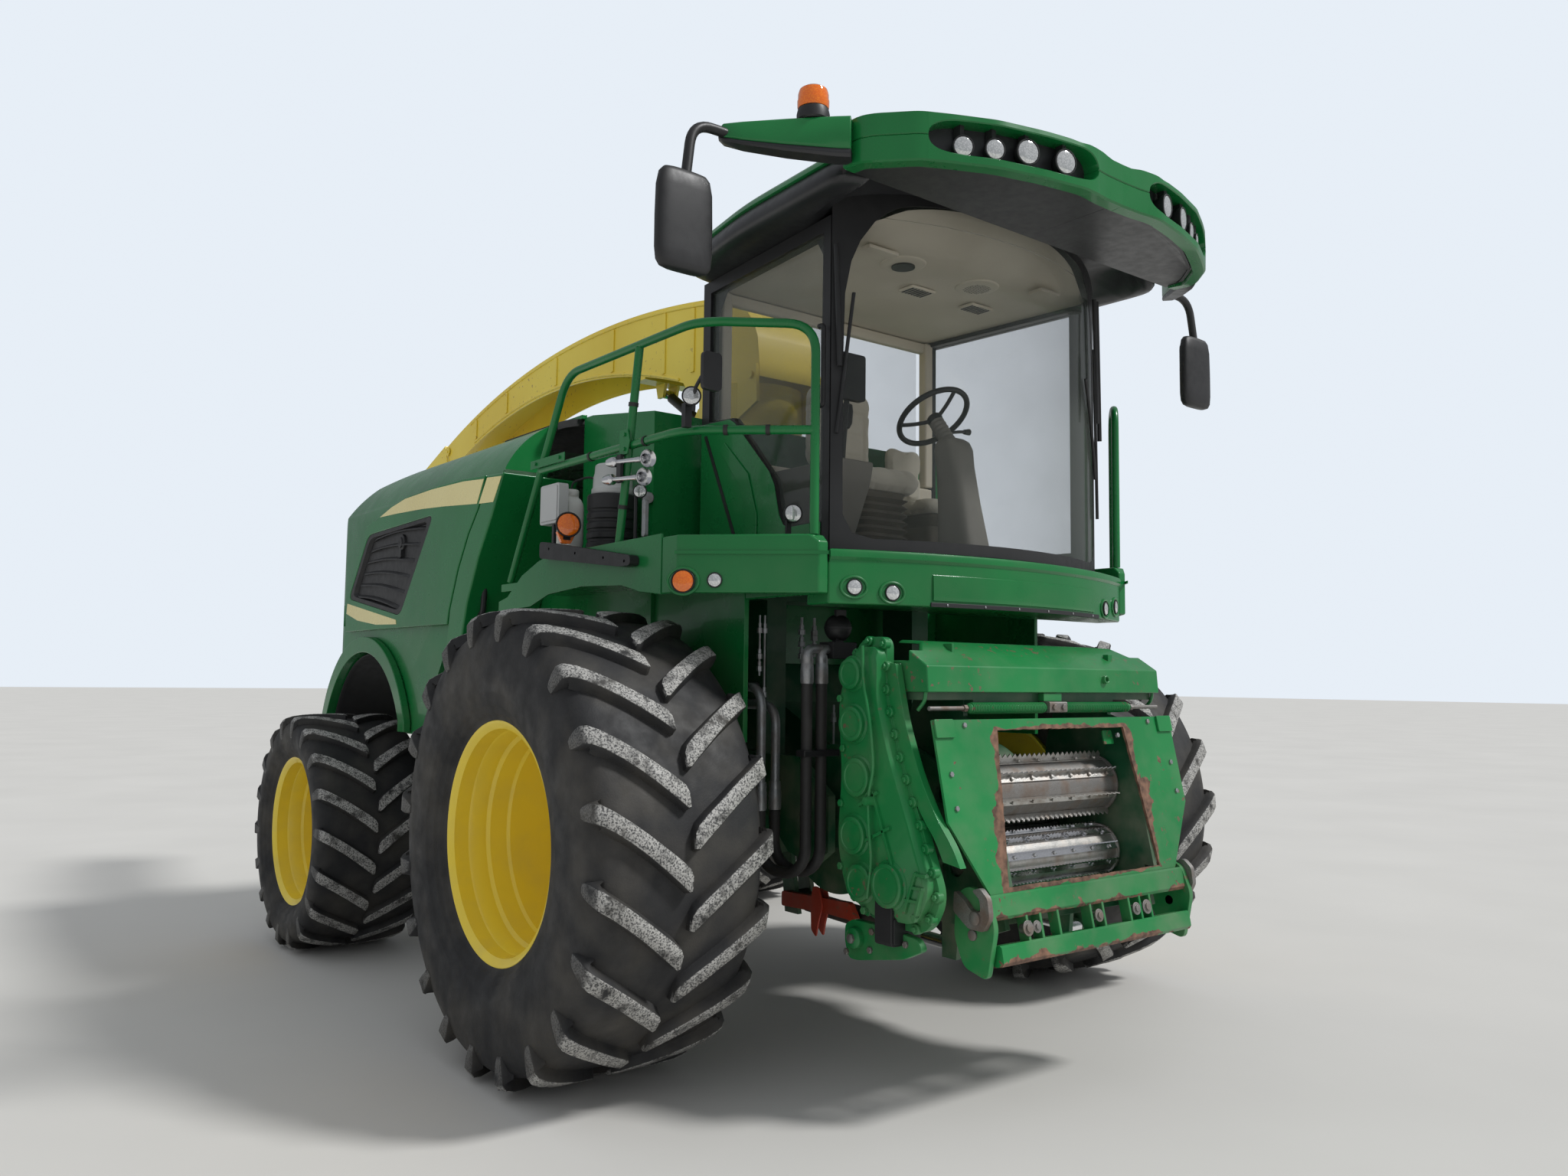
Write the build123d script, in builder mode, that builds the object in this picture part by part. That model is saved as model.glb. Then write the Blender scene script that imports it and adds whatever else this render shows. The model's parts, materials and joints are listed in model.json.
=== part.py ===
from build123d import *
import math
import os

# Self-propelled forage harvester, full size, in millimetres.
# +Z is up, the machine's front points to -Y and its right-hand side to -X.
# Every place below is given from the front axle: y = 0 is under its centre line, z = 0 is the ground.
# Finished pieces are written with y = 0 at half the machine's length.

os.makedirs("parts", exist_ok=True)

fit = 0.3                  # gap between pieces that seat on each other
front_y = -1796.0          # foremost edge of the roof visor
rear_y = 5200.0            # tip of the spout's flap
datum_y = -(front_y + rear_y) / 2

# Wheels: distance of the wheel's middle from the machine's centre plane, then radii and widths
wheelbase = 3000.0
front_track = 3082.0
rear_track = 3106.0
front_tyre_r = 985.0
rear_tyre_r = 715.0

# columns: lug tip radius, tread radius, shoulder radius, half width, tread half width, side bulge radius,
# rim lip radius, bead seat radius, rim half width, disc place, lugs per side, lug reach round the tyre, lug width
wheel_table = {
    "front": dict(tip=front_tyre_r, tread=936.0, shoulder=892.0, half=395.0, tread_half=336.0, bulge=660.0,
                  lip=510.0, seat=482.0, rim_half=342.0, disc=-222.0, lugs=20, reach=290.0, lug=92.0),
    "rear": dict(tip=rear_tyre_r, tread=673.0, shoulder=636.0, half=333.0, tread_half=280.0, bulge=525.0,
                 lip=454.0, seat=426.0, rim_half=282.0, disc=-152.0, lugs=18, reach=235.0, lug=80.0),
}
carcass_sides = 40         # flats round a tyre's carcass, two to each pitch of the front lugs
lug_start = 6.0            # from the tread's middle line to a lug's nose
rim_wall = 12.0
rim_lip = 20.0
disc_wall = 20.0

# Chassis
rail_in = 430.0
rail_out = 550.0
rail_z = (1110.0, 1330.0)
rail_y = (-100.0, 3650.0)
gusset_y = (-100.0, 60.0)
member_y = ((1480.0, 1600.0), (3530.0, 3650.0))
outrigger_y = (900.0, 1000.0)
outrigger_x = 1000.0
cheek_x = (620.0, 660.0)
support_z = 2149.0         # top of the posts that carry the cab
wall_x = (955.0, 980.0)    # inner walls of the front wheel housings

# Cutterhead axis, about which the feed housing lifts
drum_y = -550.0
drum_z = 1050.0
drum_r = 334.0
drum_half = 500.0
stub_r = 60.0

# Feed housing
cover_half = 756.0
cover_wall = 12.0
channel_half = 460.0
wall = 25.0
plate_low = (-1583.0, 871.0)       # y, z of the front plate's lower edge
plate_high = (-1437.0, 1526.0)     # y, z of its upper edge
plate_top_half = 771.0
plate_low_half = 600.0
plate_wall = 14.0

# columns: name, y, z, core radius, bar height, bars
roll_table = (
    ("feed_roll_upper_front", -1270.0, 1222.0, 122.0, 30.0, 8),
    ("feed_roll_lower_front", -1290.0, 930.0, 108.0, 12.0, 10),
    ("feed_roll_upper_rear", -1002.0, 1172.0, 82.0, 16.0, 8),
    ("feed_roll_lower_rear", -1022.0, 930.0, 92.0, 10.0, 10),
)
roll_half = 445.0
roll_shaft_r = 40.0

# Cab and roof
cab_floor_z = 2210.0
cab_half = 880.0
cab_rear_half = 780.0
cab_front_y = -950.0
cab_rear_y = 150.0
cab_top_z = 3640.0
glass = 8.0
pillar = 60.0

# Hood
hood_half = 1440.0
hood_z = (1330.3, 2740.0)
hood_top_z = 3095.0
hood_front_y = 240.0
hood_rear_y = 3900.0
step_y = 1070.0            # where the hood widens behind the platforms
wing_half = 1000.0
hood_wall = 25.0
door_wall = 30.0
door_pin = (1431.0, 3432.0)        # x, y of the service doors' hinge pins
door_pin_r = 7.0

# Spout
turret_y = 800.0
turret_z = 2925.0
turret_r = 300.0
chute_half = 210.0
chute_wall = 8.0
spout_pivot = (480.0, 3345.0)


def block(x, y, z, mode=Mode.ADD):
    """A box given by its low and high sides along each axis."""
    with Locations(((x[0] + x[1]) / 2, (y[0] + y[1]) / 2, (z[0] + z[1]) / 2)):
        Box(x[1] - x[0], y[1] - y[0], z[1] - z[0], mode=mode)


def side_plate(points, x, mode=Mode.ADD):
    """A plate with the outline of the (y, z) points, between two x places."""
    with BuildSketch(Plane.YZ.offset(x[0])) as outline:
        with BuildLine():
            Polyline(*points, close=True)
        make_face()
    extrude(outline.sketch, amount=x[1] - x[0], mode=mode)


def rod(start, end, radius, mode=Mode.ADD):
    """A round bar from one point to another."""
    run = Vector(*end) - Vector(*start)
    with BuildSketch(Plane(origin=start, z_dir=run.normalized())) as section:
        Circle(radius)
    extrude(section.sketch, amount=run.length, mode=mode)


def disc_x(place, radius, x, mode=Mode.ADD):
    """A round boss along x at the place (y, z), between two x places."""
    with BuildSketch(Plane(origin=(x[0], place[0], place[1]), x_dir=(0, 1, 0), z_dir=(1, 0, 0))) as section:
        Circle(radius)
    extrude(section.sketch, amount=x[1] - x[0], mode=mode)


def sides(x, sign):
    """An x span on one side of the machine, low value first."""
    return (x[0], x[1]) if sign > 0 else (-x[1], -x[0])


def tube(points, radius, bend):
    """A bent tube along the points, with rounded corners."""
    with BuildLine() as path:
        FilletPolyline(*points, radius=bend)
    run = Vector(*points[1]) - Vector(*points[0])
    with BuildSketch(Plane(origin=points[0], z_dir=run.normalized())) as section:
        Circle(radius)
    sweep(section.sketch, path=path.line)


def save(piece, name):
    """Shift a finished piece to the shared origin, label it and write it."""
    placed = piece.part.moved(Location((0, datum_y, 0)))
    placed.label = name
    export_step(placed, f"parts/{name}.step")


# Wheels
def flats(plane, radius):
    """A many-sided outline whose flats lie at the radius."""
    with BuildSketch(plane) as outline:
        RegularPolygon(radius, carcass_sides, major_radius=False)
    return outline.sketch


def lean(rise, run):
    """The taper angle of a rise over a run."""
    return math.degrees(math.atan2(rise, run))


def make_lug(size, sign):
    """A lug at the top of the tyre: it slants back from the middle of the tread to the shoulder."""
    reach, width = size["reach"] / 2, size["lug"] / 2
    flat = math.sqrt(size["tip"] ** 2 - (reach + width) ** 2)
    with BuildPart() as lug:
        with BuildSketch(Plane.XY.offset(flat)):
            with BuildLine():
                Polyline((sign * size["half"], reach - width), (sign * size["half"], reach + width),
                         (sign * lug_start, width - reach), (sign * lug_start, -width - reach), close=True)
            make_face()
        extrude(amount=size["shoulder"] - 10 - flat)
    return lug.part


def make_tyre(size):
    pitch = 360 / size["lugs"]
    pocket = size["lip"] + 3
    bevel = size["half"] - 5 - size["tread_half"]
    side_depth = size["half"] - size["rim_half"]
    lugs = []
    for sign, first in ((1, 0.25), (-1, 0.75)):
        lug = make_lug(size, sign)
        lugs += [lug.rotate(Axis.X, (n + first) * pitch) for n in range(size["lugs"])]
    with BuildPart() as tyre:
        for sign in (1, -1):
            middle = Plane(origin=(0, 0, 0), x_dir=(0, 1, 0), z_dir=(sign, 0, 0))
            extrude(flats(middle, size["tread"]), amount=size["tread_half"])
            extrude(flats(middle.offset(size["tread_half"]), size["tread"]), amount=bevel,
                    taper=lean(size["tread"] - size["shoulder"], bevel))
        add(lugs)
        for sign in (1, -1):
            middle = Plane(origin=(0, 0, 0), x_dir=(0, 1, 0), z_dir=(sign, 0, 0))
            seat_end = size["rim_half"] - rim_lip - fit
            extrude(flats(middle, size["seat"] + fit), amount=size["half"], mode=Mode.SUBTRACT)
            extrude(flats(middle.offset(seat_end), pocket), amount=size["half"], mode=Mode.SUBTRACT)
            extrude(flats(middle.offset(size["rim_half"]), pocket), amount=side_depth,
                    taper=-lean(size["bulge"] - pocket, side_depth), mode=Mode.SUBTRACT)
    return tyre.part


def make_rim(size):
    """A deep-dish rim: u runs along the axle towards the outside, r is the radius."""
    half = size["rim_half"]
    lip, seat, disc = size["lip"], size["seat"], size["disc"]
    inner = seat - rim_wall
    with BuildPart() as rim:
        with BuildSketch(Plane.XY):
            with BuildLine():
                Polyline(
                    (-half, seat), (half - rim_lip, seat), (half, lip), (half, lip - rim_wall),
                    (half - 24, inner), (half - 0.45 * half, inner - 6), (half - 0.5 * half, inner - 30),
                    (disc + disc_wall, inner - 42), (disc + disc_wall, 0), (disc, 0), (disc, inner - 42),
                    (-half, inner), close=True,
                )
            make_face()
        revolve(axis=Axis.X)
    return rim.part


wheel_places = (
    ("front", "right", -front_track / 2, 0.0, front_tyre_r),
    ("front", "left", front_track / 2, 0.0, front_tyre_r),
    ("rear", "right", -rear_track / 2, wheelbase, rear_tyre_r),
    ("rear", "left", rear_track / 2, wheelbase, rear_tyre_r),
)
tyres = {end: make_tyre(wheel_table[end]) for end in wheel_table}
rims = {end: make_rim(wheel_table[end]) for end in wheel_table}
for end, side, x, y, z in wheel_places:
    with BuildPart() as wheel_tyre:
        add(tyres[end].moved(Location((x, y, z))))
    save(wheel_tyre, f"{end}_tyre_{side}")
    with BuildPart() as wheel_rim:
        turned = rims[end] if x > 0 else rims[end].mirror(Plane.YZ)
        add(turned.moved(Location((x, y, z))))
    save(wheel_rim, f"{end}_rim_{side}")

# Axles
hub_r = 230.0
front_hub_x = front_track / 2 + wheel_table["front"]["disc"] - fit
with BuildPart() as front_axle:
    block((-930, 930), (-140, 140), (850, rail_z[0] - 20))
    for sign in (1, -1):
        block(sides((rail_in - 20, rail_out + 20), sign), (-140, 140), (rail_z[0] - 20, rail_z[0]))
        disc_x((0, front_tyre_r), hub_r, sides((900, front_hub_x), sign))
        disc_x((0, front_tyre_r), hub_r + 50, sides((front_hub_x - 30, front_hub_x), sign))
        for x in ((300, 325), (395, 420)):
            side_plate(((-200, 560), (-100, 560), (-60, 850), (-140, 850)), sides(x, sign))
            disc_x((-150, 620), 20 + fit, sides((x[0] - 1, x[1] + 1), sign), Mode.SUBTRACT)
save(front_axle, "front_axle")

king_x = 1050.0
king_r = 40.0
axle_half_y = 90.0
rear_hub_x = rear_track / 2 + wheel_table["rear"]["disc"] - fit
with BuildPart() as rear_axle:
    block((-940, 940), (wheelbase - axle_half_y, wheelbase + axle_half_y), (600, 830))
    block((-140, 140), (wheelbase - 87, wheelbase + 87), (830, 1030))
    rod((0, wheelbase - 130, 960), (0, wheelbase + 130, 960), king_r)
    for sign in (1, -1):
        for z in ((545, 585), (845, 885)):
            block(sides((880, king_x + 60), sign), (wheelbase - axle_half_y, wheelbase + axle_half_y), z)
        block(sides((880, 940), sign), (wheelbase - axle_half_y, wheelbase + axle_half_y), (545, 885))
        with Locations((sign * king_x, wheelbase, 715)):
            Cylinder(king_r + fit, 400, mode=Mode.SUBTRACT)
save(rear_axle, "rear_axle")

arm_y = wheelbase + 260
for side, sign in (("right", -1), ("left", 1)):
    with BuildPart() as knuckle:
        with Locations((sign * king_x, wheelbase, 715)):
            Cylinder(king_r, 340)
            Cylinder(72, 256)
        disc_x((wheelbase, rear_tyre_r), 105, sides((king_x + 40, rear_hub_x), sign))
        disc_x((wheelbase, rear_tyre_r), 190, sides((rear_hub_x - 30, rear_hub_x), sign))
        block(sides((king_x - 28, king_x + 28), sign), (wheelbase, arm_y), (640, 690))
        with Locations((sign * king_x, arm_y, 665)):
            Cylinder(30, 50)
        with Locations((sign * king_x, arm_y, 725)):
            Cylinder(14, 90)
    save(knuckle, f"steering_knuckle_{side}")

with BuildPart() as tie_rod:
    rod((-king_x + 30, arm_y, 725), (king_x - 30, arm_y, 725), 22)
    for sign in (1, -1):
        with Locations((sign * king_x, arm_y, 725)):
            Cylinder(36, 50)
            Cylinder(14 + fit, 60, mode=Mode.SUBTRACT)
save(tie_rod, "steering_tie_rod")

# Chassis frame with its front cheeks and the rear hitch
hitch_hole_r = 16.5
hitch_y = 3790.0
with BuildPart() as chassis_frame:
    for sign in (1, -1):
        block(sides((rail_in, rail_out), sign), rail_y, rail_z)
        side_plate(((-700, 930), (-700, 1170), (-480, rail_z[1]), (60, rail_z[1]), (60, rail_z[0]),
                    (-200, rail_z[0]), (-420, 900), (-600, 860)), sides(cheek_x, sign))
        block(sides((rail_out, cheek_x[0]), sign), gusset_y, rail_z)
        block(sides((rail_out, outrigger_x), sign), outrigger_y, rail_z)
        disc_x((drum_y, drum_z), stub_r + fit, sides((cheek_x[0] - 1, cheek_x[1] + 1), sign), Mode.SUBTRACT)
        for y in ((wheelbase - 125, wheelbase - 95), (wheelbase + 95, wheelbase + 125)):
            block(sides((0, 160), sign), y, (900, rail_z[0]))
    for y in member_y:
        block((-rail_in, rail_in), y, rail_z)
    block((-rail_in, rail_in), (wheelbase - 125, wheelbase + 125), (rail_z[0], rail_z[1] - 60))
    rod((0, wheelbase - 200, 960), (0, wheelbase + 200, 960), king_r + fit, Mode.SUBTRACT)
    block((-250, 250), (rail_y[1], rail_y[1] + 40), (560, rail_z[1]))
    for z in ((600, 625), (685, 710)):
        block((-70, 70), (rail_y[1] + 40, hitch_y + 60), z)
    with Locations((0, hitch_y, 655)):
        Cylinder(hitch_hole_r, 200, mode=Mode.SUBTRACT)
    for sign in (1, -1):
        block(sides((rail_in, rail_out), sign), (-100, 130), (rail_z[1], support_z))
    block((fit - wall_x[0], wall_x[0] - fit), (-100, 130), (2060, support_z))
save(chassis_frame, "chassis_frame")

with BuildPart() as engine_block:
    block((-rail_out, rail_out), (1850, 3250), (rail_z[1], 2150))
save(engine_block, "engine_block")

with BuildPart() as fuel_tank:
    for sign in (1, -1):
        block(sides((rail_out, 985), sign), (1130, 1800), (820, 1330))
    chamfer(fuel_tank.edges().filter_by(Axis.Y), 60)
save(fuel_tank, "fuel_tanks")

# Cutterhead housing and crop duct
duct_half = 250.0
with BuildPart() as cutterhead_housing:
    disc_x((drum_y, drum_z), drum_r, (-drum_half, drum_half))
    disc_x((drum_y, drum_z), stub_r, (-cheek_x[1], cheek_x[1]))
save(cutterhead_housing, "cutterhead_housing")

duct_outline = ((-300, 1140), (40, 1150), (420, 1400), (900, 2500), (900, turret_z), (650, turret_z),
                (640, 2580), (180, 1560), (-300, 1330))
duct_core = ((60, 1165), (405, 1412), (888, 2504), (888, turret_z + 10), (662, turret_z + 10),
             (652, 2576), (190, 1552), (0, 1450))
with BuildPart() as crop_duct:
    side_plate(duct_outline, (-duct_half, duct_half))
    side_plate(duct_core, (-duct_half + 12, duct_half - 12), Mode.SUBTRACT)
    disc_x((drum_y, drum_z), drum_r + fit, (-drum_half, drum_half), Mode.SUBTRACT)
    with Locations((0, turret_y, turret_z + 50)):
        Cylinder(turret_r + 50, 100)
        Cylinder(turret_r - 60, 110, mode=Mode.SUBTRACT)
save(crop_duct, "crop_duct")

# Feed housing
slope = math.atan2(plate_high[0] - plate_low[0], plate_high[1] - plate_low[1])
plate_length = math.hypot(plate_high[0] - plate_low[0], plate_high[1] - plate_low[1])
face_up = Vector(0, math.sin(slope), math.cos(slope))
face_out = Vector(0, -math.cos(slope), math.sin(slope))
plate_plane = Plane(origin=(0, plate_low[0], plate_low[1]), x_dir=(1, 0, 0), z_dir=face_out)
plate_lean = (plate_high[0] - plate_low[0]) / (plate_high[1] - plate_low[1])


def plate_back(z):
    """The y of the seat behind the front plate at a height."""
    return plate_low[0] + plate_lean * (z - plate_low[1]) + plate_wall / math.cos(slope) + fit


wall_outline = ((plate_back(720) + 50, 720), (plate_back(885) + 50, 885), (plate_back(885), 885),
                (plate_back(1500), 1500), (-1330, 1535), (-1330, 1600), (-1060, 1660), (-980, 1400),
                (-940, drum_z), (-980, 760), (-1180, 700), (-1500, 700))
arm_outline = ((-1300, 1320), (-1060, 1420), (-640, 1140), (-520, 1140), (-460, 1000),
               (-560, 940), (-900, 900), (-1250, 860))
with BuildPart() as feed_housing:
    for sign in (1, -1):
        side_plate(wall_outline, sides((channel_half, channel_half + wall), sign))
        side_plate(arm_outline, sides((drum_half + 20, drum_half + 50), sign))
        block(sides((channel_half, drum_half + 50), sign), (-1180, -1080), (940, 1300))
        disc_x((drum_y, drum_z), stub_r + fit, sides((drum_half, cheek_x[0]), sign), Mode.SUBTRACT)
        for name, y, z, core, bar, count in roll_table:
            hole = sides((channel_half - 1, drum_half + 60), sign)
            disc_x((y, z), roll_shaft_r + fit, hole, Mode.SUBTRACT)
    block((-channel_half, channel_half), (-1530, -1200), (735, 775))
    block((-channel_half, channel_half), (-1360, -1080), (1560, 1600))
    cover_seat = cover_half - cover_wall - fit
    block((-cover_seat, cover_seat), (-1360, -1092), (1600, 1650))
    for x in (-360, 360):
        side_plate(((-1250, 735), (-1150, 735), (-1150, 540), (-1230, 540)), (x - 62, x - 37))
        side_plate(((-1250, 735), (-1150, 735), (-1150, 540), (-1230, 540)), (x + 37, x + 62))
save(feed_housing, "feed_housing")

for name, y, z, core, bar, count in roll_table:
    with BuildPart() as feed_roll:
        disc_x((y, z), core, (-roll_half, roll_half))
        disc_x((y, z), roll_shaft_r, (-drum_half - 40, drum_half + 40))
        for n in range(count):
            turn = 2 * math.pi * n / count
            out = Vector(0, math.cos(turn), math.sin(turn))
            around = Vector(0, -math.sin(turn), math.cos(turn))
            place = Vector(0, y, z) + out * (core + bar / 2 - 4)
            with BuildSketch(Plane(origin=(-roll_half, place.Y, place.Z), x_dir=around, z_dir=(1, 0, 0))):
                Rectangle(12, bar + 8)
            extrude(amount=2 * roll_half)
    save(feed_roll, name)

with BuildPart() as feed_front_plate:
    with BuildSketch(plate_plane):
        with BuildLine():
            Polyline((-plate_low_half, 0), (plate_low_half, 0), (plate_top_half, 280), (plate_top_half, plate_length),
                     (-plate_top_half, plate_length), (-plate_top_half, 280), close=True)
        make_face()
        with BuildLine():
            Polyline((-490, 20), (490, 20), (412, plate_length - 46), (-412, plate_length - 46), close=True)
        make_face(mode=Mode.SUBTRACT)
    extrude(amount=-plate_wall)
save(feed_front_plate, "feed_front_plate")

# Lower bar that takes the header: two channels with ears between them, end plates and hooks
bar_z = (-95.0, 0.0)               # up the front plate's slope from its lower edge
lip_z = (-262.0, -185.0)
bar_depth = 70.0
bar_half = 620.0
latch_r = 22.0
with BuildPart() as header_bar:
    for low, high, half in ((bar_z[0], bar_z[1] - fit, bar_half), (lip_z[0], lip_z[1], bar_half - 12)):
        with BuildSketch(plate_plane.offset(-plate_wall - 45)) as run:
            with Locations((0, (low + high) / 2)):
                Rectangle(2 * half, high - low)
        extrude(run.sketch, amount=bar_depth)
    with BuildSketch(plate_plane.offset(-plate_wall - 45)) as ears:
        for x in (-430, -350, -245, -40, 40, 215, 290, 360):
            with Locations((x, (lip_z[0] + bar_z[1]) / 2)):
                Rectangle(16, bar_z[1] - lip_z[0] - 60)
        for x in (-bar_half + 10, bar_half - 10):
            with Locations((x, (lip_z[0] + bar_z[1]) / 2 + 10)):
                Rectangle(20, bar_z[1] - lip_z[0] + 20)
    extrude(ears.sketch, amount=45)
    for sign in (1, -1):
        side_plate(((-1600, 560), (-1480, 590), (-1430, 700), (-1440, 860), (-1500, 900), (-1590, 880), (-1640, 760)),
                   sides((bar_half - 1, bar_half + 26), sign))
        disc_x((-1530, 720), latch_r, sides((bar_half - 1, bar_half + 30), sign), Mode.SUBTRACT)
save(header_bar, "header_bar")

# Bevelled cover over the feed rolls
cover_bevel = 160.0
cover_edge = ((-1401, 1631), (-1392, 1735), (-1230, 1835), (-1090, 1845), (-1090, 1631))
cover_core = ((-1389, 1600), (-1380, 1729), (-1227, 1823), (-1060, 1833), (-1060, 1600))
with BuildPart() as feed_top_cover:
    side_plate(cover_edge, (-cover_half, cover_half))
    side_plate(cover_core, (-cover_half + cover_wall, cover_half - cover_wall), Mode.SUBTRACT)
    for sign in (1, -1):
        with BuildSketch(Plane.XZ.offset(1090)) as bevel:
            with BuildLine():
                Polyline((sign * (cover_half + 1), 1750), (sign * (cover_half + 1), 1850),
                         (sign * (cover_half - cover_bevel), 1850), close=True)
            make_face()
        extrude(bevel.sketch, amount=200, mode=Mode.SUBTRACT)
save(feed_top_cover, "feed_top_cover")

spring_y, spring_z = -1392.0, 1568.0
spring_r = 24.0
with BuildPart() as feed_springs:
    for sign in (1, -1):
        disc_x((spring_y, spring_z), spring_r, sides((60, 520), sign))
        disc_x((spring_y, spring_z), 9, sides((40, 745), sign))
    block((-60, 60), (-1425, -1360 - fit), (1545, 1595))
save(feed_springs, "feed_roll_springs")

# Gearbox case on the right of the feed housing
case_x = (-855.0, -762.0)
case_inner_x = (case_x[1], -drum_half - 50)
case_outline = ((-1215, 1850), (-1060, 1850), (-960, 1640), (-985, 1300), (-960, 1000), (-1010, 800),
                (-1180, 720), (-1440, 720), (-1520, 860), (-1400, 1150), (-1290, 1400), (-1215, 1640))
# columns: y, z, radius
case_bosses = ((-1070, 1700, 62), (-1080, 1500, 70), (-1110, 1290, 76), (-1090, 1060, 74),
               (-1130, 880, 72), (-1290, 890, 84))
with BuildPart() as gearbox_case:
    side_plate(case_outline, case_x)
    for y, z, r in case_bosses:
        disc_x((y, z), r, (case_x[0] - 24, case_x[0]))
    side_plate(((-1230, 1280), (-1212, 1280), (-1420, 800), (-1438, 800)), (case_x[0] - 14, case_x[0]))
    side_plate(((-1020, 930), (-1010, 945), (-1330, 1120), (-1340, 1105)), (case_x[0] - 14, case_x[0]))
    side_plate(((-1180, 880), (-1090, 880), (-1090, 1400), (-1180, 1400)), case_inner_x)
save(gearbox_case, "gearbox_case")

# Lift cylinders of the feed housing
lift_base = (-150.0, 620.0)
lift_eye = (-1190.0, 580.0)
lift_run = Vector(0, lift_eye[0] - lift_base[0], lift_eye[1] - lift_base[1])
lift_dir = lift_run.normalized()
lift_x = 360.0
lift_rod_r = 26.0
barrel_end = 640.0
with BuildPart() as lift_barrels:
    for x in (-lift_x, lift_x):
        base = Vector(x, *lift_base)
        rod(base + lift_dir * 62, base + lift_dir * barrel_end, 48)
        rod(base + lift_dir * 300, base + lift_dir * (barrel_end + 5), lift_rod_r + fit, Mode.SUBTRACT)
        rod(base + lift_dir * 30, base + lift_dir * 62, 30)
        disc_x(lift_base, 48, (x - 34, x + 34))
        disc_x(lift_base, 20, (x - 60, x + 60))
save(lift_barrels, "lift_cylinder_barrels")
with BuildPart() as lift_rods:
    for x in (-lift_x, lift_x):
        base = Vector(x, *lift_base)
        eye = Vector(x, *lift_eye)
        rod(base + lift_dir * (barrel_end - 200), eye - lift_dir * 30, lift_rod_r)
        disc_x(lift_eye, 42, (x - 34, x + 34))
        disc_x(lift_eye, 22, (x - 40, x + 40), Mode.SUBTRACT)
save(lift_rods, "lift_cylinder_rods")

# Hood: a cross-section, a side view and a plan, cut by one another
def hood_body(inset):
    """The hood's outside, or with an inset the room inside it."""
    half = hood_half - door_wall - 5 - inset
    top = hood_top_z - inset
    with BuildPart() as body:
        with BuildSketch(Plane.XZ.offset(-hood_rear_y)) as section:
            with BuildLine():
                Line((half, hood_z[0] - inset), (half, hood_z[1]))
                ThreePointArc((half, hood_z[1]), (half - 170, top - 130), (half - 480, top - 20))
                Polyline((half - 480, top - 20), (0, top), (480 - half, top - 20))
                ThreePointArc((480 - half, top - 20), (170 - half, top - 130), (-half, hood_z[1]))
                Polyline((-half, hood_z[1]), (-half, hood_z[0] - inset), (half, hood_z[0] - inset))
            make_face()
        extrude(section.sketch, amount=hood_rear_y - hood_front_y)
        with BuildSketch(Plane.YZ.offset(-hood_half)) as side:
            with BuildLine():
                Polyline((1100, top + 5), (hood_front_y + inset, 2985 - inset), (hood_front_y + inset, hood_z[0] - 100),
                         (3700 - inset, hood_z[0] - 100), (hood_rear_y - inset, 1520), (hood_rear_y - 20 - inset, 2200),
                         (3560 - inset, 2720 - inset), (3330 - inset, 2940 - inset))
                ThreePointArc((3330 - inset, 2940 - inset), (2260, top - 8), (1100, top + 5))
            make_face()
        extrude(side.sketch, amount=2 * hood_half, mode=Mode.INTERSECT)
        with BuildSketch(Plane.XY) as plan:
            with BuildLine():
                Polyline((-half, 3400), (-half, step_y + inset), (inset - wing_half, step_y + inset),
                         (inset - wing_half, hood_front_y), (wing_half - inset, hood_front_y),
                         (wing_half - inset, step_y + inset), (half, step_y + inset), (half, 3400))
                ThreePointArc((half, 3400), (half - 70, 3700), (half - 300, hood_rear_y - 30 - inset))
                Polyline((half - 300, hood_rear_y - 30 - inset), (300 - half, hood_rear_y - 30 - inset))
                ThreePointArc((300 - half, hood_rear_y - 30 - inset), (70 - half, 3700), (-half, 3400))
            make_face()
        extrude(plan.sketch, amount=4000, mode=Mode.INTERSECT)
        for sign in (1, -1):
            side_plate(((step_y - 1, 2760), (step_y + inset, 2760), (1990 + inset, 1500), (1990 + inset, 1200),
                        (step_y - 1, 1200)), sides((wing_half - inset, hood_half), sign), Mode.SUBTRACT)
    return body.part


def arch(grow, x, mode=Mode.ADD):
    """The rear wheel arch, as wide as its inner lip and the growth given."""
    half = arch_half + grow
    with BuildSketch(Plane.YZ.offset(x[0])) as outline:
        with BuildLine():
            Line((wheelbase - half, arch_low_z), (wheelbase + half, arch_low_z))
            Line((wheelbase + half, arch_low_z), (wheelbase + half, arch_spring_z))
            ThreePointArc((wheelbase + half, arch_spring_z), (wheelbase, arch_top_z + grow),
                          (wheelbase - half, arch_spring_z))
            Line((wheelbase - half, arch_spring_z), (wheelbase - half, arch_low_z))
        make_face()
    extrude(outline.sketch, amount=x[1] - x[0], mode=mode)


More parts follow.
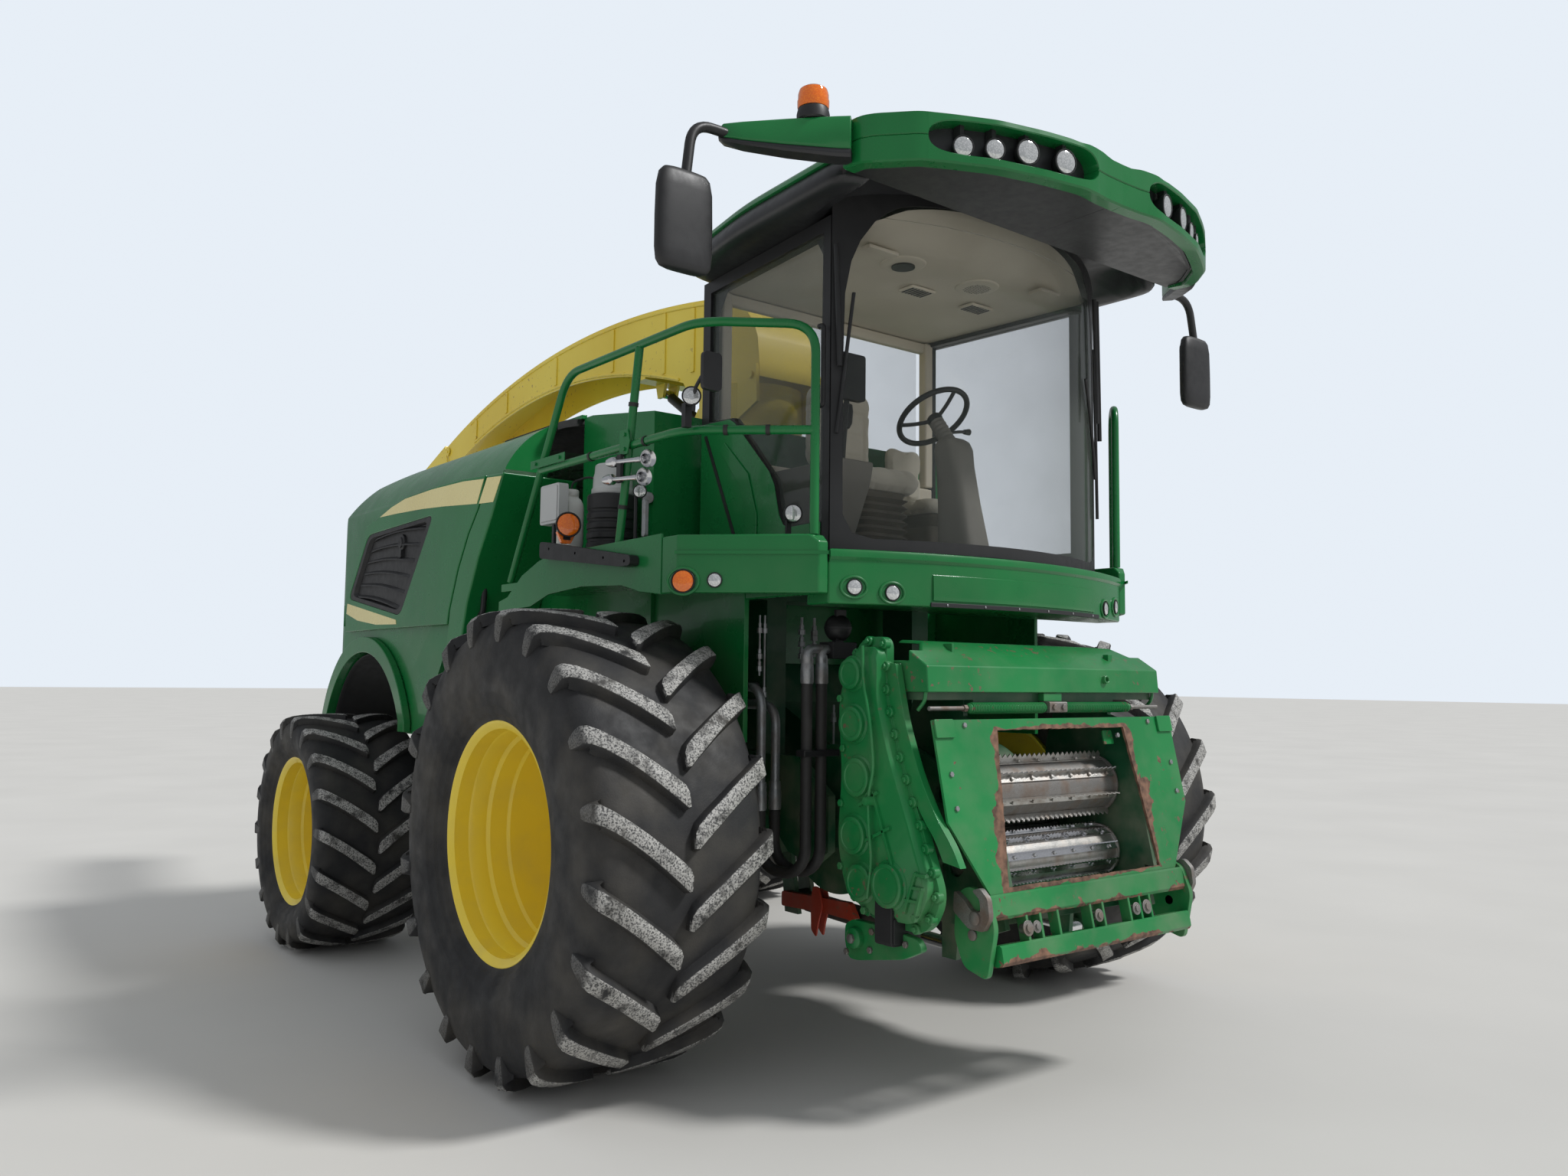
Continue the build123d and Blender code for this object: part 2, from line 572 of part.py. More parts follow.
arch_half = 670.0
arch_low_z = 1250.0
arch_spring_z = 1400.0
arch_top_z = 1820.0
arch_in_x = 840.0
fender_wall = 20.0
lip_wall = 100.0
door_outline = ((1330, 2705), (1900, 1960), (3390, 1960), (3420, 2150), (3050, 2690))
door_opening = ((1440, 2660), (1940, 2000), (3300, 2000), (3330, 2150), (3020, 2640))
grille_outline = ((1925, 2600), (2400, 2035), (3345, 2180), (3010, 2655))
with BuildPart() as hood_shell:
    add(hood_body(0))
    add(hood_body(hood_wall), mode=Mode.SUBTRACT)
    for sign in (1, -1):
        arch(fender_wall + fit, sides((arch_in_x - 1, hood_half), sign), Mode.SUBTRACT)
        side_plate(door_opening, sides((wing_half + 100, hood_half), sign), Mode.SUBTRACT)
        block(sides((520, 1150), sign), (950, 1650), (2600, 3150), Mode.SUBTRACT)
    block((-900, 900), (hood_rear_y - 200, hood_rear_y + 10), (1600, 2150), Mode.SUBTRACT)
    block((-duct_half - 10, duct_half + 10), (hood_front_y - 10, hood_front_y + 60), (1300, 1760), Mode.SUBTRACT)
    with Locations((0, turret_y, 3000)):
        Cylinder(turret_r + 50 + fit, 400, mode=Mode.SUBTRACT)
    for sign in (1, -1):
        with Locations((sign * door_pin[0], door_pin[1], 2070)):
            Cylinder(door_pin_r, 140)
        for z in (2000, 2125):
            block(sides((hood_half - door_wall - 30, door_pin[0] + 5), sign), (door_pin[1] - 6, door_pin[1] + 6),
                  (z, z + 15))
save(hood_shell, "hood_shell")

with BuildPart() as rear_fenders:
    for sign in (1, -1):
        arch(fender_wall, sides((arch_in_x, hood_half - 25), sign))
        arch(lip_wall, sides((hood_half - 30, hood_half + 15), sign))
        arch(0, sides((arch_in_x - 1, hood_half + 20), sign), Mode.SUBTRACT)
        block(sides((arch_in_x - 1, hood_half + 20), sign), (2000, 4000), (1200, 1340), Mode.SUBTRACT)
save(rear_fenders, "rear_fenders")

for side, sign in (("right", -1), ("left", 1)):
    with BuildPart() as door:
        side_plate(door_outline, sides((hood_half - door_wall, hood_half), sign))
        side_plate(grille_outline, sides((hood_half - door_wall - 1, hood_half + 1), sign), Mode.SUBTRACT)
        block(sides((door_pin[0] - 5, hood_half), sign), (3385, door_pin[1]), (2030, 2110))
        with Locations((sign * door_pin[0], door_pin[1], 2070)):
            Cylinder(door_pin_r + 6, 90)
            Cylinder(door_pin_r + fit, 100, mode=Mode.SUBTRACT)
    save(door, f"service_door_{side}")

    with BuildPart() as grille:
        side_plate(((1930, 2595), (2405, 2040), (3338, 2183), (3006, 2650)),
                   sides((hood_half - door_wall, hood_half - 2), sign))
        side_plate(((1990, 2570), (2425, 2075), (3275, 2205), (2985, 2620)),
                   sides((hood_half - door_wall - 1, hood_half), sign), Mode.SUBTRACT)
        for n in range(6):
            z = 2130 + n * 78
            side_plate(((1700, z - 10), (3600, z + 70), (3600, z + 100), (1700, z + 20)),
                       sides((hood_half - door_wall, hood_half - 6), sign))
        side_plate(((1930, 2595), (2405, 2040), (3338, 2183), (3006, 2650)),
                   sides((hood_half - door_wall, hood_half - 2), sign), Mode.INTERSECT)
    save(grille, f"side_grille_{side}")

with BuildPart() as rear_grille:
    block((fit - 900, 900 - fit), (hood_rear_y - 52, hood_rear_y - 34), (1600 + fit, 2150 - fit))
    for n in range(7):
        block((-840, 840), (hood_rear_y - 60, hood_rear_y - 30), (1640 + n * 70, 1675 + n * 70), Mode.SUBTRACT)
save(rear_grille, "rear_grille")

# Platforms over the front wheels, with the inner walls of the wheel housings
deck_z = (2110.0, 2150.0)
deck_x = (1001.0, 1402.0)
deck_y = (-500.0, 1060.0)
pod_front_y = -1040.0
apron_z = (1980.0, 2205.0)
apron_half = 960.0
cab_base_z = 2150.0
apron_seat_z = cab_base_z - fit
pod_x = apron_half + fit
pod_top_z = 2260.0
with BuildPart() as platforms:
    for sign in (1, -1):
        block(sides(deck_x, sign), deck_y, deck_z)
        side_plate(((-500, 2020), (-330, 2040), (-180, 2075), (180, 2090), (510, 2070), (700, 2020), (1060, 2010),
                    (1060, 2060), (960, 2080), (800, 2180), (620, 2240), (500, 2262), (-500, 2275)),
                   sides((deck_x[1], deck_x[1] + 12), sign))
        block(sides((wall_x[0], deck_x[0]), sign), (deck_y[0], hood_front_y - 2), deck_z)
        block(sides(wall_x, sign), (deck_y[0], hood_front_y - 2), (1400, deck_z[1]))
save(platforms, "platforms")


def pod_plan(points, sign, z, height, mode=Mode.ADD):
    """A lamp pod's plan on one side of the machine, raised from a height."""
    with BuildSketch(Plane.XY.offset(z)) as plan:
        with BuildLine():
            Polyline(*((sign * x, y) for x, y in points), close=True)
        make_face()
    extrude(plan.sketch, amount=height, mode=mode)


pod_outer = ((pod_x, -500 - fit), (1412, -500 - fit), (1412, -620), (1010, pod_front_y), (pod_x, pod_front_y))
pod_inner = ((980, -480), (1395, -480), (1395, -612), (1000, pod_front_y + 18), (980, pod_front_y + 18))
# Front apron under the windscreen
glass_bow = -1207.0
with BuildPart() as lamp_pods:
    for sign in (1, -1):
        pod_plan(pod_outer, sign, 2020, pod_top_z - 2020)
    chamfer(lamp_pods.edges().group_by(Axis.Z)[-1].group_by(Axis.Y)[0], 30)
    for sign in (1, -1):
        pod_plan(pod_inner, sign, 2000, 225, Mode.SUBTRACT)
with BuildPart() as front_apron:
    with BuildSketch(Plane.XY.offset(apron_z[0])) as plan:
        with BuildLine():
            ThreePointArc((-960, -1040), (0, glass_bow - 45), (960, -1040))
            Polyline((960, -1040), (960, -900), (-960, -900), (-960, -1040))
        make_face()
    extrude(plan.sketch, amount=apron_seat_z - apron_z[0])
    with BuildSketch(Plane.XY.offset(apron_seat_z)) as lip:
        with BuildLine():
            ThreePointArc((-960, -1040), (0, glass_bow - 45), (960, -1040))
            Line((960, -1040), (905, -1000))
            ThreePointArc((905, -1000), (0, glass_bow - 12), (-905, -1000))
            Line((-905, -1000), (-960, -1040))
        make_face()
    extrude(lip.sketch, amount=apron_z[1] - apron_seat_z)
    add(lamp_pods.part)
save(front_apron, "front_apron")

# Cab
side_run = math.hypot(cab_rear_y - cab_front_y, cab_half - cab_rear_half)


def cab_plane():
    """The left side of the cab: local x runs to the rear from the front pillar, local y up, z outwards."""
    run = Vector(cab_rear_half - cab_half, cab_rear_y - cab_front_y, 0).normalized()
    return Plane(origin=(cab_half, cab_front_y, 0), x_dir=run, z_dir=(run.Y, -run.X, 0))


def cab_panel(points, low, high):
    """A panel in the left side of the cab between two depths from its outer face."""
    with BuildSketch(cab_plane().offset(low)) as outline:
        with BuildLine():
            Polyline(*points, close=True)
        make_face()
    extrude(outline.sketch, amount=high - low)


def cab_bow(inset, z, height, mode=Mode.ADD):
    """The cab's plan with its bowed front, drawn in by the inset."""
    with BuildSketch(Plane.XY.offset(z)) as plan:
        with BuildLine():
            ThreePointArc((inset - cab_half, cab_front_y), (0, glass_bow + inset), (cab_half - inset, cab_front_y))
            Polyline((cab_half - inset, cab_front_y), (cab_rear_half - inset, cab_rear_y - inset),
                     (inset - cab_rear_half, cab_rear_y - inset), (inset - cab_half, cab_front_y))
        make_face()
    extrude(plan.sketch, amount=height, mode=mode)


# The right side is one fixed window over a stepped panel, the left side an open ring that the door covers
sill = ((8, 2340), (370, 2340), (430, 2560), (800, 2910), (side_run - 70, 2930))
ring_depth = (-76.0, -36.0)
door_depth = (-28.0, 0.0)
hinge_run = side_run - 24
hinge_z = (2560.0, 3380.0)
hinge_height = 60.0
hinge_r = 8.0
with BuildPart() as cab_sides:
    cab_panel(((8, 2210), (side_run, 2210), (side_run, cab_top_z), (side_run - 70, cab_top_z),
               *reversed(sill)), -40, 0)
    cab_panel(((8, 2210), (pillar, 2210), (pillar, cab_top_z), (8, cab_top_z)), -70, 0)
    cab_panel(((8, cab_top_z - 60), (side_run, cab_top_z - 60), (side_run, cab_top_z), (8, cab_top_z)), -60, 0)
    mirror(about=Plane.YZ, mode=Mode.REPLACE)
    cab_panel(((8, 2210), (pillar, 2210), (pillar, cab_top_z), (8, cab_top_z)), ring_depth[0], 0)
    for outline in (((8, 2210), (side_run - 20, 2210), (side_run - 20, 2330), (8, 2330)),
                    ((8, cab_top_z - 60), (side_run - 20, cab_top_z - 60), (side_run - 20, cab_top_z), (8, cab_top_z)),
                    ((side_run - 90, 2210), (side_run - 20, 2210), (side_run - 20, cab_top_z), (side_run - 90, cab_top_z))):
        cab_panel(outline, *ring_depth)
    # Hinge pins of the door on the ring's rear post
    for z in hinge_z:
        cab_panel(((hinge_run - 5, z), (hinge_run + 4, z), (hinge_run + 4, z + hinge_height),
                   (hinge_run - 5, z + hinge_height)), ring_depth[1] - 2, door_depth[0] - 1)
        with Locations(cab_plane().from_local_coords((hinge_run, z + hinge_height / 2, door_depth[0]))):
            Cylinder(hinge_r, hinge_height)
with BuildPart() as cab_frame:
    cab_bow(glass + fit, 2150, 60)
    add(cab_sides.part)
    block((40 - cab_rear_half, cab_rear_half - 40), (cab_rear_y - 40, cab_rear_y), (2210, 2760))
    block((40 - cab_rear_half, cab_rear_half - 40), (cab_rear_y - 60, cab_rear_y), (cab_top_z - 60, cab_top_z))
save(cab_frame, "cab_frame")

with BuildPart() as windscreen:
    cab_bow(0, 2210 + fit, cab_top_z - 2210 - 2 * fit)
    cab_bow(glass, 2200, 1500, Mode.SUBTRACT)
    block((-1000, 1000), (cab_front_y - fit, 1000), (2100, 3700), Mode.SUBTRACT)

with BuildPart() as cab_windows:
    cab_panel(((pillar + fit, 2341), (369, 2341), (429, 2561), (799, 2911), (side_run - 70 - fit, 2931),
               (side_run - 70 - fit, cab_top_z - 60 - fit), (pillar + fit, cab_top_z - 60 - fit)), -24, -16)
    mirror(about=Plane.YZ, mode=Mode.REPLACE)
    block((72 - cab_rear_half, cab_rear_half - 98), (cab_rear_y - 20, cab_rear_y - 12), (2760.5, cab_top_z - 60.5))
    add(windscreen.part)
save(cab_windows, "cab_windows")

# Door over the left ring, hinged on the inner corner of its rear edge
door_run = (pillar + 8, hinge_run)
door_z = (2285.0, cab_top_z - 8)
door_frame = 52.0
with BuildPart() as cab_door:
    with BuildSketch(cab_plane().offset(door_depth[0])) as leaf:
        with Locations(((door_run[0] + door_run[1]) / 2, (door_z[0] + door_z[1]) / 2)):
            Rectangle(door_run[1] - door_run[0], door_z[1] - door_z[0])
            Rectangle(door_run[1] - door_run[0] - 2 * door_frame, door_z[1] - door_z[0] - 2 * door_frame,
                      mode=Mode.SUBTRACT)
    extrude(leaf.sketch, amount=door_depth[1] - door_depth[0])
    for z in hinge_z:
        with Locations(cab_plane().from_local_coords((hinge_run, z + hinge_height / 2, door_depth[0]))):
            Cylinder(hinge_r + fit, hinge_height + 4, mode=Mode.SUBTRACT)
save(cab_door, "cab_door")
with BuildPart() as cab_door_glass:
    with BuildSketch(cab_plane().offset(-18)) as pane:
        with Locations(((door_run[0] + door_run[1]) / 2, (door_z[0] + door_z[1]) / 2)):
            Rectangle(door_run[1] - door_run[0] - 2 * (door_frame + fit), door_z[1] - door_z[0] - 2 * (door_frame + fit))
    extrude(pane.sketch, amount=glass)
save(cab_door_glass, "cab_door_glass")

# Roof, its visor and lamps
roof_z = (cab_top_z, 3835.0)
roof_front_y = -1290.0
roof_taper = 12.0
with BuildPart() as cab_roof:
    with BuildSketch(Plane.XY.offset(roof_z[0])) as low:
        with BuildLine():
            Polyline((960, 260), (-960, 260), (-1060, -500), (-1080, roof_front_y), (1080, roof_front_y),
                     (1060, -500), close=True)
        make_face()
    extrude(low.sketch, amount=roof_z[1] - roof_z[0], taper=roof_taper)
save(cab_roof, "cab_roof")

visor_z = (3700.0, 3842.0)
lamp_room_z = (3712.0, 3802.0)
visor_half = 1115.0
visor_back_y = roof_front_y + (visor_z[0] - roof_z[0]) * math.tan(math.radians(roof_taper)) - fit
visor_plan = ((visor_half, visor_back_y), (visor_half, -1392), (960, -1560), (670, -1700), (234, front_y), (120, -1790))
with BuildPart() as roof_visor:
    with BuildSketch(Plane.XY.offset(visor_z[0])) as plan:
        with BuildLine():
            Polyline(*visor_plan, *((-x, y) for x, y in reversed(visor_plan)), close=True)
        make_face()
    extrude(plan.sketch, amount=visor_z[1] - visor_z[0])
    block((-150, 150), (-1900, -1500), (3775, 3900), Mode.SUBTRACT)
    for sign in (1, -1):
        with BuildSketch(Plane.XY.offset(lamp_room_z[0])) as room:
            with BuildLine():
                Polyline(*((sign * x, y) for x, y in ((930, -1700), (230, -1900), (230, -1640), (700, -1570),
                                                     (900, -1500), (930, -1530))), close=True)
            make_face()
        extrude(room.sketch, amount=lamp_room_z[1] - lamp_room_z[0], mode=Mode.SUBTRACT)
save(roof_visor, "roof_visor")

# Mirrors on their arms
with BuildPart() as mirrors:
    tube(((1470, -1010, 3790), (1690, -1020, 3790), (1690, -1030, 3560)), 16, 60)
    with BuildSketch(Plane.XY.offset(3775)) as wing:
        with BuildLine():
            Polyline((visor_half + fit, -1390), (visor_half + fit, -1312), (1440, -960), (1500, -960), (1500, -1040),
                     close=True)
        make_face()
    extrude(wing.sketch, amount=55)
    with Locations((1690, -1030, 3380)):
        Box(220, 70, 390)
    fillet(mirrors.edges().filter_by(Axis.Y).group_by(Axis.Z)[0], 30)
    mirror(about=Plane.YZ)
save(mirrors, "mirrors")

# Rails round the platforms
rail_r = 19.0
rail_low_z = deck_z[1]
ladder_x = (1010.0, 1390.0)
with BuildPart() as railings:
    tube(((-1000, -995, pod_top_z + fit), (-1000, -995, 3130), (-1376, -690, 3140), (-1376, 440, 3140),
          (-1376, 1004, rail_low_z + 11)), rail_r, 90)
    rod((-1376, -70, rail_low_z + 4), (-1376, -230, 3135), rail_r)
    rod((-1000, -995, 2690), (-1376, -600, 2700), rail_r)
    rod((-1376, -600, 2700), (-1376, 690, 2700), rail_r)
    for y, top in ((-995, 3100), (-845, 3100)):
        x = 1000 if y < -900 else 1180
        rod((x, y, pod_top_z + fit), (x, y, top), rail_r)
    rod((1000, -995, 3100), (1180, -845, 3100), rail_r)
    tube(((1375, 1000, rail_low_z + fit), (1375, 1000, 3050), (1375, 520, 3050), (1375, 520, rail_low_z + fit)),
         rail_r, 90)
    # Ladder behind the left front wheel
    for x in ladder_x:
        side_plate(((1060 + fit, 2110), (1132, 2110), (1290, 420), (1220, 420)), (x, x + 20))
    for n in range(6):
        z = 450 + n * 285
        y = 1275 - (z - 450) / 1660 * 155
        block((ladder_x[0] + 20, ladder_x[1]), (y - 70, y + 60), (z, z + 28))
save(railings, "railings")

# Seats, steering column and console
with BuildPart() as seats:
    block((-260, 260), (-430, 60), (2620, 2740))
    block((-240, 240), (-30, 80), (2740, 3250))
    block((330, 660), (-330, 60), (2560, 2640))
    block((345, 645), (10, 80), (2640, 2980))
save(seats, "seats")
with BuildPart() as seat_bases:
    block((-180, 180), (-380, 40), (2210 + fit, 2620 - fit))
    block((380, 620), (-280, 60), (2210 + fit, 2560 - fit))
save(seat_bases, "seat_bases")
with BuildPart() as cab_controls:
    side_plate(((-1010, 2210 + fit), (-760, 2210 + fit), (-740, 2800), (-800, 2830), (-880, 2800)), (-90, 90))
    rod((0, -800, 2780), (0, -682, 2941), 40)
    wheel_plane = Plane(origin=(0, -680, 2945), x_dir=(1, 0, 0), z_dir=Vector(0, 110, 150).normalized())
    with BuildSketch(Plane(origin=wheel_plane.from_local_coords((180, 0, 0)), x_dir=wheel_plane.x_dir,
                           z_dir=wheel_plane.y_dir)) as grip:
        Circle(14)
    revolve(grip.sketch, axis=Axis(wheel_plane.origin, wheel_plane.z_dir))
    with BuildSketch(wheel_plane.offset(-12)) as spokes:
        Circle(45)
        Rectangle(350, 34)
    extrude(spokes.sketch, amount=20)
    side_plate(((-620, 2700), (-60, 2700), (-60, 2560), (-120, 2210 + fit), (-420, 2210 + fit), (-600, 2600)),
               (-520, -320))
    rod((-480, -560, 2700), (-480, -600, 3010), 14)
    block((-560, -400), (-640, -600), (2960, 3180))
save(cab_controls, "cab_controls")

# Spout: turret collar and cheeks, chute and end flap
pivot_r = 22.0
lift_lug_x = (37.0, 57.0)
spout_lift_base = (1180.0, 3160.0)
spout_lift_eye = (1700.0, 3495.0)
with BuildPart() as spout_base:
    with Locations((0, turret_y, turret_z + 100 + fit + 150)):
        Cylinder(turret_r, 300)
        Cylinder(turret_r - 12, 310, mode=Mode.SUBTRACT)
    for sign in (1, -1):
        side_plate(((430, 3190), (620, 3112), (1100, 3112), (1000, 3240), (560, 3400), (440, 3400)),
                   sides((chute_half + 5, chute_half + 25), sign))
        disc_x(spout_pivot, pivot_r, sides((chute_half - 12, chute_half + 40), sign))
        side_plate(((1080, 3112), (1215, 3112), (1225, 3190), (1080, 3240)), sides(lift_lug_x, sign))
        disc_x(spout_lift_base, 16 + fit, sides((lift_lug_x[0] - 1, lift_lug_x[1] + 1), sign), Mode.SUBTRACT)
save(spout_base, "spout_base")

chute_end_y = 4780.0
flap_pivot = (chute_end_y - 40, 3540.0)
flap_pin_r = 10.0
with BuildPart() as spout_chute:
    with BuildSketch(Plane.YZ.offset(-chute_half)) as outline:
        with BuildLine():
            Line((440, 3400), (460, 3560))
            ThreePointArc((460, 3560), (600, 3760), (900, 3880))
            ThreePointArc((900, 3880), (2750, 3985), (chute_end_y, 3585))
            Line((chute_end_y, 3585), (chute_end_y - 80, 3360))
            ThreePointArc((chute_end_y - 80, 3360), (3000, 3700), (1200, 3440))
            Polyline((1200, 3440), (1120, 3335), (440, 3335), (440, 3400))
        make_face()
    extrude(outline.sketch, amount=2 * chute_half)
    with BuildSketch(Plane.YZ.offset(chute_wall - chute_half)) as inside:
        with BuildLine():
            Line((448, 3400), (468, 3557))
            ThreePointArc((468, 3557), (606, 3753), (902, 3872))
            ThreePointArc((902, 3872), (2750, 3977), (chute_end_y + 20, 3570))
            Line((chute_end_y + 20, 3570), (chute_end_y + 20, 3200))
            Polyline((chute_end_y + 20, 3200), (448, 3200), (448, 3400))
        make_face()
    extrude(inside.sketch, amount=2 * (chute_half - chute_wall), mode=Mode.SUBTRACT)
    disc_x(spout_pivot, pivot_r + fit, (-chute_half - 10, chute_half + 10), Mode.SUBTRACT)
    block((-chute_half, chute_half), (1640, 1760), (3552, 3580))
    for sign in (1, -1):
        side_plate(((1645, 3555), (1755, 3555), (1730, 3465), (1670, 3465)), sides(lift_lug_x, sign))
        disc_x(flap_pivot, flap_pin_r, sides((chute_half - chute_wall, chute_half + 20), sign))
save(spout_chute, "spout_chute")

spout_lift_run = Vector(0, spout_lift_eye[0] - spout_lift_base[0], spout_lift_eye[1] - spout_lift_base[1])
spout_lift_dir = spout_lift_run.normalized()
spout_rod_r = 18.0
spout_base_point = Vector(0, *spout_lift_base)
spout_eye_point = Vector(0, *spout_lift_eye)
with BuildPart() as spout_lift_barrel:
    rod(spout_base_point + spout_lift_dir * 24, spout_base_point + spout_lift_dir * 560, 32)
    rod(spout_base_point + spout_lift_dir * 120, spout_base_point + spout_lift_dir * 565, spout_rod_r + fit,
        Mode.SUBTRACT)
    disc_x(spout_lift_base, 30, (-28, 28))
    disc_x(spout_lift_base, 16, (-60, 60))
save(spout_lift_barrel, "spout_lift_barrel")
with BuildPart() as spout_lift_rod:
    rod(spout_base_point + spout_lift_dir * 160, spout_eye_point - spout_lift_dir * 20, spout_rod_r)
    disc_x(spout_lift_eye, 28, (-28, 28))
    disc_x(spout_lift_eye, 14 + fit, (-30, 30), Mode.SUBTRACT)
save(spout_lift_rod, "spout_lift_rod")

with BuildPart() as spout_flap:
    side_plate(((chute_end_y + 10, 3595), (rear_y, 3455), (rear_y - 90, 3260), (chute_end_y - 70, 3366)),
               (-chute_half - 14, chute_half + 14))
    disc_x(flap_pivot, 34, (-chute_half - 14, chute_half + 14))
    side_plate(((chute_end_y + 6, 3587), (rear_y + 5, 3445), (rear_y + 5, 3100), (chute_end_y - 90, 3100),
                (chute_end_y - 90, 3600)), (-chute_half - 6, chute_half + 6), Mode.SUBTRACT)
    disc_x(flap_pivot, flap_pin_r + fit, (-chute_half - 15, chute_half + 15), Mode.SUBTRACT)
save(spout_flap, "spout_flap")

# Lamps: beacon on the mirror's wing, round lamps in the visor, side lamps and work lamps on the platforms
# columns: x, y of the front, z, radius
roof_lamps = ((326, -1734, 3756, 40), (515, -1703, 3756, 40), (670, -1650, 3756, 34), (800, -1600, 3756, 32))
side_lamp = (1432.0, 316.0, 2386.0)
side_lamp_r = 58.0


def bumper_top_z(y):
    """Height of the bumper bar's top edge at a place along the machine."""
    return 2245 + 0.155 * y


with BuildPart() as lamps:
    with Locations((-1250, -1190, 3830 + fit + 70)):
        Cylinder(50, 140)
    chamfer(lamps.edges().group_by(Axis.Z)[-1], 14)
    for sign in (1, -1):
        for x, y, z, r in roof_lamps:
            rod((sign * x, y + 50, z), (sign * x, y, z), r)
            block(sides((x - 8, x + 8), sign), (y + 15, y + 40), (z + r - 4, lamp_room_z[1] - fit))
        rod((sign * side_lamp[0], side_lamp[1] - 26, side_lamp[2]), (sign * side_lamp[0], side_lamp[1] + 26, side_lamp[2]),
            side_lamp_r)
        block(sides((side_lamp[0] - 15, side_lamp[0] + 15), sign), (side_lamp[1] - 12, side_lamp[1] + 12),
              (bumper_top_z(side_lamp[1] + 12) + fit, side_lamp[2] - side_lamp_r + 6))
        rod((sign * 985, -835, 2365), (sign * 985, -785, 2365), 40)
        block(sides((975, 995), sign), (-820, -800), (pod_top_z + fit, 2330))
save(lamps, "lamps")

# What stands on the platforms: bumper bars outside, a control box, a bottle, a tank and two horns on the right
bottle_x, bottle_y = -1268.0, 578.0
tank_x, tank_y = -1142.0, 385.0
tank_r = 125.0
horn_x = -1424.0
with BuildPart() as platform_equipment:
    for sign in (1, -1):
        side_plate(((520, bumper_top_z(520) - 85), (520, bumper_top_z(520)), (-330, bumper_top_z(-330)),
                    (-330, bumper_top_z(-330) - 45), (-240, bumper_top_z(-240) - 60)),
                   sides((deck_x[1] + 12 + fit, deck_x[1] + 60), sign))
    block((-1385, -1330), (480, 680), (2420, 2620))
    block((-1365, -1350), (560, 585), (deck_z[1] + fit, 2421))
    with Locations((bottle_x, bottle_y, (deck_z[1] + fit + 2560) / 2)):
        Box(110, 130, 2560 - deck_z[1] - fit)
    with Locations((bottle_x, bottle_y, 2580)):
        Cylinder(40, 44)
    with Locations((tank_x, tank_y, (deck_z[1] + fit + 2565) / 2)):
        Cylinder(tank_r, 2565 - deck_z[1] - fit)
    with Locations((tank_x, tank_y, 2640)):
        Cylinder(tank_r - 22, 152)
    for y, z in ((-386, 2606), (-356, 2531)):
        horn_back = Vector(horn_x, y + 340, z + 28)
        horn_mouth = Vector(horn_x, y, z)
        horn_run = (horn_mouth - horn_back).normalized()
        with BuildSketch(Plane(origin=horn_mouth - horn_run * 70, z_dir=horn_run)) as throat:
            Circle(12)
        extrude(throat.sketch, amount=70, taper=-20)
        rod(horn_back, horn_mouth - horn_run * 69, 12)
    block((horn_x - 12, -1376 - rail_r - fit), (-165, -120), (2530, 2660))
save(platform_equipment, "platform_equipment")

# Hydraulic block with its accumulator under the apron, its hoses in a loop and the steel pipes to the frame
hose_r = 24.0
pipe_r = hose_r + 2
# columns: x of the hose's upper end, x of its lower end, height of the pipe's run to the frame
hose_runs = ((-780.0, -820.0, 1560.0), (-860.0, -900.0, 1640.0))
hose_y = -788.0
hose_top_z = 1740.0
loop_z = 860.0
pipe_end = (-525.0, 1190.0)
with BuildPart() as hydraulic_block:
    block((-700, -640), (-790, -770), (1840, apron_z[0] - fit))
    block((-740, -600), (-815, -720), (1765, 1850))
    with Locations((-670, -765, 1900)):
        Sphere(60)
    for top_x, low_x, run_z in hose_runs:
        tube(((-720, hose_y + 18, 1805), (top_x, hose_y, 1805), (top_x, hose_y, hose_top_z)), pipe_r, 30)
        tube(((low_x, *pipe_end), (low_x, pipe_end[0], run_z), (low_x, -40, run_z),
              (-rail_out - fit, -40, run_z)), pipe_r, 50)
save(hydraulic_block, "hydraulic_block")

with BuildPart() as hydraulic_hoses:
    for top_x, low_x, run_z in hose_runs:
        tube(((top_x, hose_y, hose_top_z - fit), (top_x, hose_y, loop_z), (low_x, pipe_end[0], loop_z),
              (low_x, pipe_end[0], pipe_end[1] - fit)), hose_r, 115)
save(hydraulic_hoses, "hydraulic_hoses")

# Lock bar that holds the feed housing up for work under it
with BuildPart() as safety_bar:
    side_plate(((-110, 590), (-110, 665), (-600, 680), (-655, 600), (-655, 500), (-620, 500), (-600, 610)),
               (-452, -420 - fit))
save(safety_bar, "safety_bar")
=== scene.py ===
import bpy
import bmesh
import json
import math
import numpy as np
from mathutils import Matrix, Vector


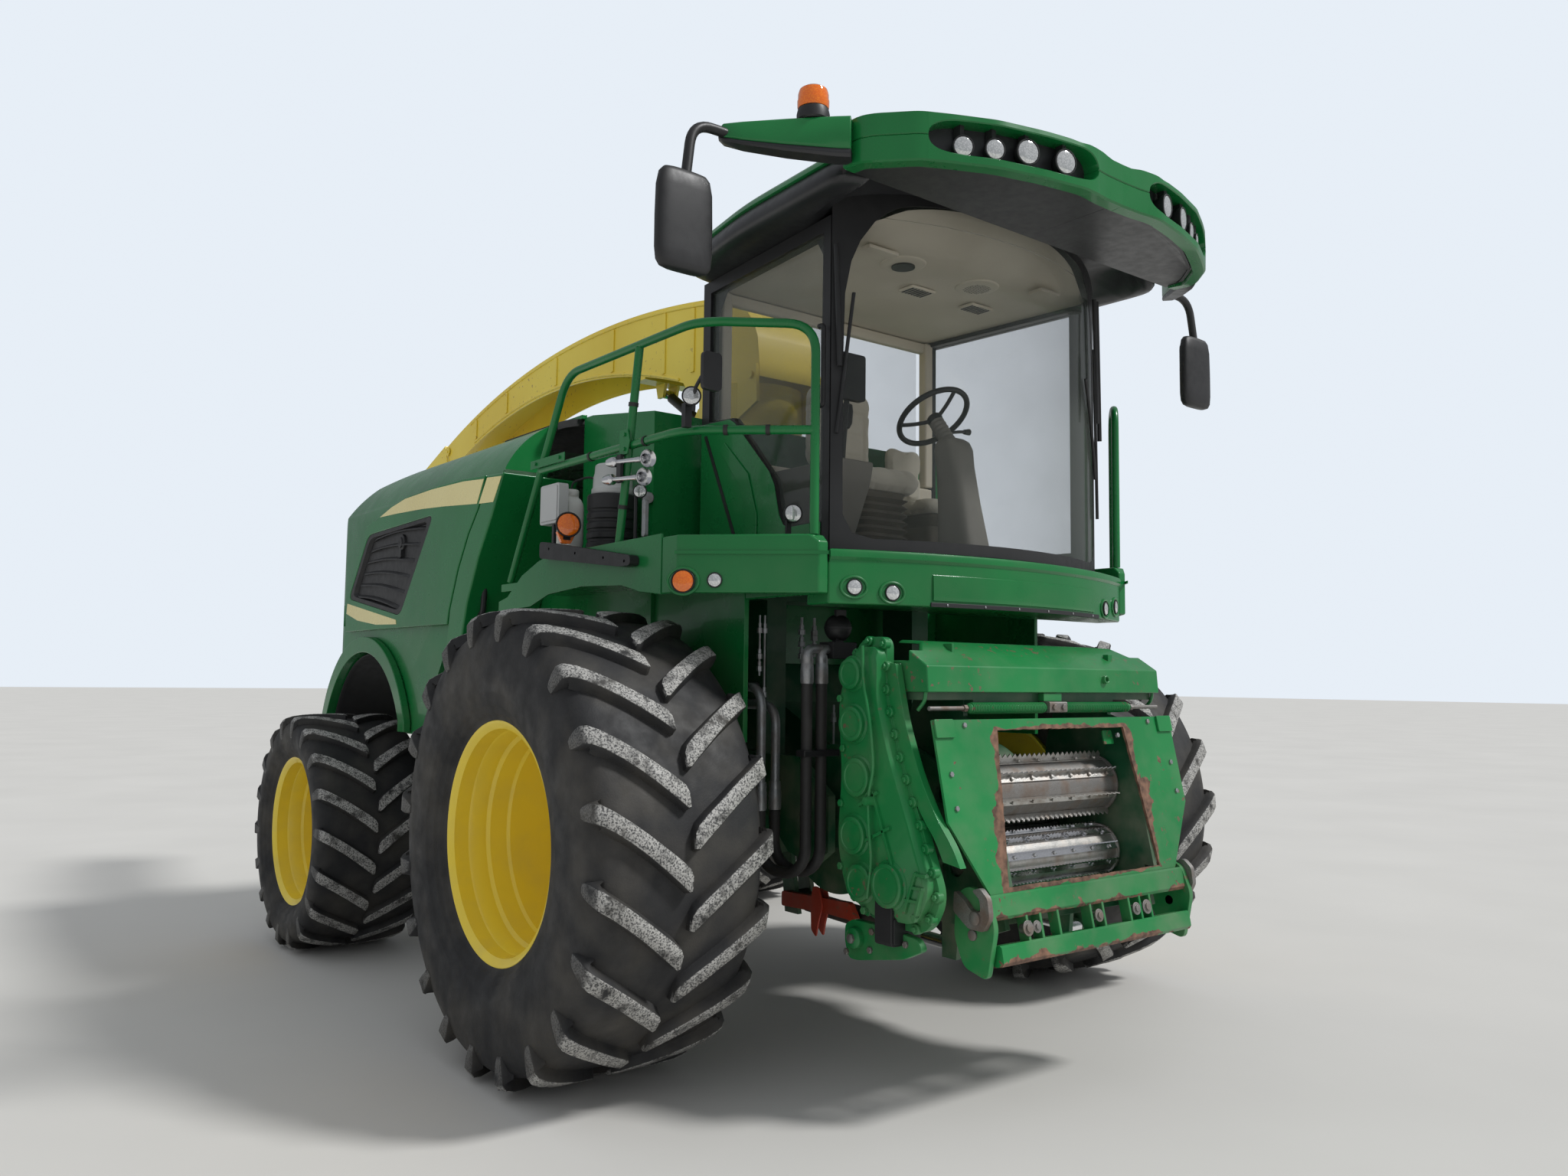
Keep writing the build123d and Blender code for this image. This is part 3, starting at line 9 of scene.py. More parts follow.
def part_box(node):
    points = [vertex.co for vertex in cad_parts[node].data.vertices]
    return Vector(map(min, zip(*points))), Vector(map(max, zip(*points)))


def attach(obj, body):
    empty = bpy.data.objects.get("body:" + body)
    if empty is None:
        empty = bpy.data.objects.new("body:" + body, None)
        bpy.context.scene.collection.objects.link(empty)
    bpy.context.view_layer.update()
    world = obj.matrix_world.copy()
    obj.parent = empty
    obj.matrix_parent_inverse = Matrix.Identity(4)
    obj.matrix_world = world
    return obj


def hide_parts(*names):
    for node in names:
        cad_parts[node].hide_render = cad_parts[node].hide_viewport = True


# Forage harvester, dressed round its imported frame. Metres, +Z up, front to -Y, the machine's right side to -X.
# Shapes count y from the front axle and z from the ground, and putPiece moves them to the frame's own origin.
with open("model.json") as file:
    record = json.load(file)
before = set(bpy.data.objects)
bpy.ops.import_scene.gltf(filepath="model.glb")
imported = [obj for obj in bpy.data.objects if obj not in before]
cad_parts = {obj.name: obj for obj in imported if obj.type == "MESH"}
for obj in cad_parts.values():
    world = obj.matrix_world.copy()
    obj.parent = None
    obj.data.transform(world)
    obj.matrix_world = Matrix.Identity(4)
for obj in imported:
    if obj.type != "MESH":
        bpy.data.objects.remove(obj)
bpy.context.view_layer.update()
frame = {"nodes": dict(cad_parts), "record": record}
rimLow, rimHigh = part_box("front_rim_right")
axleY = (rimLow.y + rimHigh.y) / 2
print("frame loaded,", len(frame["nodes"]), "nodes")


# Shader helpers: each adds a node or two and hands back the output
def newFinish(name):
    finish = bpy.data.materials.new(name)
    finish.use_nodes = True
    return finish, finish.node_tree, finish.node_tree.nodes["Principled BSDF"]


def noiseOf(tree, scale, detail=4.0, stretch=(1, 1, 1)):
    where = tree.nodes.new("ShaderNodeTexCoord")
    mapping = tree.nodes.new("ShaderNodeMapping")
    mapping.inputs["Scale"].default_value = stretch
    noise = tree.nodes.new("ShaderNodeTexNoise")
    noise.inputs["Scale"].default_value = scale
    noise.inputs["Detail"].default_value = detail
    tree.links.new(where.outputs["Object"], mapping.inputs["Vector"])
    tree.links.new(mapping.outputs["Vector"], noise.inputs["Vector"])
    return noise.outputs["Fac"]


def spread(tree, value, low, high, start=0.0, end=1.0):      # value between low and high becomes start to end
    node = tree.nodes.new("ShaderNodeMapRange")
    for socket, number in zip(node.inputs[1:5], (low, high, start, end)):
        socket.default_value = number
    tree.links.new(value, node.inputs[0])
    return node.outputs["Result"]


def combine(tree, operation, first, second):
    node = tree.nodes.new("ShaderNodeMath")
    node.operation = operation
    for socket, value in zip(node.inputs, (first, second)):
        if isinstance(value, (int, float)):
            socket.default_value = value
        else:
            tree.links.new(value, socket)
    return node.outputs[0]


def blendOf(tree, mask, first, second):                      # a colour that goes from first to second with the mask
    node = tree.nodes.new("ShaderNodeMix")
    node.data_type = "RGBA"
    tree.links.new(mask, node.inputs[0])
    for socket, value in ((node.inputs[6], first), (node.inputs[7], second)):
        if isinstance(value, tuple):
            socket.default_value = (*value, 1)
        else:
            tree.links.new(value, socket)
    return node.outputs[2]


def placeOf(tree, axis):                                     # the object's own x, y or z
    where = tree.nodes.new("ShaderNodeTexCoord")
    split = tree.nodes.new("ShaderNodeSeparateXYZ")
    tree.links.new(where.outputs["Object"], split.inputs[0])
    return split.outputs["XYZ".index(axis)]


def attributeOf(tree, name):
    node = tree.nodes.new("ShaderNodeAttribute")
    node.attribute_name = name
    return node.outputs["Fac"]


def bumpOf(tree, shader, height, strength, distance=0.01):
    node = tree.nodes.new("ShaderNodeBump")
    node.inputs["Strength"].default_value = strength
    node.inputs["Distance"].default_value = distance
    tree.links.new(height, node.inputs["Height"])
    tree.links.new(node.outputs["Normal"], shader.inputs["Normal"])


# Paint: two shades drift into each other, dust gathers low down and chips show what is under the paint
def paintFinish(name, look):
    finish, tree, shader = newFinish(name)
    drift = spread(tree, noiseOf(tree, 1.3, 3), 0.35, 0.65)
    colour = blendOf(tree, drift, look["deep"], look["colour"])
    low = spread(tree, placeOf(tree, "Z"), 2.4, 0.3)
    dust = combine(tree, "MULTIPLY", spread(tree, noiseOf(tree, 5.5, 8), 0.42, 0.75), low)
    dust = combine(tree, "MULTIPLY", dust, look["dust"])
    colour = blendOf(tree, dust, colour, (0.30, 0.26, 0.20))
    chips = spread(tree, noiseOf(tree, 34, 6), 0.74 - 0.12 * look["chips"], 0.76 - 0.12 * look["chips"])
    chips = combine(tree, "MULTIPLY", chips, spread(tree, noiseOf(tree, 2.2, 2), 0.5, 0.62))
    colour = blendOf(tree, combine(tree, "MULTIPLY", chips, min(look["chips"], 1.0)), colour, look["under"])
    rough = combine(tree, "ADD", spread(tree, noiseOf(tree, 9, 5), 0.3, 0.7, look["rough"], look["rough"] + 0.1),
                    combine(tree, "MULTIPLY", dust, 0.5))
    if look.get("worn"):                   # the worn attribute, broken up by noise, lays the rusty steel bare
        torn = combine(tree, "ADD", attributeOf(tree, "worn"), spread(tree, noiseOf(tree, look["worn"], 7), 0.3, 0.7, -0.5, 0.5))
        bare = spread(tree, torn, 0.52, 0.545)
        rust = blendOf(tree, spread(tree, noiseOf(tree, 30, 6), 0.35, 0.65), (0.085, 0.048, 0.032), (0.240, 0.130, 0.082))
        colour = blendOf(tree, bare, colour, rust)
        rough = combine(tree, "ADD", rough, combine(tree, "MULTIPLY", bare, 0.45))
    tree.links.new(colour, shader.inputs["Base Color"])
    tree.links.new(rough, shader.inputs["Roughness"])
    shader.inputs["Coat Weight"].default_value = look["coat"]
    shader.inputs["Coat Roughness"].default_value = 0.06
    shader.inputs["Specular IOR Level"].default_value = 0.38
    bumpOf(tree, shader, noiseOf(tree, 60, 2), 0.012 + 0.05 * look["chips"], 0.004)
    return finish


# Plastic and rubber: a fine moulded grain under a slow change of tone
def plasticFinish(name, look):
    finish, tree, shader = newFinish(name)
    drift = spread(tree, noiseOf(tree, 3.0, 4), 0.35, 0.7)
    colour = blendOf(tree, drift, look["deep"], look["colour"])
    tree.links.new(colour, shader.inputs["Base Color"])
    tree.links.new(spread(tree, noiseOf(tree, 25, 4), 0.3, 0.7, look["rough"], look["rough"] + 0.12),
                   shader.inputs["Roughness"])
    bumpOf(tree, shader, noiseOf(tree, look["grain"], 3), look["relief"], 0.002)
    return finish


# Bare metal: long drawn scratches along one axis and stained patches
def metalFinish(name, look):
    finish, tree, shader = newFinish(name)
    stain = spread(tree, noiseOf(tree, 14, 8), 0.45, 0.72)
    stain = combine(tree, "MULTIPLY", stain, look["stain"])
    scratch = noiseOf(tree, 90, 3, look["brush"])
    colour = blendOf(tree, spread(tree, scratch, 0.3, 0.7), look["deep"], look["colour"])
    tree.links.new(blendOf(tree, stain, colour, look["rust"]), shader.inputs["Base Color"])
    shader.inputs["Metallic"].default_value = look["metal"]
    rough = combine(tree, "ADD", spread(tree, scratch, 0.3, 0.7, look["rough"], look["rough"] + 0.12),
                    combine(tree, "MULTIPLY", stain, 0.4))
    tree.links.new(rough, shader.inputs["Roughness"])
    bumpOf(tree, shader, scratch, 0.12, 0.002)
    return finish


# Tyre rubber: the wear attribute is 1 on the lug faces, which are scuffed grey with black pits; dust lies on the rest
def tyreFinish():
    look = dict(rubber=(0.018, 0.018, 0.019), dusty=(0.055, 0.050, 0.042), scuff=(0.42, 0.41, 0.385),
                pit=(0.06, 0.06, 0.06), speckle=140.0)
    finish, tree, shader = newFinish("worn tyre rubber")
    body = blendOf(tree, spread(tree, noiseOf(tree, 4.5, 7), 0.42, 0.72), look["rubber"], look["dusty"])
    speckle = spread(tree, noiseOf(tree, look["speckle"], 3), 0.38, 0.56)
    scuffed = blendOf(tree, speckle, look["pit"], look["scuff"])
    patch = spread(tree, noiseOf(tree, 16, 5), 0.30, 0.48)
    mask = combine(tree, "MULTIPLY", spread(tree, attributeOf(tree, "wear"), 0.35, 0.75), patch)
    tree.links.new(blendOf(tree, mask, body, scuffed), shader.inputs["Base Color"])
    tree.links.new(spread(tree, noiseOf(tree, 12, 4), 0.3, 0.7, 0.55, 0.8), shader.inputs["Roughness"])
    bumpOf(tree, shader, noiseOf(tree, 120, 3), 0.25, 0.003)
    return finish


# Window glass: nearly clear face on, and mirror-like at a glancing angle
def glassFinish(name, look):
    finish, tree, shader = newFinish(name)
    weight = tree.nodes.new("ShaderNodeLayerWeight")
    weight.inputs["Blend"].default_value = 0.35
    film = spread(tree, noiseOf(tree, 2.5, 4), 0.35, 0.75, 0.0, look["film"])
    alpha = combine(tree, "ADD", spread(tree, weight.outputs["Facing"], 0.0, 1.0, look["clear"], look["edge"]), film)
    tree.links.new(alpha, shader.inputs["Alpha"])
    tree.links.new(blendOf(tree, spread(tree, noiseOf(tree, 1.2, 2), 0.3, 0.7), look["deep"], look["colour"]),
                   shader.inputs["Base Color"])
    shader.inputs["Roughness"].default_value = 0.03
    shader.inputs["Specular IOR Level"].default_value = 0.9
    return finish


# Woven seat cloth: two crossed wave patterns give the weave's threads
def clothFinish(name, look):
    finish, tree, shader = newFinish(name)
    where = tree.nodes.new("ShaderNodeTexCoord")
    weave = None
    for direction in ("X", "Z"):
        wave = tree.nodes.new("ShaderNodeTexWave")
        wave.bands_direction = direction
        wave.inputs["Scale"].default_value = look["thread"]
        wave.inputs["Distortion"].default_value = 0.6
        tree.links.new(where.outputs["Object"], wave.inputs["Vector"])
        weave = wave.outputs["Fac"] if weave is None else combine(tree, "MAXIMUM", weave, wave.outputs["Fac"])
    colour = blendOf(tree, spread(tree, noiseOf(tree, 7, 5), 0.35, 0.7), look["deep"], look["colour"])
    tree.links.new(colour, shader.inputs["Base Color"])
    shader.inputs["Roughness"].default_value = 0.85
    shader.inputs["Sheen Weight"].default_value = 0.3
    bumpOf(tree, shader, weave, 0.3, 0.001)
    return finish


# Lamp lens: moulded flutes, with painted reflections: darker and lighter facets that stand for the reflector behind
# them
def lensFinish(name, look):
    finish, tree, shader = newFinish(name)
    facets = tree.nodes.new("ShaderNodeTexVoronoi")
    facets.inputs["Scale"].default_value = 150.0
    where = tree.nodes.new("ShaderNodeTexCoord")
    tree.links.new(where.outputs["Object"], facets.inputs["Vector"])
    colour = blendOf(tree, spread(tree, facets.outputs["Distance"], 0.1, 0.6), look["colour"], look["deep"])
    tree.links.new(colour, shader.inputs["Base Color"])
    shader.inputs["Roughness"].default_value = 0.08
    shader.inputs["Metallic"].default_value = look["metal"]
    shader.inputs["Coat Weight"].default_value = 1.0
    flutes = noiseOf(tree, 70, 1, (1.0, 0.15, 0.15))
    bumpOf(tree, shader, flutes, look["relief"], 0.004)
    return finish


paintLooks = {
    "bodyGreen": dict(colour=(0.008, 0.180, 0.042), deep=(0.006, 0.145, 0.034), rough=0.24, coat=0.28, dust=0.30,
                      chips=0.0, under=(0.08, 0.07, 0.06)),
    # The next two looks are the body green made lighter, painted light for the sunlit front of the feed unit; the
    # second also shows rust where worn
    "headGreenLit": dict(colour=(0.014, 0.235, 0.060), deep=(0.009, 0.180, 0.046), rough=0.30, coat=0.22, dust=0.35,
                      chips=1.0, under=(0.16, 0.10, 0.065)),
    "wornGreenLit": dict(colour=(0.014, 0.235, 0.060), deep=(0.009, 0.180, 0.046), rough=0.30, coat=0.22, dust=0.35,
                      chips=0.9, under=(0.16, 0.10, 0.065), worn=9.0),
    # This look is the body green made darker, painted shade for the frame and the parts under the machine, with heavier
    # dust
    "frameGreenShaded": dict(colour=(0.010, 0.105, 0.040), deep=(0.007, 0.075, 0.030), rough=0.40, coat=0.2, dust=0.75,
                       chips=0.4, under=(0.10, 0.07, 0.05)),
    "wheelYellow": dict(colour=(0.890, 0.690, 0.060), deep=(0.850, 0.635, 0.048), rough=0.32, coat=0.3, dust=0.22,
                        chips=0.15, under=(0.25, 0.16, 0.05)),
    "spoutYellow": dict(colour=(0.900, 0.700, 0.085), deep=(0.830, 0.610, 0.055), rough=0.35, coat=0.3, dust=0.30,
                        chips=0.8, under=(0.34, 0.20, 0.07)),
    "stripeCream": dict(colour=(0.870, 0.760, 0.340), deep=(0.830, 0.710, 0.300), rough=0.22, coat=0.6, dust=0.10,
                        chips=0.0, under=(0.3, 0.3, 0.2)),
    "frameBlack": dict(colour=(0.020, 0.020, 0.021), deep=(0.013, 0.013, 0.014), rough=0.38, coat=0.1, dust=0.55,
                       chips=0.3, under=(0.09, 0.08, 0.07)),
    "engineGrey": dict(colour=(0.060, 0.085, 0.062), deep=(0.040, 0.055, 0.042), rough=0.55, coat=0.0, dust=0.6,
                       chips=0.6, under=(0.12, 0.08, 0.05)),
    "lockRed": dict(colour=(0.480, 0.055, 0.025), deep=(0.360, 0.040, 0.020), rough=0.45, coat=0.1, dust=0.35,
                    chips=1.0, under=(0.20, 0.09, 0.05)),
    "boxGrey": dict(colour=(0.520, 0.530, 0.520), deep=(0.450, 0.455, 0.445), rough=0.40, coat=0.1, dust=0.2,
                    chips=0.1, under=(0.2, 0.2, 0.2)),
}
plasticLooks = {
    "trimBlack": dict(colour=(0.022, 0.022, 0.023), deep=(0.014, 0.014, 0.015), rough=0.42, grain=260.0, relief=0.10),
    "roofBlack": dict(colour=(0.028, 0.029, 0.031), deep=(0.018, 0.018, 0.020), rough=0.30, grain=420.0, relief=0.08),
    "hoseRubber": dict(colour=(0.020, 0.020, 0.020), deep=(0.030, 0.028, 0.026), rough=0.55, grain=150.0, relief=0.20),
    "linerBeige": dict(colour=(0.740, 0.680, 0.560), deep=(0.660, 0.600, 0.485), rough=0.70, grain=320.0, relief=0.12),
    "consoleGrey": dict(colour=(0.230, 0.215, 0.185), deep=(0.180, 0.168, 0.145), rough=0.60, grain=320.0, relief=0.15),
    "bellowsBrown": dict(colour=(0.175, 0.150, 0.118), deep=(0.120, 0.102, 0.080), rough=0.75, grain=120.0,
                         relief=0.15),
    "bottleWhite": dict(colour=(0.740, 0.740, 0.700), deep=(0.640, 0.640, 0.590), rough=0.40, grain=90.0, relief=0.05),
}
metalLooks = {
    "rollSteel": dict(colour=(0.62, 0.61, 0.58), deep=(0.42, 0.41, 0.39), rust=(0.22, 0.13, 0.07), stain=0.55,
                      metal=0.9, rough=0.26, brush=(1.0, 12.0, 12.0)),
    "chrome": dict(colour=(0.82, 0.82, 0.83), deep=(0.66, 0.66, 0.68), rust=(0.40, 0.38, 0.35), stain=0.12, metal=1.0,
                   rough=0.10, brush=(1.0, 8.0, 8.0)),
    "castSteel": dict(colour=(0.30, 0.29, 0.275), deep=(0.20, 0.19, 0.18), rust=(0.20, 0.12, 0.07), stain=0.6,
                      metal=0.7, rough=0.45, brush=(3.0, 3.0, 3.0)),
    "pipeSteel": dict(colour=(0.42, 0.43, 0.44), deep=(0.30, 0.31, 0.32), rust=(0.20, 0.13, 0.08), stain=0.4,
                      metal=0.8, rough=0.35, brush=(4.0, 4.0, 1.0)),
}
finishes = {name: paintFinish(name, look) for name, look in paintLooks.items()}
finishes.update({name: plasticFinish(name, look) for name, look in plasticLooks.items()})
finishes.update({name: metalFinish(name, look) for name, look in metalLooks.items()})
finishes["tyre"] = tyreFinish()
finishes["cabGlass"] = glassFinish("cabGlass", dict(colour=(0.10, 0.115, 0.10), deep=(0.07, 0.085, 0.075), clear=0.05,
                                                    edge=0.60, film=0.03))
# The mirror glass and the lamp lenses take the lens finish, whose darker and lighter facets are painted reflections
finishes["mirrorGlass"] = lensFinish("mirrorGlass", dict(colour=(0.62, 0.66, 0.70), deep=(0.55, 0.60, 0.64), metal=1.0,
                                                         relief=0.0))
finishes["seatCloth"] = clothFinish("seatCloth", dict(colour=(0.64, 0.60, 0.50), deep=(0.54, 0.50, 0.41),
                                                      thread=90.0))
finishes["clearLens"] = lensFinish("clearLens", dict(colour=(0.90, 0.90, 0.89), deep=(0.60, 0.61, 0.61), metal=0.55,
                                                     relief=0.35))
finishes["amberLens"] = lensFinish("amberLens", dict(colour=(0.95, 0.24, 0.01), deep=(0.80, 0.15, 0.005), metal=0.0,
                                                     relief=0.30))
print("finishes made:", len(finishes))


# Shapes are (points, faces): an (n, 3) array and a list of index arrays, one array for each number of corners
def gridFaces(rows, columns, roundRows=False, roundColumns=False):      # quads between neighbours on a grid
    i = np.arange(rows if roundRows else rows - 1)
    j = np.arange(columns if roundColumns else columns - 1)
    i, j = np.meshgrid(i, j, indexing="ij")
    nextI, nextJ = (i + 1) % rows, (j + 1) % columns
    return np.stack([i * columns + j, i * columns + nextJ, nextI * columns + nextJ, nextI * columns + j],
                    -1).reshape(-1, 4)


def surfaceOf(points, roundRows=False, roundColumns=False, caps=False):   # a grid of points, with end caps if asked
    rows, columns = points.shape[:2]
    faces = [gridFaces(rows, columns, roundRows, roundColumns)]
    if caps:
        faces.append(np.array([np.arange(columns)[::-1], np.arange(columns) + (rows - 1) * columns]))
    return points.reshape(-1, 3), faces


def joined(*shapes):
    points, faces, start = [], [], 0
    for shapePoints, shapeFaces in shapes:
        points.append(shapePoints)
        faces += [part + start for part in shapeFaces]
        start += len(shapePoints)
    return np.concatenate(points), faces


def mirrored(shape):                       # the same shape on the machine's other side
    points, faces = shape
    return points * (-1, 1, 1), [part[:, ::-1] for part in faces]


def bothSides(shape):
    return joined(shape, mirrored(shape))


def across(direction):                     # two directions square to the one given
    direction = np.asarray(direction, float) / np.linalg.norm(direction)
    side = np.cross(direction, (0, 0, 1.0) if abs(direction[2]) < 0.9 else (1.0, 0, 0))
    side /= np.linalg.norm(side)
    return direction, side, np.cross(direction, side)


# Lathe: each (along, radius) of the profile goes round the axis, place = origin + along d + radius (cos a s + sin a u)
def lathe(profile, origin, direction, steps=32, closeEnds=True):
    along, radius = np.asarray(profile, float).T
    direction, side, up = across(direction)
    angle = np.linspace(0, 2 * np.pi, steps, endpoint=False)
    ring = np.cos(angle)[:, None] * side + np.sin(angle)[:, None] * up
    points = np.asarray(origin, float) + along[:, None, None] * direction + radius[:, None, None] * ring
    return surfaceOf(points, roundColumns=True, caps=closeEnds)


# Tube: a circle carried along the path, turned by one direction that the path never takes
def tubeOf(path, radius, sides=12, closed=False):
    path = np.asarray(path, float)
    if closed:
        tangent = np.roll(path, -1, 0) - np.roll(path, 1, 0)
    else:
        tangent = np.gradient(path, axis=0)
    tangent /= np.linalg.norm(tangent, axis=1)[:, None]
    upright = np.linalg.svd(tangent, full_matrices=True)[2][-1]
    side = np.cross(tangent, upright)
    side /= np.linalg.norm(side, axis=1)[:, None]
    up = np.cross(tangent, side)
    angle = np.linspace(0, 2 * np.pi, sides, endpoint=False)
    radius = np.broadcast_to(np.asarray(radius, float), len(path))[:, None, None]
    points = path[:, None] + radius * (np.cos(angle)[:, None] * side[:, None] + np.sin(angle)[:, None] * up[:, None])
    return surfaceOf(points, roundRows=closed, roundColumns=True, caps=not closed)


# Bend: each inner corner p becomes the curve (1-s)^2 a + 2 s (1-s) p + s^2 b, with a and b on its two runs
def softPath(corners, reach, steps=7):
    corners = np.asarray(corners, float)
    before, here, after = corners[:-2], corners[1:-1], corners[2:]
    runIn = np.linalg.norm(here - before, axis=1)
    runOut = np.linalg.norm(after - here, axis=1)
    cut = np.minimum(reach, np.minimum(runIn, runOut) * 0.49)[:, None]
    start = here - (here - before) / runIn[:, None] * cut
    end = here + (after - here) / runOut[:, None] * cut
    s = np.linspace(0, 1, steps)[None, :, None]
    bend = (1 - s) ** 2 * start[:, None] + 2 * s * (1 - s) * here[:, None] + s ** 2 * end[:, None]
    return np.concatenate([corners[:1], bend.reshape(-1, corners.shape[1]), corners[-1:]])


# Prism: an outline in the plane square to the axis, pushed from low to high along it
def prism(outline, low, high, axis="x"):
    outline = np.asarray(outline, float)
    ring = np.insert(outline, "xyz".index(axis), 0.0, axis=1)
    shift = np.zeros((2, 1, 3))
    shift[:, 0, "xyz".index(axis)] = (low, high)
    return surfaceOf(ring[None] + shift, roundColumns=True, caps=True)


# Slab: an outline of (along, up) points on a plane, pushed by the thickness along the plane's outward normal
def slab(outline, origin, along, up, thick):
    outline = np.asarray(outline, float)
    along, up = (np.asarray(v, float) / np.linalg.norm(v) for v in (along, up))
    ring = np.asarray(origin, float) + outline[:, :1] * along + outline[:, 1:] * up
    return surfaceOf(np.stack([ring, ring + np.cross(along, up) * thick]), roundColumns=True, caps=True)


def roundRing(corners, reach, steps=6):    # a closed outline with soft corners
    corners = np.asarray(corners, float)
    start = (corners[:1] + corners[-1:]) / 2
    return softPath(np.concatenate([start, corners, start]), reach, steps)[:-1]


# Ring: a frame between an outline and the same outline drawn towards its middle, as a closed loop of four-sided bars
def frameOf(outline, inner, low, high, axis="x"):
    outline, inner = np.asarray(outline, float), np.asarray(inner, float)
    index = "xyz".index(axis)
    rows = [np.insert(ring, index, place, axis=1) for ring, place in
            ((outline, low), (outline, high), (inner, high), (inner, low))]
    return surfaceOf(np.stack(rows), roundRows=True, roundColumns=True)


# Stack: level rings (x, y, z, half x, half y), each a superellipse |u|^p + |v|^p = 1, with closed ends
def stackOf(rows, power=4.0, sides=32):
    rows = np.asarray(rows, float)
    angle = np.linspace(0, 2 * np.pi, sides, endpoint=False) + np.pi / sides
    cosine, sine = np.cos(angle), np.sin(angle)
    u = np.sign(cosine) * np.abs(cosine) ** (2 / power)
    v = np.sign(sine) * np.abs(sine) ** (2 / power)
    points = np.stack([rows[:, :1] + rows[:, 3:4] * u, rows[:, 1:2] + rows[:, 4:5] * v,
                       np.broadcast_to(rows[:, 2:3], (len(rows), sides))], -1)
    return surfaceOf(points, roundColumns=True, caps=True)


def blocks(corners):                       # boxes from rows of low x, y, z, high x, y, z
    corners = np.asarray(corners, float).reshape(-1, 6)
    low, high = corners[:, None, :3], corners[:, None, 3:]
    pick = np.array([(0, 0, 0), (1, 0, 0), (1, 1, 0), (0, 1, 0), (0, 0, 1), (1, 0, 1), (1, 1, 1), (0, 1, 1)])[None]
    points = (low + pick * (high - low)).reshape(-1, 3)
    sides = np.array([(0, 3, 2, 1), (4, 5, 6, 7), (0, 1, 5, 4), (1, 2, 6, 5), (2, 3, 7, 6), (3, 0, 4, 7)])
    return points, [(sides[None] + 8 * np.arange(len(corners))[:, None, None]).reshape(-1, 4)]


# Bolts: a six-sided head with a bevelled top at each place, all pointing one way
def boltHeads(places, direction, radius=0.012, height=0.009, sides=6):
    places = np.asarray(places, float).reshape(-1, 3)
    direction, side, up = across(direction)
    angle = np.linspace(0, 2 * np.pi, sides, endpoint=False)
    ring = np.cos(angle)[:, None] * side + np.sin(angle)[:, None] * up
    rings = np.array([(-0.003, 1.0), (height * 0.8, 1.0), (height, 0.8)])
    local = rings[:, 0, None, None] * direction + radius * rings[:, 1, None, None] * ring
    points = places[:, None, None] + local[None]
    first = np.arange(len(places))[:, None, None] * 3 * sides
    walls = (gridFaces(3, sides, roundColumns=True)[None] + first).reshape(-1, 4)
    tops = (np.arange(sides)[None, None] + 2 * sides + first).reshape(-1, sides)
    return points.reshape(-1, 3), [walls, tops]


def circleOf(count, radius, centre=(0.0, 0.0), start=0.0):
    angle = np.linspace(0, 2 * np.pi, count, endpoint=False) + start
    return np.stack([centre[0] + radius * np.cos(angle), centre[1] + radius * np.sin(angle)], -1)


def newMesh(name, points, faces):
    mesh = bpy.data.meshes.new(name)
    corners = np.concatenate([part.ravel() for part in faces]).astype(np.int32)
    lengths = np.concatenate([np.full(len(part), part.shape[1]) for part in faces])
    starts = np.concatenate([[0], np.cumsum(lengths)[:-1]]).astype(np.int32)
    mesh.vertices.add(len(points))
    mesh.vertices.foreach_set("co", np.ascontiguousarray(points, np.float32).ravel())
    mesh.loops.add(len(corners))
    mesh.loops.foreach_set("vertex_index", corners)
    mesh.polygons.add(len(lengths))
    mesh.polygons.foreach_set("loop_start", starts)
    mesh.update(calc_edges=True)
    mesh.validate()
    return mesh


def tidyMesh(mesh, flatAngle=None, outward=True):      # merge doubles, clear flat seams, turn faces outwards
    work = bmesh.new()
    work.from_mesh(mesh)
    bmesh.ops.remove_doubles(work, verts=work.verts, dist=2e-5)
    if flatAngle:
        bmesh.ops.dissolve_limit(work, angle_limit=math.radians(flatAngle), verts=work.verts, edges=work.edges)
    if outward:
        bmesh.ops.recalc_face_normals(work, faces=work.faces)
    work.to_mesh(mesh)
    work.free()


def finishPiece(piece, finish, body, slotName, crease=35.0, bevel=0.0, wall=0.0, replaced=(), segments=2):
    mesh = piece.data
    mesh.materials.clear()
    mesh.materials.append(finishes[finish])
    mesh.shade_smooth()
    mesh.set_sharp_from_angle(angle=math.radians(crease))
    if wall:
        solid = piece.modifiers.new("wall", "SOLIDIFY")
        solid.thickness = abs(wall)
        solid.offset = -1 if wall > 0 else 1
        solid.use_even_offset = True
    if bevel:
        edge = piece.modifiers.new("edge", "BEVEL")
        edge.width = bevel
        edge.segments = segments
        edge.limit_method = "ANGLE"
        edge.angle_limit = math.radians(crease)
        edge.harden_normals = True
    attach(piece, body)
    if replaced:
        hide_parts(*replaced)
    return piece


def putPiece(name, shape, finish, body, slotName, closed=True, attribute=None, **more):
    points, faces = shape
    mesh = newMesh(name, np.asarray(points) + (0, axleY, 0), faces)
    if attribute is not None:
        mesh.attributes.new(attribute[0], "FLOAT", "POINT").data.foreach_set("value", np.float32(attribute[1]))
    else:
        tidyMesh(mesh, outward=closed)
    piece = bpy.data.objects.new(name, mesh)
    bpy.context.scene.collection.objects.link(piece)
    return finishPiece(piece, finish, body, slotName, **more)


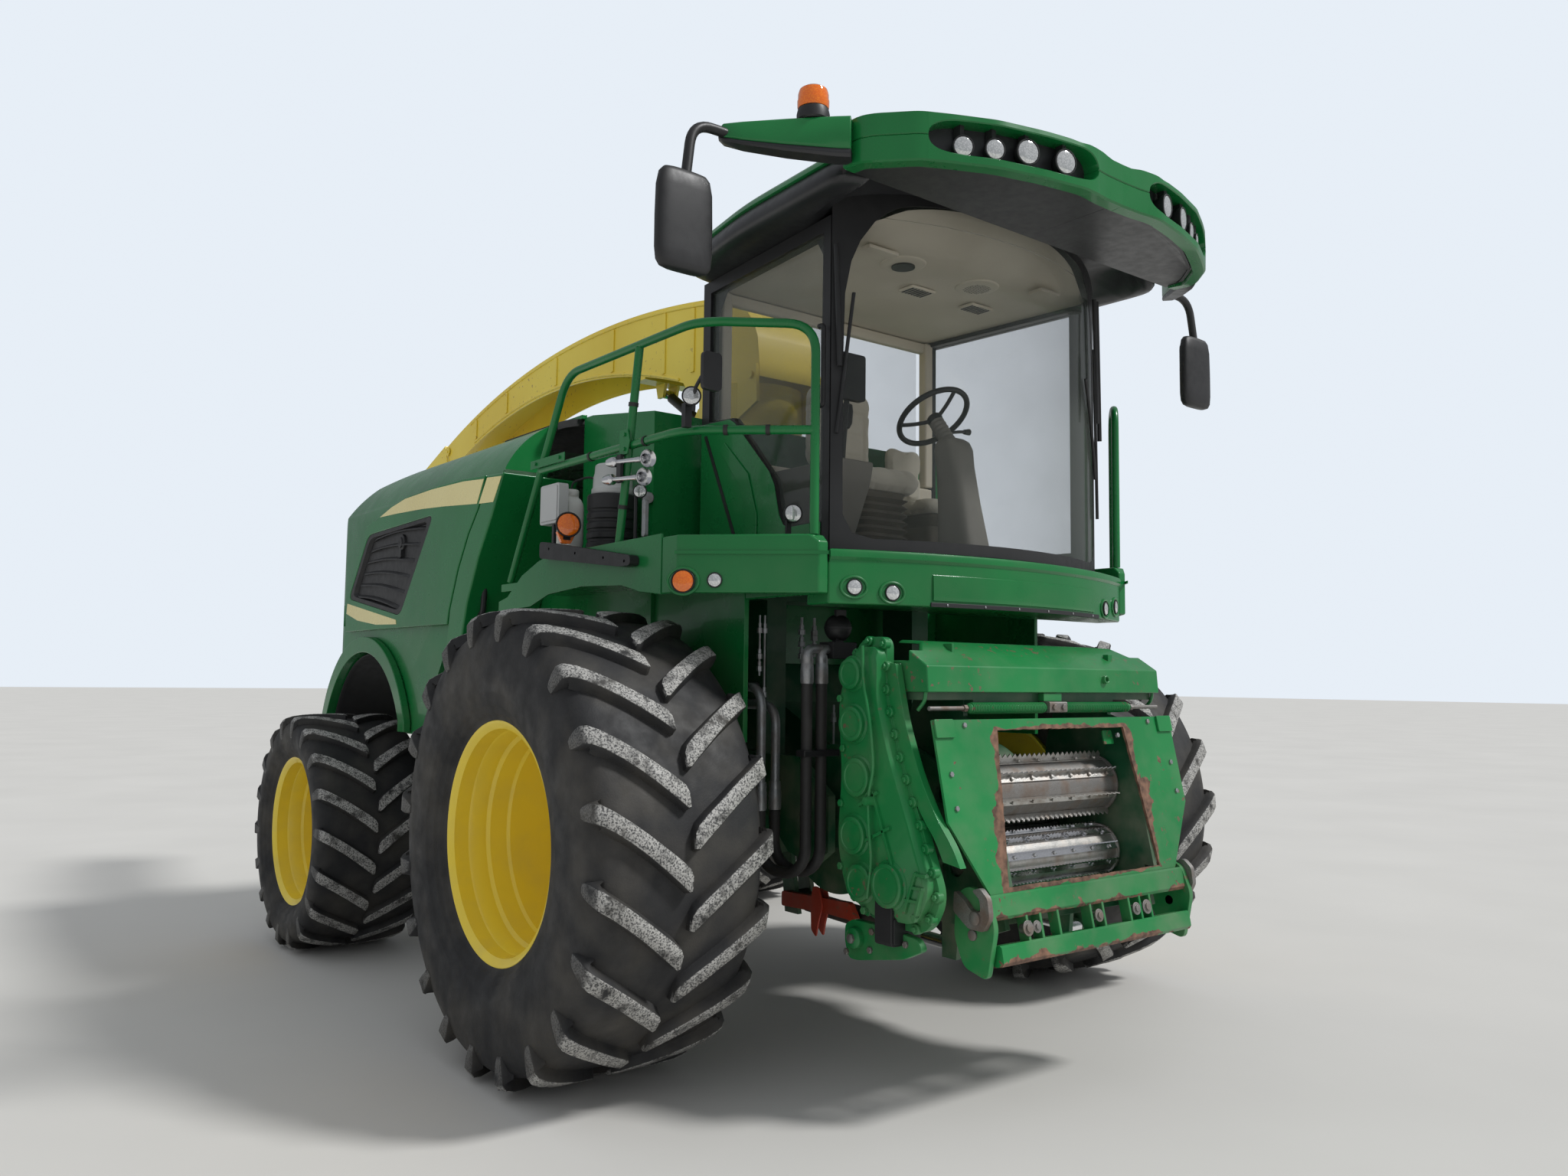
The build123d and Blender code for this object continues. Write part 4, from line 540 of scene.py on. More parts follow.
# Dressed node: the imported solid's triangles merged into whole faces, with small round edges
def dressNode(node, finish, body, bevel=0.004, crease=32.0, **more):
    source = frame["nodes"][node].data
    source.calc_loop_triangles()
    points = np.empty(len(source.vertices) * 3, np.float32)
    source.vertices.foreach_get("co", points)
    corners = np.empty(len(source.loop_triangles) * 3, np.int32)
    source.loop_triangles.foreach_get("vertices", corners)
    kept, inverse = np.unique(np.round(points.reshape(-1, 3), 5), axis=0, return_inverse=True)
    faces = inverse.ravel()[corners].reshape(-1, 3)
    whole = (faces[:, 0] != faces[:, 1]) & (faces[:, 1] != faces[:, 2]) & (faces[:, 2] != faces[:, 0])
    mesh = newMesh(node + "_skin", kept, [faces[whole]])
    tidyMesh(mesh, flatAngle=0.6)
    piece = bpy.data.objects.new(node + "_skin", mesh)
    bpy.context.scene.collection.objects.link(piece)
    return finishPiece(piece, finish, body, slotOf[node], crease, bevel, replaced=(node,), **more)


bodyOf = {node: body for body, group in frame["record"]["behaviour"]["bodies"].items() for node in group}
slotOf = {part["node"]: part["material_slot"] for part in frame["record"]["subparts"]}

# Nodes whose solid shape is already right: finish and edge radius
dressed = {
    # The frame, axles, knuckles, housings and crop duct take the darker green, painted shade under the machine
    "front_axle": ("frameGreenShaded", 0.006), "rear_axle": ("frameGreenShaded", 0.006),
    "chassis_frame": ("frameGreenShaded", 0.005), "engine_block": ("engineGrey", 0.012),
    "fuel_tanks": ("trimBlack", 0.012), "cutterhead_housing": ("frameGreenShaded", 0.004),
    "crop_duct": ("frameGreenShaded", 0.003), "hood_shell": ("bodyGreen", 0.006), "rear_fenders": ("bodyGreen", 0.006),
    "rear_grille": ("trimBlack", 0.003), "platforms": ("bodyGreen", 0.003), "front_apron": ("bodyGreen", 0.012),
    "cab_frame": ("frameBlack", 0.004), "cab_windows": ("cabGlass", 0.0), "cab_roof": ("roofBlack", 0.03),
    "roof_visor": ("bodyGreen", 0.010), "mirrors": ("trimBlack", 0.010), "railings": ("bodyGreen", 0.0),
    "seats": ("seatCloth", 0.04), "seat_bases": ("bellowsBrown", 0.02), "cab_controls": ("consoleGrey", 0.012),
    "lamps": ("clearLens", 0.006), "platform_equipment": ("trimBlack", 0.006),
    "hydraulic_block": ("pipeSteel", 0.003), "hydraulic_hoses": ("hoseRubber", 0.0),
    "safety_bar": ("lockRed", 0.003), "cab_door": ("frameBlack", 0.005), "cab_door_glass": ("cabGlass", 0.0),
    "service_door_right": ("bodyGreen", 0.008), "service_door_left": ("bodyGreen", 0.008),
    "side_grille_right": ("trimBlack", 0.004), "side_grille_left": ("trimBlack", 0.004),
    # The front plate, header bar, top cover, springs and gearbox take the lighter green, painted light on the sunlit
    # front
    "feed_housing": ("frameGreenShaded", 0.004), "feed_front_plate": ("headGreenLit", 0.004),
    "header_bar": ("headGreenLit", 0.004), "feed_top_cover": ("headGreenLit", 0.006),
    "feed_roll_springs": ("headGreenLit", 0.002), "gearbox_case": ("headGreenLit", 0.006),
    "feed_roll_upper_front": ("castSteel", 0.002), "feed_roll_lower_front": ("rollSteel", 0.002),
    "feed_roll_upper_rear": ("castSteel", 0.002), "feed_roll_lower_rear": ("rollSteel", 0.002),
    "lift_cylinder_barrels": ("frameBlack", 0.003), "lift_cylinder_rods": ("chrome", 0.002),
    "front_rim_right": ("wheelYellow", 0.0), "front_rim_left": ("wheelYellow", 0.0),
    "rear_rim_right": ("wheelYellow", 0.0), "rear_rim_left": ("wheelYellow", 0.0),
    "steering_knuckle_right": ("frameGreenShaded", 0.004), "steering_knuckle_left": ("frameGreenShaded", 0.004),
    "steering_tie_rod": ("frameBlack", 0.003), "spout_base": ("spoutYellow", 0.003),
    "spout_chute": ("spoutYellow", 0.003), "spout_flap": ("spoutYellow", 0.003),
    "spout_lift_barrel": ("frameBlack", 0.003), "spout_lift_rod": ("chrome", 0.002),
}
remade = set()                             # nodes that a piece below stands for

# Tyres. Carcass: a lathe of the section below. Lug: its cross-section is carried from the tread's middle to the
# shoulder and down the side; place = (x, -r sin a, r cos a), where the angle a leads at the nose
tyreLooks = {
    "front": dict(tip=0.985, half=0.395, lugs=20, reach=0.290, width=0.092, steps=160, label="front",
                  section=((0.338, 0.497), (0.349, 0.530), (0.362, 0.538), (0.366, 0.562), (0.378, 0.570),
                           (0.384, 0.620), (0.391, 0.628), (0.3935, 0.700), (0.393, 0.780), (0.386, 0.845),
                           (0.368, 0.893), (0.335, 0.922), (0.280, 0.935), (0.180, 0.941), (0.060, 0.944))),
    "rear": dict(tip=0.715, half=0.333, lugs=18, reach=0.235, width=0.080, steps=144, label="rear",
                 section=((0.278, 0.441), (0.290, 0.466), (0.301, 0.474), (0.305, 0.492), (0.316, 0.500),
                          (0.323, 0.535), (0.329, 0.541), (0.331, 0.585), (0.329, 0.620), (0.318, 0.645),
                          (0.296, 0.664), (0.250, 0.674), (0.170, 0.679), (0.060, 0.681))),
}


def carcassShape(look):
    outer = np.array(look["section"])
    left = outer * (-1, 1)
    inner = np.array([(-0.30, outer[0, 1] + 0.02), (0.30, outer[0, 1] + 0.02)]) * (look["half"] / 0.4, 1)
    profile = np.concatenate([left, outer[::-1], inner[::-1]])
    along, radius = profile.T
    angle = np.linspace(0, 2 * np.pi, look["steps"], endpoint=False)
    points = np.stack([np.broadcast_to(along, (len(angle), len(along))), -radius * np.sin(angle)[:, None],
                       radius * np.cos(angle)[:, None]], -1)
    return surfaceOf(points, roundRows=True, roundColumns=True)


def lugShapes(look, sign, first):
    tip, half = look["tip"], look["half"]
    stations = np.array([     # along: x share, angle share, top radius drop, base radius drop, half width share, x pull
        (0.015, 0.98, 0.004, 0.052, 0.34), (0.050, 0.90, 0.000, 0.052, 0.50), (0.16, 0.64, 0.000, 0.052, 0.50),
        (0.32, 0.30, 0.000, 0.052, 0.47), (0.50, -0.08, 0.001, 0.053, 0.45), (0.68, -0.43, 0.003, 0.056, 0.44),
        (0.84, -0.72, 0.008, 0.066, 0.44), (0.95, -0.90, 0.020, 0.090, 0.45), (0.995, -0.98, 0.045, 0.120, 0.46),
        (1.0, -1.02, 0.085, 0.160, 0.44), (0.999, -1.05, 0.125, 0.190, 0.36), (0.990, -1.07, 0.150, 0.200, 0.24)])
    share, turn, drop, root, wide = stations.T
    tall = np.array([0.0, 0.45, 0.90, 1.0, 1.0, 0.90, 0.45, 0.0])      # heights up the lug's flanks
    flank = np.array([-1.30, -1.12, -1.0, -0.86, 0.86, 1.0, 1.12, 1.30])
    radius = tip - root[:, None] + (root - drop)[:, None] * tall
    wrap = np.clip((share - 0.93) / 0.07, 0, 1)[:, None]                # past the shoulder the flanks lean on the side
    x = half * share[:, None] - wrap * (1 - tall) * 0.045
    radius = radius * (1 - wrap) + (tip - drop)[:, None] * wrap - wrap * (1 - tall) * 0.012
    angle = (turn * look["reach"] / 2)[:, None] / tip + flank * (wide * look["width"])[:, None] / tip
    spin = (np.arange(look["lugs"]) + first) * 2 * np.pi / look["lugs"]
    angle = angle[None] + spin[:, None, None]
    x = np.broadcast_to(sign * x, angle.shape)
    radius = np.broadcast_to(radius, angle.shape)
    points = np.stack([x, -radius * np.sin(angle), radius * np.cos(angle)], -1)
    rows, columns = points.shape[1:3]
    each = rows * columns
    start = np.arange(look["lugs"])[:, None, None] * each
    walls = (gridFaces(rows, columns, roundColumns=True)[None] + start).reshape(-1, 4)
    ends = np.array([np.arange(columns)[::-1], np.arange(columns) + (rows - 1) * columns])
    ends = (ends[None] + start).reshape(-1, columns)
    wear = np.broadcast_to((tall > 0.95) * np.where(share < 0.97, 1.0, 0.45)[:, None], angle.shape)
    return (points.reshape(-1, 3), [walls, ends]), wear.ravel()


def makeTyre(end, side, centre):
    look = tyreLooks[end]
    carcass = carcassShape(look)
    right, rightWear = lugShapes(look, 1, 0.25)
    left, leftWear = lugShapes(look, -1, 0.75)
    points, faces = joined(carcass, right, left)
    wear = np.concatenate([np.zeros(len(carcass[0])), rightWear, leftWear])
    piece = putPiece(f"{end}_tyre_{side}_rubber", (points + centre, faces), "tyre", f"{end}_wheel_{side}",
                     "tyre_rubber", attribute=("wear", wear), crease=50.0, replaced=(f"{end}_tyre_{side}",))
    tidyMesh(piece.data)
    remade.add(f"{end}_tyre_{side}")


# Rims: a lathe of (outward along the axle, radius), from the inner bead over the lip and the dish to the hub
rimLooks = {
    "front": dict(half=0.342, lip=0.510, seat=0.482, disc=-0.222),
    "rear": dict(half=0.282, lip=0.454, seat=0.426, disc=-0.152),
}


def makeRim(end, side, centre):
    look = rimLooks[end]
    outward = -1 if side == "right" else 1
    half, lip, seat, disc = look["half"], look["lip"], look["seat"], look["disc"]
    profile = np.array([
        (-half, seat - 0.012), (-half, seat), (half - 0.030, seat), (half - 0.022, lip - 0.008), (half - 0.012, lip),
        (half - 0.003, lip - 0.001), (half, lip - 0.007), (half - 0.004, lip - 0.018), (half - 0.020, seat - 0.012),
        (half - 0.085, seat - 0.014), (half - 0.095, seat - 0.020), (half - 0.165, seat - 0.024),
        (half - 0.178, seat - 0.040), (half - 0.255, seat - 0.046), (half - 0.268, seat - 0.056),
        (disc + 0.085, seat - 0.060), (disc + 0.050, seat - 0.074), (disc + 0.024, seat - 0.110),
        (disc + 0.020, seat - 0.150), (disc + 0.020, 0.210), (disc + 0.028, 0.200), (disc + 0.028, 0.118),
        (disc + 0.045, 0.108), (disc + 0.045, 0.0001), (disc, 0.0001), (disc, seat - 0.054),
        (-half + 0.02, seat - 0.030)])
    rim = lathe(profile, centre, (outward, 0, 0), steps=96, closeEnds=False)
    points, faces = rim
    step = np.arange(96)
    nextStep, last = (step + 1) % 96, 96 * (len(profile) - 1)
    faces = faces + [np.stack([step, nextStep, nextStep + last, step + last], -1)]
    angle = np.linspace(0, 2 * np.pi, 10, endpoint=False) + 0.2
    studs = np.stack([np.full(10, outward * (disc + 0.028)), 0.160 * np.cos(angle), 0.160 * np.sin(angle)], -1)
    nuts = boltHeads(studs + centre, (outward, 0, 0), 0.017, 0.022)
    putPiece(f"{end}_rim_{side}_steel", joined((points, faces), nuts), "wheelYellow", f"{end}_wheel_{side}",
             "yellow_paint", crease=28.0, bevel=0.0, replaced=(f"{end}_rim_{side}",))
    remade.add(f"{end}_rim_{side}")


for end in ("front", "rear"):
    for side in ("right", "left"):
        low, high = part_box(f"{end}_rim_{side}")
        middle = np.array((low + high) / 2) - (0, axleY, 0)
        makeTyre(end, side, middle)
        makeRim(end, side, middle)
print("wheels made")

# Hood side in front of the service door, filled from the wheel housing out to the side: outline points are (y, z)
hoodSide = dict(
    outline=((0.995, 2.728), (1.190, 2.738), (1.205, 2.715), (1.288, 2.575), (1.412, 2.444), (1.535, 2.261),
             (1.638, 2.039), (1.684, 1.747), (1.690, 1.500), (1.560, 1.500), (1.505, 1.700), (1.451, 1.928),
             (1.408, 2.062), (1.276, 2.307), (1.125, 2.512)),
    x=(-1.440, -1.002),
    stripe=((1.284, 2.594), (1.189, 2.723), (1.011, 2.710), (1.105, 2.584)),
    grip=((-1.352, 1.405, 2.205), (-1.352, 1.372, 2.190), (-1.352, 1.392, 2.020), (-1.352, 1.428, 2.006)),
)
front = prism(hoodSide["outline"], *hoodSide["x"])
putPiece("hood_side_fronts", bothSides(front), "bodyGreen", "chassis", slotOf["hood_shell"], bevel=0.012, segments=3)
putPiece("hood_front_stripes", bothSides(prism(hoodSide["stripe"], -1.4425, -1.4395)), "stripeCream", "chassis",
         slotOf["hood_shell"], bevel=0.001)
putPiece("hood_grips", bothSides(tubeOf(softPath(hoodSide["grip"], 0.02), 0.016, 10)), "trimBlack", "chassis",
         slotOf["rear_grille"])

# Service doors: a plate with a slanted hole, the cream stripe along its top and, below the hole, a pale strip that is a
# painted reflection.
# Louvre: each blade's section leans out and down, and its ends follow the hole's slanted sides
doorLook = dict(
    outline=((1.219, 2.740), (1.50, 2.757), (1.95, 2.764), (2.37, 2.756), (2.60, 2.727), (2.83, 2.680), (3.050, 2.640),
             (3.420, 2.160), (3.390, 1.962), (1.900, 1.962), (1.668, 1.962), (1.650, 2.039), (1.547, 2.261),
             (1.424, 2.444), (1.300, 2.575)),
    hole=((1.925, 2.600), (2.400, 2.035), (3.345, 2.180), (3.010, 2.580)),
    stripe=((1.311, 2.597), (1.230, 2.722), (1.50, 2.742), (1.95, 2.752), (2.37, 2.745), (2.60, 2.717), (2.80, 2.675),
            (2.50, 2.668), (2.10, 2.653), (1.761, 2.632)),
    # strip: a painted reflection, a pale sliver below the hole
    strip=((2.445, 1.984), (2.455, 2.012), (3.360, 2.150), (3.372, 2.082), (3.150, 2.030), (2.80, 1.992)),
    blades=6, bladeDepth=0.055,
)


def bearingsOf(points, centre):
    return np.arctan2(points[:, 1] - centre[1], points[:, 0] - centre[0])


def polarRing(points, centre, turns):      # where rays at the given turns round the centre meet a closed outline
    loop = np.concatenate([points, points[:1]])
    place = np.linspace(0, len(points), len(points) * 60, endpoint=False)
    dense = np.stack([np.interp(place, np.arange(len(loop)), loop[:, n]) for n in (0, 1)], -1)
    bearing = bearingsOf(dense, centre)
    order = np.argsort(bearing)
    return np.stack([np.interp(turns, bearing[order], dense[order, n], period=2 * np.pi) for n in (0, 1)], -1)


def makeDoor(side, sign):
    look = doorLook
    body = f"service_door_{side}"
    hole = np.array(look["hole"])
    centre = hole.mean(0)
    ring = roundRing(hole, 0.07, 7)
    edge = np.array(look["outline"])
    turns = np.unique(np.concatenate([bearingsOf(ring, centre), bearingsOf(edge, centre)]))
    rim, inner = polarRing(edge, centre, turns), polarRing(ring, centre, turns)
    plate = frameOf(rim, inner, -1.440, -1.411)
    stripe = prism(look["stripe"], -1.4425, -1.4395)
    # The pale strip below the hole is a painted reflection, drawn in the stripe's cream paint
    strip = prism(look["strip"], -1.4425, -1.4395)
    for name, shape, finish, wide in (("skin", plate, "bodyGreen", 0.006), ("stripe", stripe, "stripeCream", 0.001),
                                      ("strip", strip, "stripeCream", 0.001)):
        shape = shape if sign < 0 else mirrored(shape)
        putPiece(f"service_door_{side}_{name}", shape, finish, body, slotOf[body], bevel=wide,
                 replaced=(body,) if name == "skin" else ())
    # the grille's frame, its blades and a round camera on the upper part
    lip = centre + (ring - centre) * 0.995
    core = centre + (ring - centre) * 0.90
    back = centre + (ring - centre) * 0.86
    frame3 = [np.insert(points, 0, x, axis=1) for points, x in
              ((lip, -1.412), (lip, -1.437), (core, -1.437), (back, -1.413))]
    shapes = [surfaceOf(np.stack(frame3), roundRows=True, roundColumns=True)]
    panel = np.insert(centre + (ring - centre) * 0.90, 0, -1.4125, axis=1)
    shapes.append((panel, [np.arange(len(panel))[None]]))
    sections = np.array([(0.000, -0.004), (0.000, 0.014), (-0.020, 0.001), (-0.021, -0.007)])
    for n in range(look["blades"]):
        share = (n + 0.65) / look["blades"]
        low = hole[0] * (1 - share) + hole[1] * share
        high = hole[3] * (1 - share) + hole[2] * share
        middle = (low + high) / 2
        ends = np.array([middle + (low - middle) * 0.86, middle + (high - middle) * 0.86])
        bow = np.linspace(0, 1, 9)[:, None]
        path = ends[0] * (1 - bow) + ends[1] * bow + (0, 0.022) * np.sin(np.pi * bow)
        lean = 1.0 - 0.9 * (2 * bow - 1) ** 8
        blade = np.stack([np.broadcast_to(-1.414 + sections[:, 0] * lean, (9, 4)),
                          np.broadcast_to(path[:, :1], (9, 4)), path[:, 1:] + sections[:, 1]], -1)
        shapes.append(surfaceOf(blade, roundColumns=True, caps=True))
    eye = (-1.4135, 2.45, 2.485)
    shapes.append(lathe(((0, 0.052), (0.012, 0.050), (0.014, 0.034), (0.022, 0.031), (0.024, 0.020), (0.018, 0.0002)),
                        eye, (-1, 0, 0), 28))
    shapes.append(blocks([(-1.434, 2.430, 2.395, -1.412, 2.470, 2.440)]))
    whole = joined(*shapes)
    grille = f"side_grille_{side}"
    putPiece(grille + "_louvres", whole if sign < 0 else mirrored(whole), "trimBlack", bodyOf[grille], slotOf[grille],
             bevel=0.002, replaced=(grille,))
    remade.update((body, grille))


for side, sign in (("right", -1), ("left", 1)):
    makeDoor(side, sign)
print("doors made")

# Cooler openings on the hood's shoulders: the hood's section is an arc, z = sqrt(r^2 - (x - a)^2) + b
coolerLook = dict(x=(0.525, 1.145), y=(0.955, 1.645), fins=34, bars=(0.68, 0.84, 1.00), arc=(0.9505, 2.6198, 0.4701))


def shoulder(x):
    a, b, r = coolerLook["arc"]
    return np.where(x < 0.925, 3.075 + (0.925 - x) * 0.0216, b + np.sqrt(np.maximum(r * r - (x - a) ** 2, 0)))


def coolerShapes():
    look = coolerLook
    x = np.linspace(*look["x"], 14)
    top = shoulder(x)
    fins = []
    for y in np.linspace(look["y"][0] + 0.02, look["y"][1] - 0.02, look["fins"]):
        ring = np.concatenate([np.stack([x, top - 0.020], -1), np.stack([x, top - 0.060], -1)[::-1]])
        fins.append(prism(ring, y - 0.0025, y + 0.0025, "y"))
    sheet = np.stack([np.broadcast_to(x, (2, 14)), np.broadcast_to(np.array(look["y"])[:, None], (2, 14)),
                      np.broadcast_to(top - 0.062, (2, 14))], -1)
    fins.append(surfaceOf(sheet))
    bars = [prism([(x0 - 0.016, shoulder(x0 - 0.016) - 0.024), (x0 - 0.016, shoulder(x0 - 0.016) - 0.001),
                   (x0 + 0.016, shoulder(x0 + 0.016) - 0.001), (x0 + 0.016, shoulder(x0 + 0.016) - 0.024)],
                  look["y"][0] - 0.004, look["y"][1] + 0.004, "y") for x0 in look["bars"]]
    return joined(*fins), joined(*bars)


fins, bars = coolerShapes()
putPiece("cooler_fins", bothSides(fins), "trimBlack", "chassis", slotOf["rear_grille"], closed=False)
putPiece("cooler_bars", bothSides(bars), "bodyGreen", "chassis", slotOf["hood_shell"], bevel=0.003)

# Wheel arch liners: the arch's outline is an arc through its crown and its two springing points
archLook = dict(middle=3.0, half=0.667, spring=1.400, crown=1.817, low=1.345, x=(-1.400, -0.846))


def linerShape():
    look = archLook
    rise = look["crown"] - look["spring"]
    radius = (look["half"] ** 2 + rise ** 2) / (2 * rise)
    swing = math.asin(look["half"] / radius)
    turn = np.linspace(-swing, swing, 33)
    y = look["middle"] + radius * np.sin(turn)
    z = look["crown"] - radius + radius * np.cos(turn)
    y = np.concatenate([[look["middle"] - look["half"]], y, [look["middle"] + look["half"]]])
    z = np.concatenate([[look["low"]], z, [look["low"]]])
    x = np.linspace(*look["x"], 12)
    ridge = 0.004 * np.cos(np.arange(12) * np.pi)
    lift = np.stack([look["middle"] - y, look["spring"] - 0.3 - z], -1)
    lift /= np.linalg.norm(lift, axis=1)[:, None]
    points = np.stack([np.broadcast_to(x[None], (len(y), 12)), y[:, None] + lift[:, :1] * (0.006 + ridge),
                       z[:, None] + lift[:, 1:] * (0.006 + ridge)], -1)
    return surfaceOf(points)


putPiece("fender_liners", bothSides(linerShape()), "trimBlack", "chassis", slotOf["rear_grille"], closed=False,
         wall=-0.003)
print("hood made")

# Railings: softly bent tubes; joint plates and dark bands where they meet
railRadius = 0.019
railPaths = (
    ((-1.000, -0.995, 2.262), (-1.000, -0.995, 3.130), (-1.376, -0.690, 3.140), (-1.376, 0.440, 3.140),
     (-1.376, 1.004, 2.162)),
    ((-1.376, -0.070, 2.154), (-1.376, -0.230, 3.128)),
    ((-1.000, -0.995, 2.690), (-1.376, -0.600, 2.700), (-1.376, 0.690, 2.700)),
    ((1.000, -0.995, 2.262), (1.000, -0.995, 3.100), (1.180, -0.845, 3.100), (1.180, -0.845, 2.262)),
    ((1.375, 1.000, 2.152), (1.375, 1.000, 3.050), (1.375, 0.520, 3.050), (1.375, 0.520, 2.152)),
)
rails = joined(*(tubeOf(softPath(path, 0.12, 9) if len(path) > 2 else path, railRadius, 16) for path in railPaths))
putPiece("railing_tubes", rails, "bodyGreen", bodyOf["railings"], slotOf["railings"], crease=50, replaced=("railings",))
rungs = []
for n in range(6):
    z = 0.450 + n * 0.285
    y = 1.275 - (z - 0.450) / 1.660 * 0.155
    rungs.append((1.028, y - 0.070, z, 1.392, y + 0.060, z + 0.028))
steps = [prism(((1.0605, 2.109), (1.132, 2.109), (1.290, 0.420), (1.220, 0.420)), x, x + 0.020) for x in (1.010, 1.390)]
putPiece("ladder_left", joined(blocks(rungs), *steps), "frameBlack", bodyOf["railings"], slotOf["railings"],
         bevel=0.003, replaced=("railings",))
plates = [
    slab(((-0.030, -0.055), (0.038, -0.055), (0.058, 0.0), (0.038, 0.055), (-0.030, 0.055)), (-1.398, -0.150, 2.712),
         (0, -1, 0), (0, 0, 1), 0.006),
    slab(((-0.20, -0.012), (0.16, -0.012), (0.16, 0.030), (-0.20, 0.030)), (-1.398, 0.560, 2.722), (0, -1, 0),
         (0, 0, 1), 0.005),
]
bands = [lathe(((-0.009, 0.020), (-0.009, 0.0225), (0.009, 0.0225), (0.009, 0.020)), place, turn, 16, False)
         for place, turn in (((-1.376, -0.300, 2.700), (0, 1, 0)), ((-1.376, 0.180, 2.700), (0, 1, 0)),
                             ((-1.376, -0.115, 2.430), (0, -0.16, 0.974)), ((-1.376, -0.188, 2.880), (0, -0.16, 0.974)),
                             ((-1.133, -0.855, 2.6935), (0.69, -0.724, 0)), ((-1.255, -0.727, 2.6965), (0.69, -0.724, 0)))]
putPiece("railing_plates", joined(*plates, boltHeads([(-1.404, -0.165, 2.745), (-1.404, -0.165, 2.680),
                                                      (-1.404, 0.45, 2.732), (-1.404, 0.70, 2.732)],
                                                     (-1, 0, 0), 0.010, 0.008)),
         "bodyGreen", bodyOf["railings"], slotOf["railings"], bevel=0.0015)
putPiece("railing_bands", joined(*bands), "hoseRubber", bodyOf["railings"], slotOf["railings"], closed=False,
         wall=0.001)
remade.add("railings")
print("railings made")

# Roof: rings drawn in from the plan below, black with a green cap; the front of the underside is arched up by
# lift S(ahead) S(across), where S(s) = 3 s^2 - 2 s^3
roofLook = dict(
    plan=((0.925, 0.150), (-0.925, 0.150), (-1.035, -0.450), (-1.078, -1.262), (1.078, -1.262), (1.035, -0.450)),
    under=((3.643, 0.98), (3.643, 0.80), (3.643, 0.60), (3.643, 0.45), (3.643, 0.32), (3.643, 0.22), (3.642, 0.14),
           (3.642, 0.090), (3.646, 0.045), (3.658, 0.016), (3.680, 0.004), (3.715, 0.012), (3.755, 0.036),
           (3.775, 0.052)),
    upper=((3.770, 0.040), (3.774, 0.034), (3.795, 0.040), (3.818, 0.062), (3.833, 0.110), (3.8348, 0.200)),
    middle=(0.0, -0.505), lift=0.112, ceiling=3.766,
)


def smooth(share):
    share = np.clip(share, 0, 1)
    return share * share * (3 - 2 * share)


def roofRings(rows):
    look = roofLook
    ring = roundRing(look["plan"], 0.16, 7)
    ring = ring[None] + (np.roll(ring, -1, 0) - ring)[None] * np.array((0.0, 0.5))[:, None, None]
    ring = np.stack(ring, 1).reshape(-1, 2)
    middle = np.array(look["middle"])
    layers = []
    for z, inset in rows:
        place = middle + (ring - middle) * (1 - inset)
        rise = look["lift"] * smooth((-0.80 - place[:, 1]) / 0.30) * smooth((0.97 - np.abs(place[:, 0])) / 0.12)
        rise = rise * np.clip((look["ceiling"] - z) / (look["ceiling"] - 3.642), 0, 1)
        layers.append(np.insert(place, 2, z + rise, axis=1))
    return surfaceOf(np.stack(layers), roundColumns=True, caps=True)


putPiece("roof_body", roofRings(roofLook["under"]), "roofBlack", bodyOf["cab_roof"], slotOf["cab_roof"],
         replaced=("cab_roof",), crease=50)
putPiece("roof_cap", roofRings(roofLook["upper"]), "bodyGreen", bodyOf["cab_roof"], slotOf["cab_roof"],
         replaced=("cab_roof",), crease=50)
remade.add("cab_roof")

# The windscreen's bow is part of a circle: place(t) = (r sin at, c - r cos at) with t from -1 to 1
bowLook = dict(radius=1.635, centre=0.428, swing=0.5681)


def bowPoints(t, out=0.0):
    radius = bowLook["radius"] + out
    return np.stack([radius * np.sin(bowLook["swing"] * t), bowLook["centre"] - radius * np.cos(bowLook["swing"] * t)], -1)


# Black band printed round the windscreen, between its edge and an inner outline arched at the top, as (t, z)
archEdge = np.array([(0.0, 3.731), (0.15, 3.7308), (0.288, 3.729), (0.45, 3.722), (0.604, 3.709), (0.68, 3.692),
                     (0.741, 3.663), (0.80, 3.620), (0.868, 3.532), (0.91, 3.440), (0.938, 3.300), (0.945, 3.000)])


def screenBand():
    half = np.concatenate([[(0.0, 2.262), (0.80, 2.262), (0.90, 2.285), (0.942, 2.36), (0.945, 2.60)], archEdge[::-1]])
    outline = np.concatenate([half, (half * (-1, 1))[-2:0:-1]])
    outline = np.concatenate([outline, outline[:1]])
    share = np.linspace(0, len(outline) - 1, 12 * (len(outline) - 1) + 1)[:-1]
    inner = np.stack([np.interp(share, np.arange(len(outline)), outline[:, n]) for n in (0, 1)], -1)
    middle = np.array((0.0, 2.95))
    away = inner - middle
    reach = np.minimum(1.0 / np.maximum(np.abs(away[:, 0]), 1e-6),
                       np.where(away[:, 1] > 0, 3.762 - middle[1], middle[1] - 2.212) / np.maximum(np.abs(away[:, 1]), 1e-6))
    outer = middle + away * reach[:, None]
    rows = []
    for mix, out in ((0, 0.0015), (0.34, 0.0015), (0.67, 0.0015), (1, 0.0015), (1, -0.003), (0.67, -0.003), (0.34, -0.003),
                     (0, -0.003)):
        place = inner + (outer - inner) * mix
        rows.append(np.concatenate([bowPoints(place[:, 0], out), place[:, 1:]], 1))
    return surfaceOf(np.stack(rows), roundRows=True, roundColumns=True)


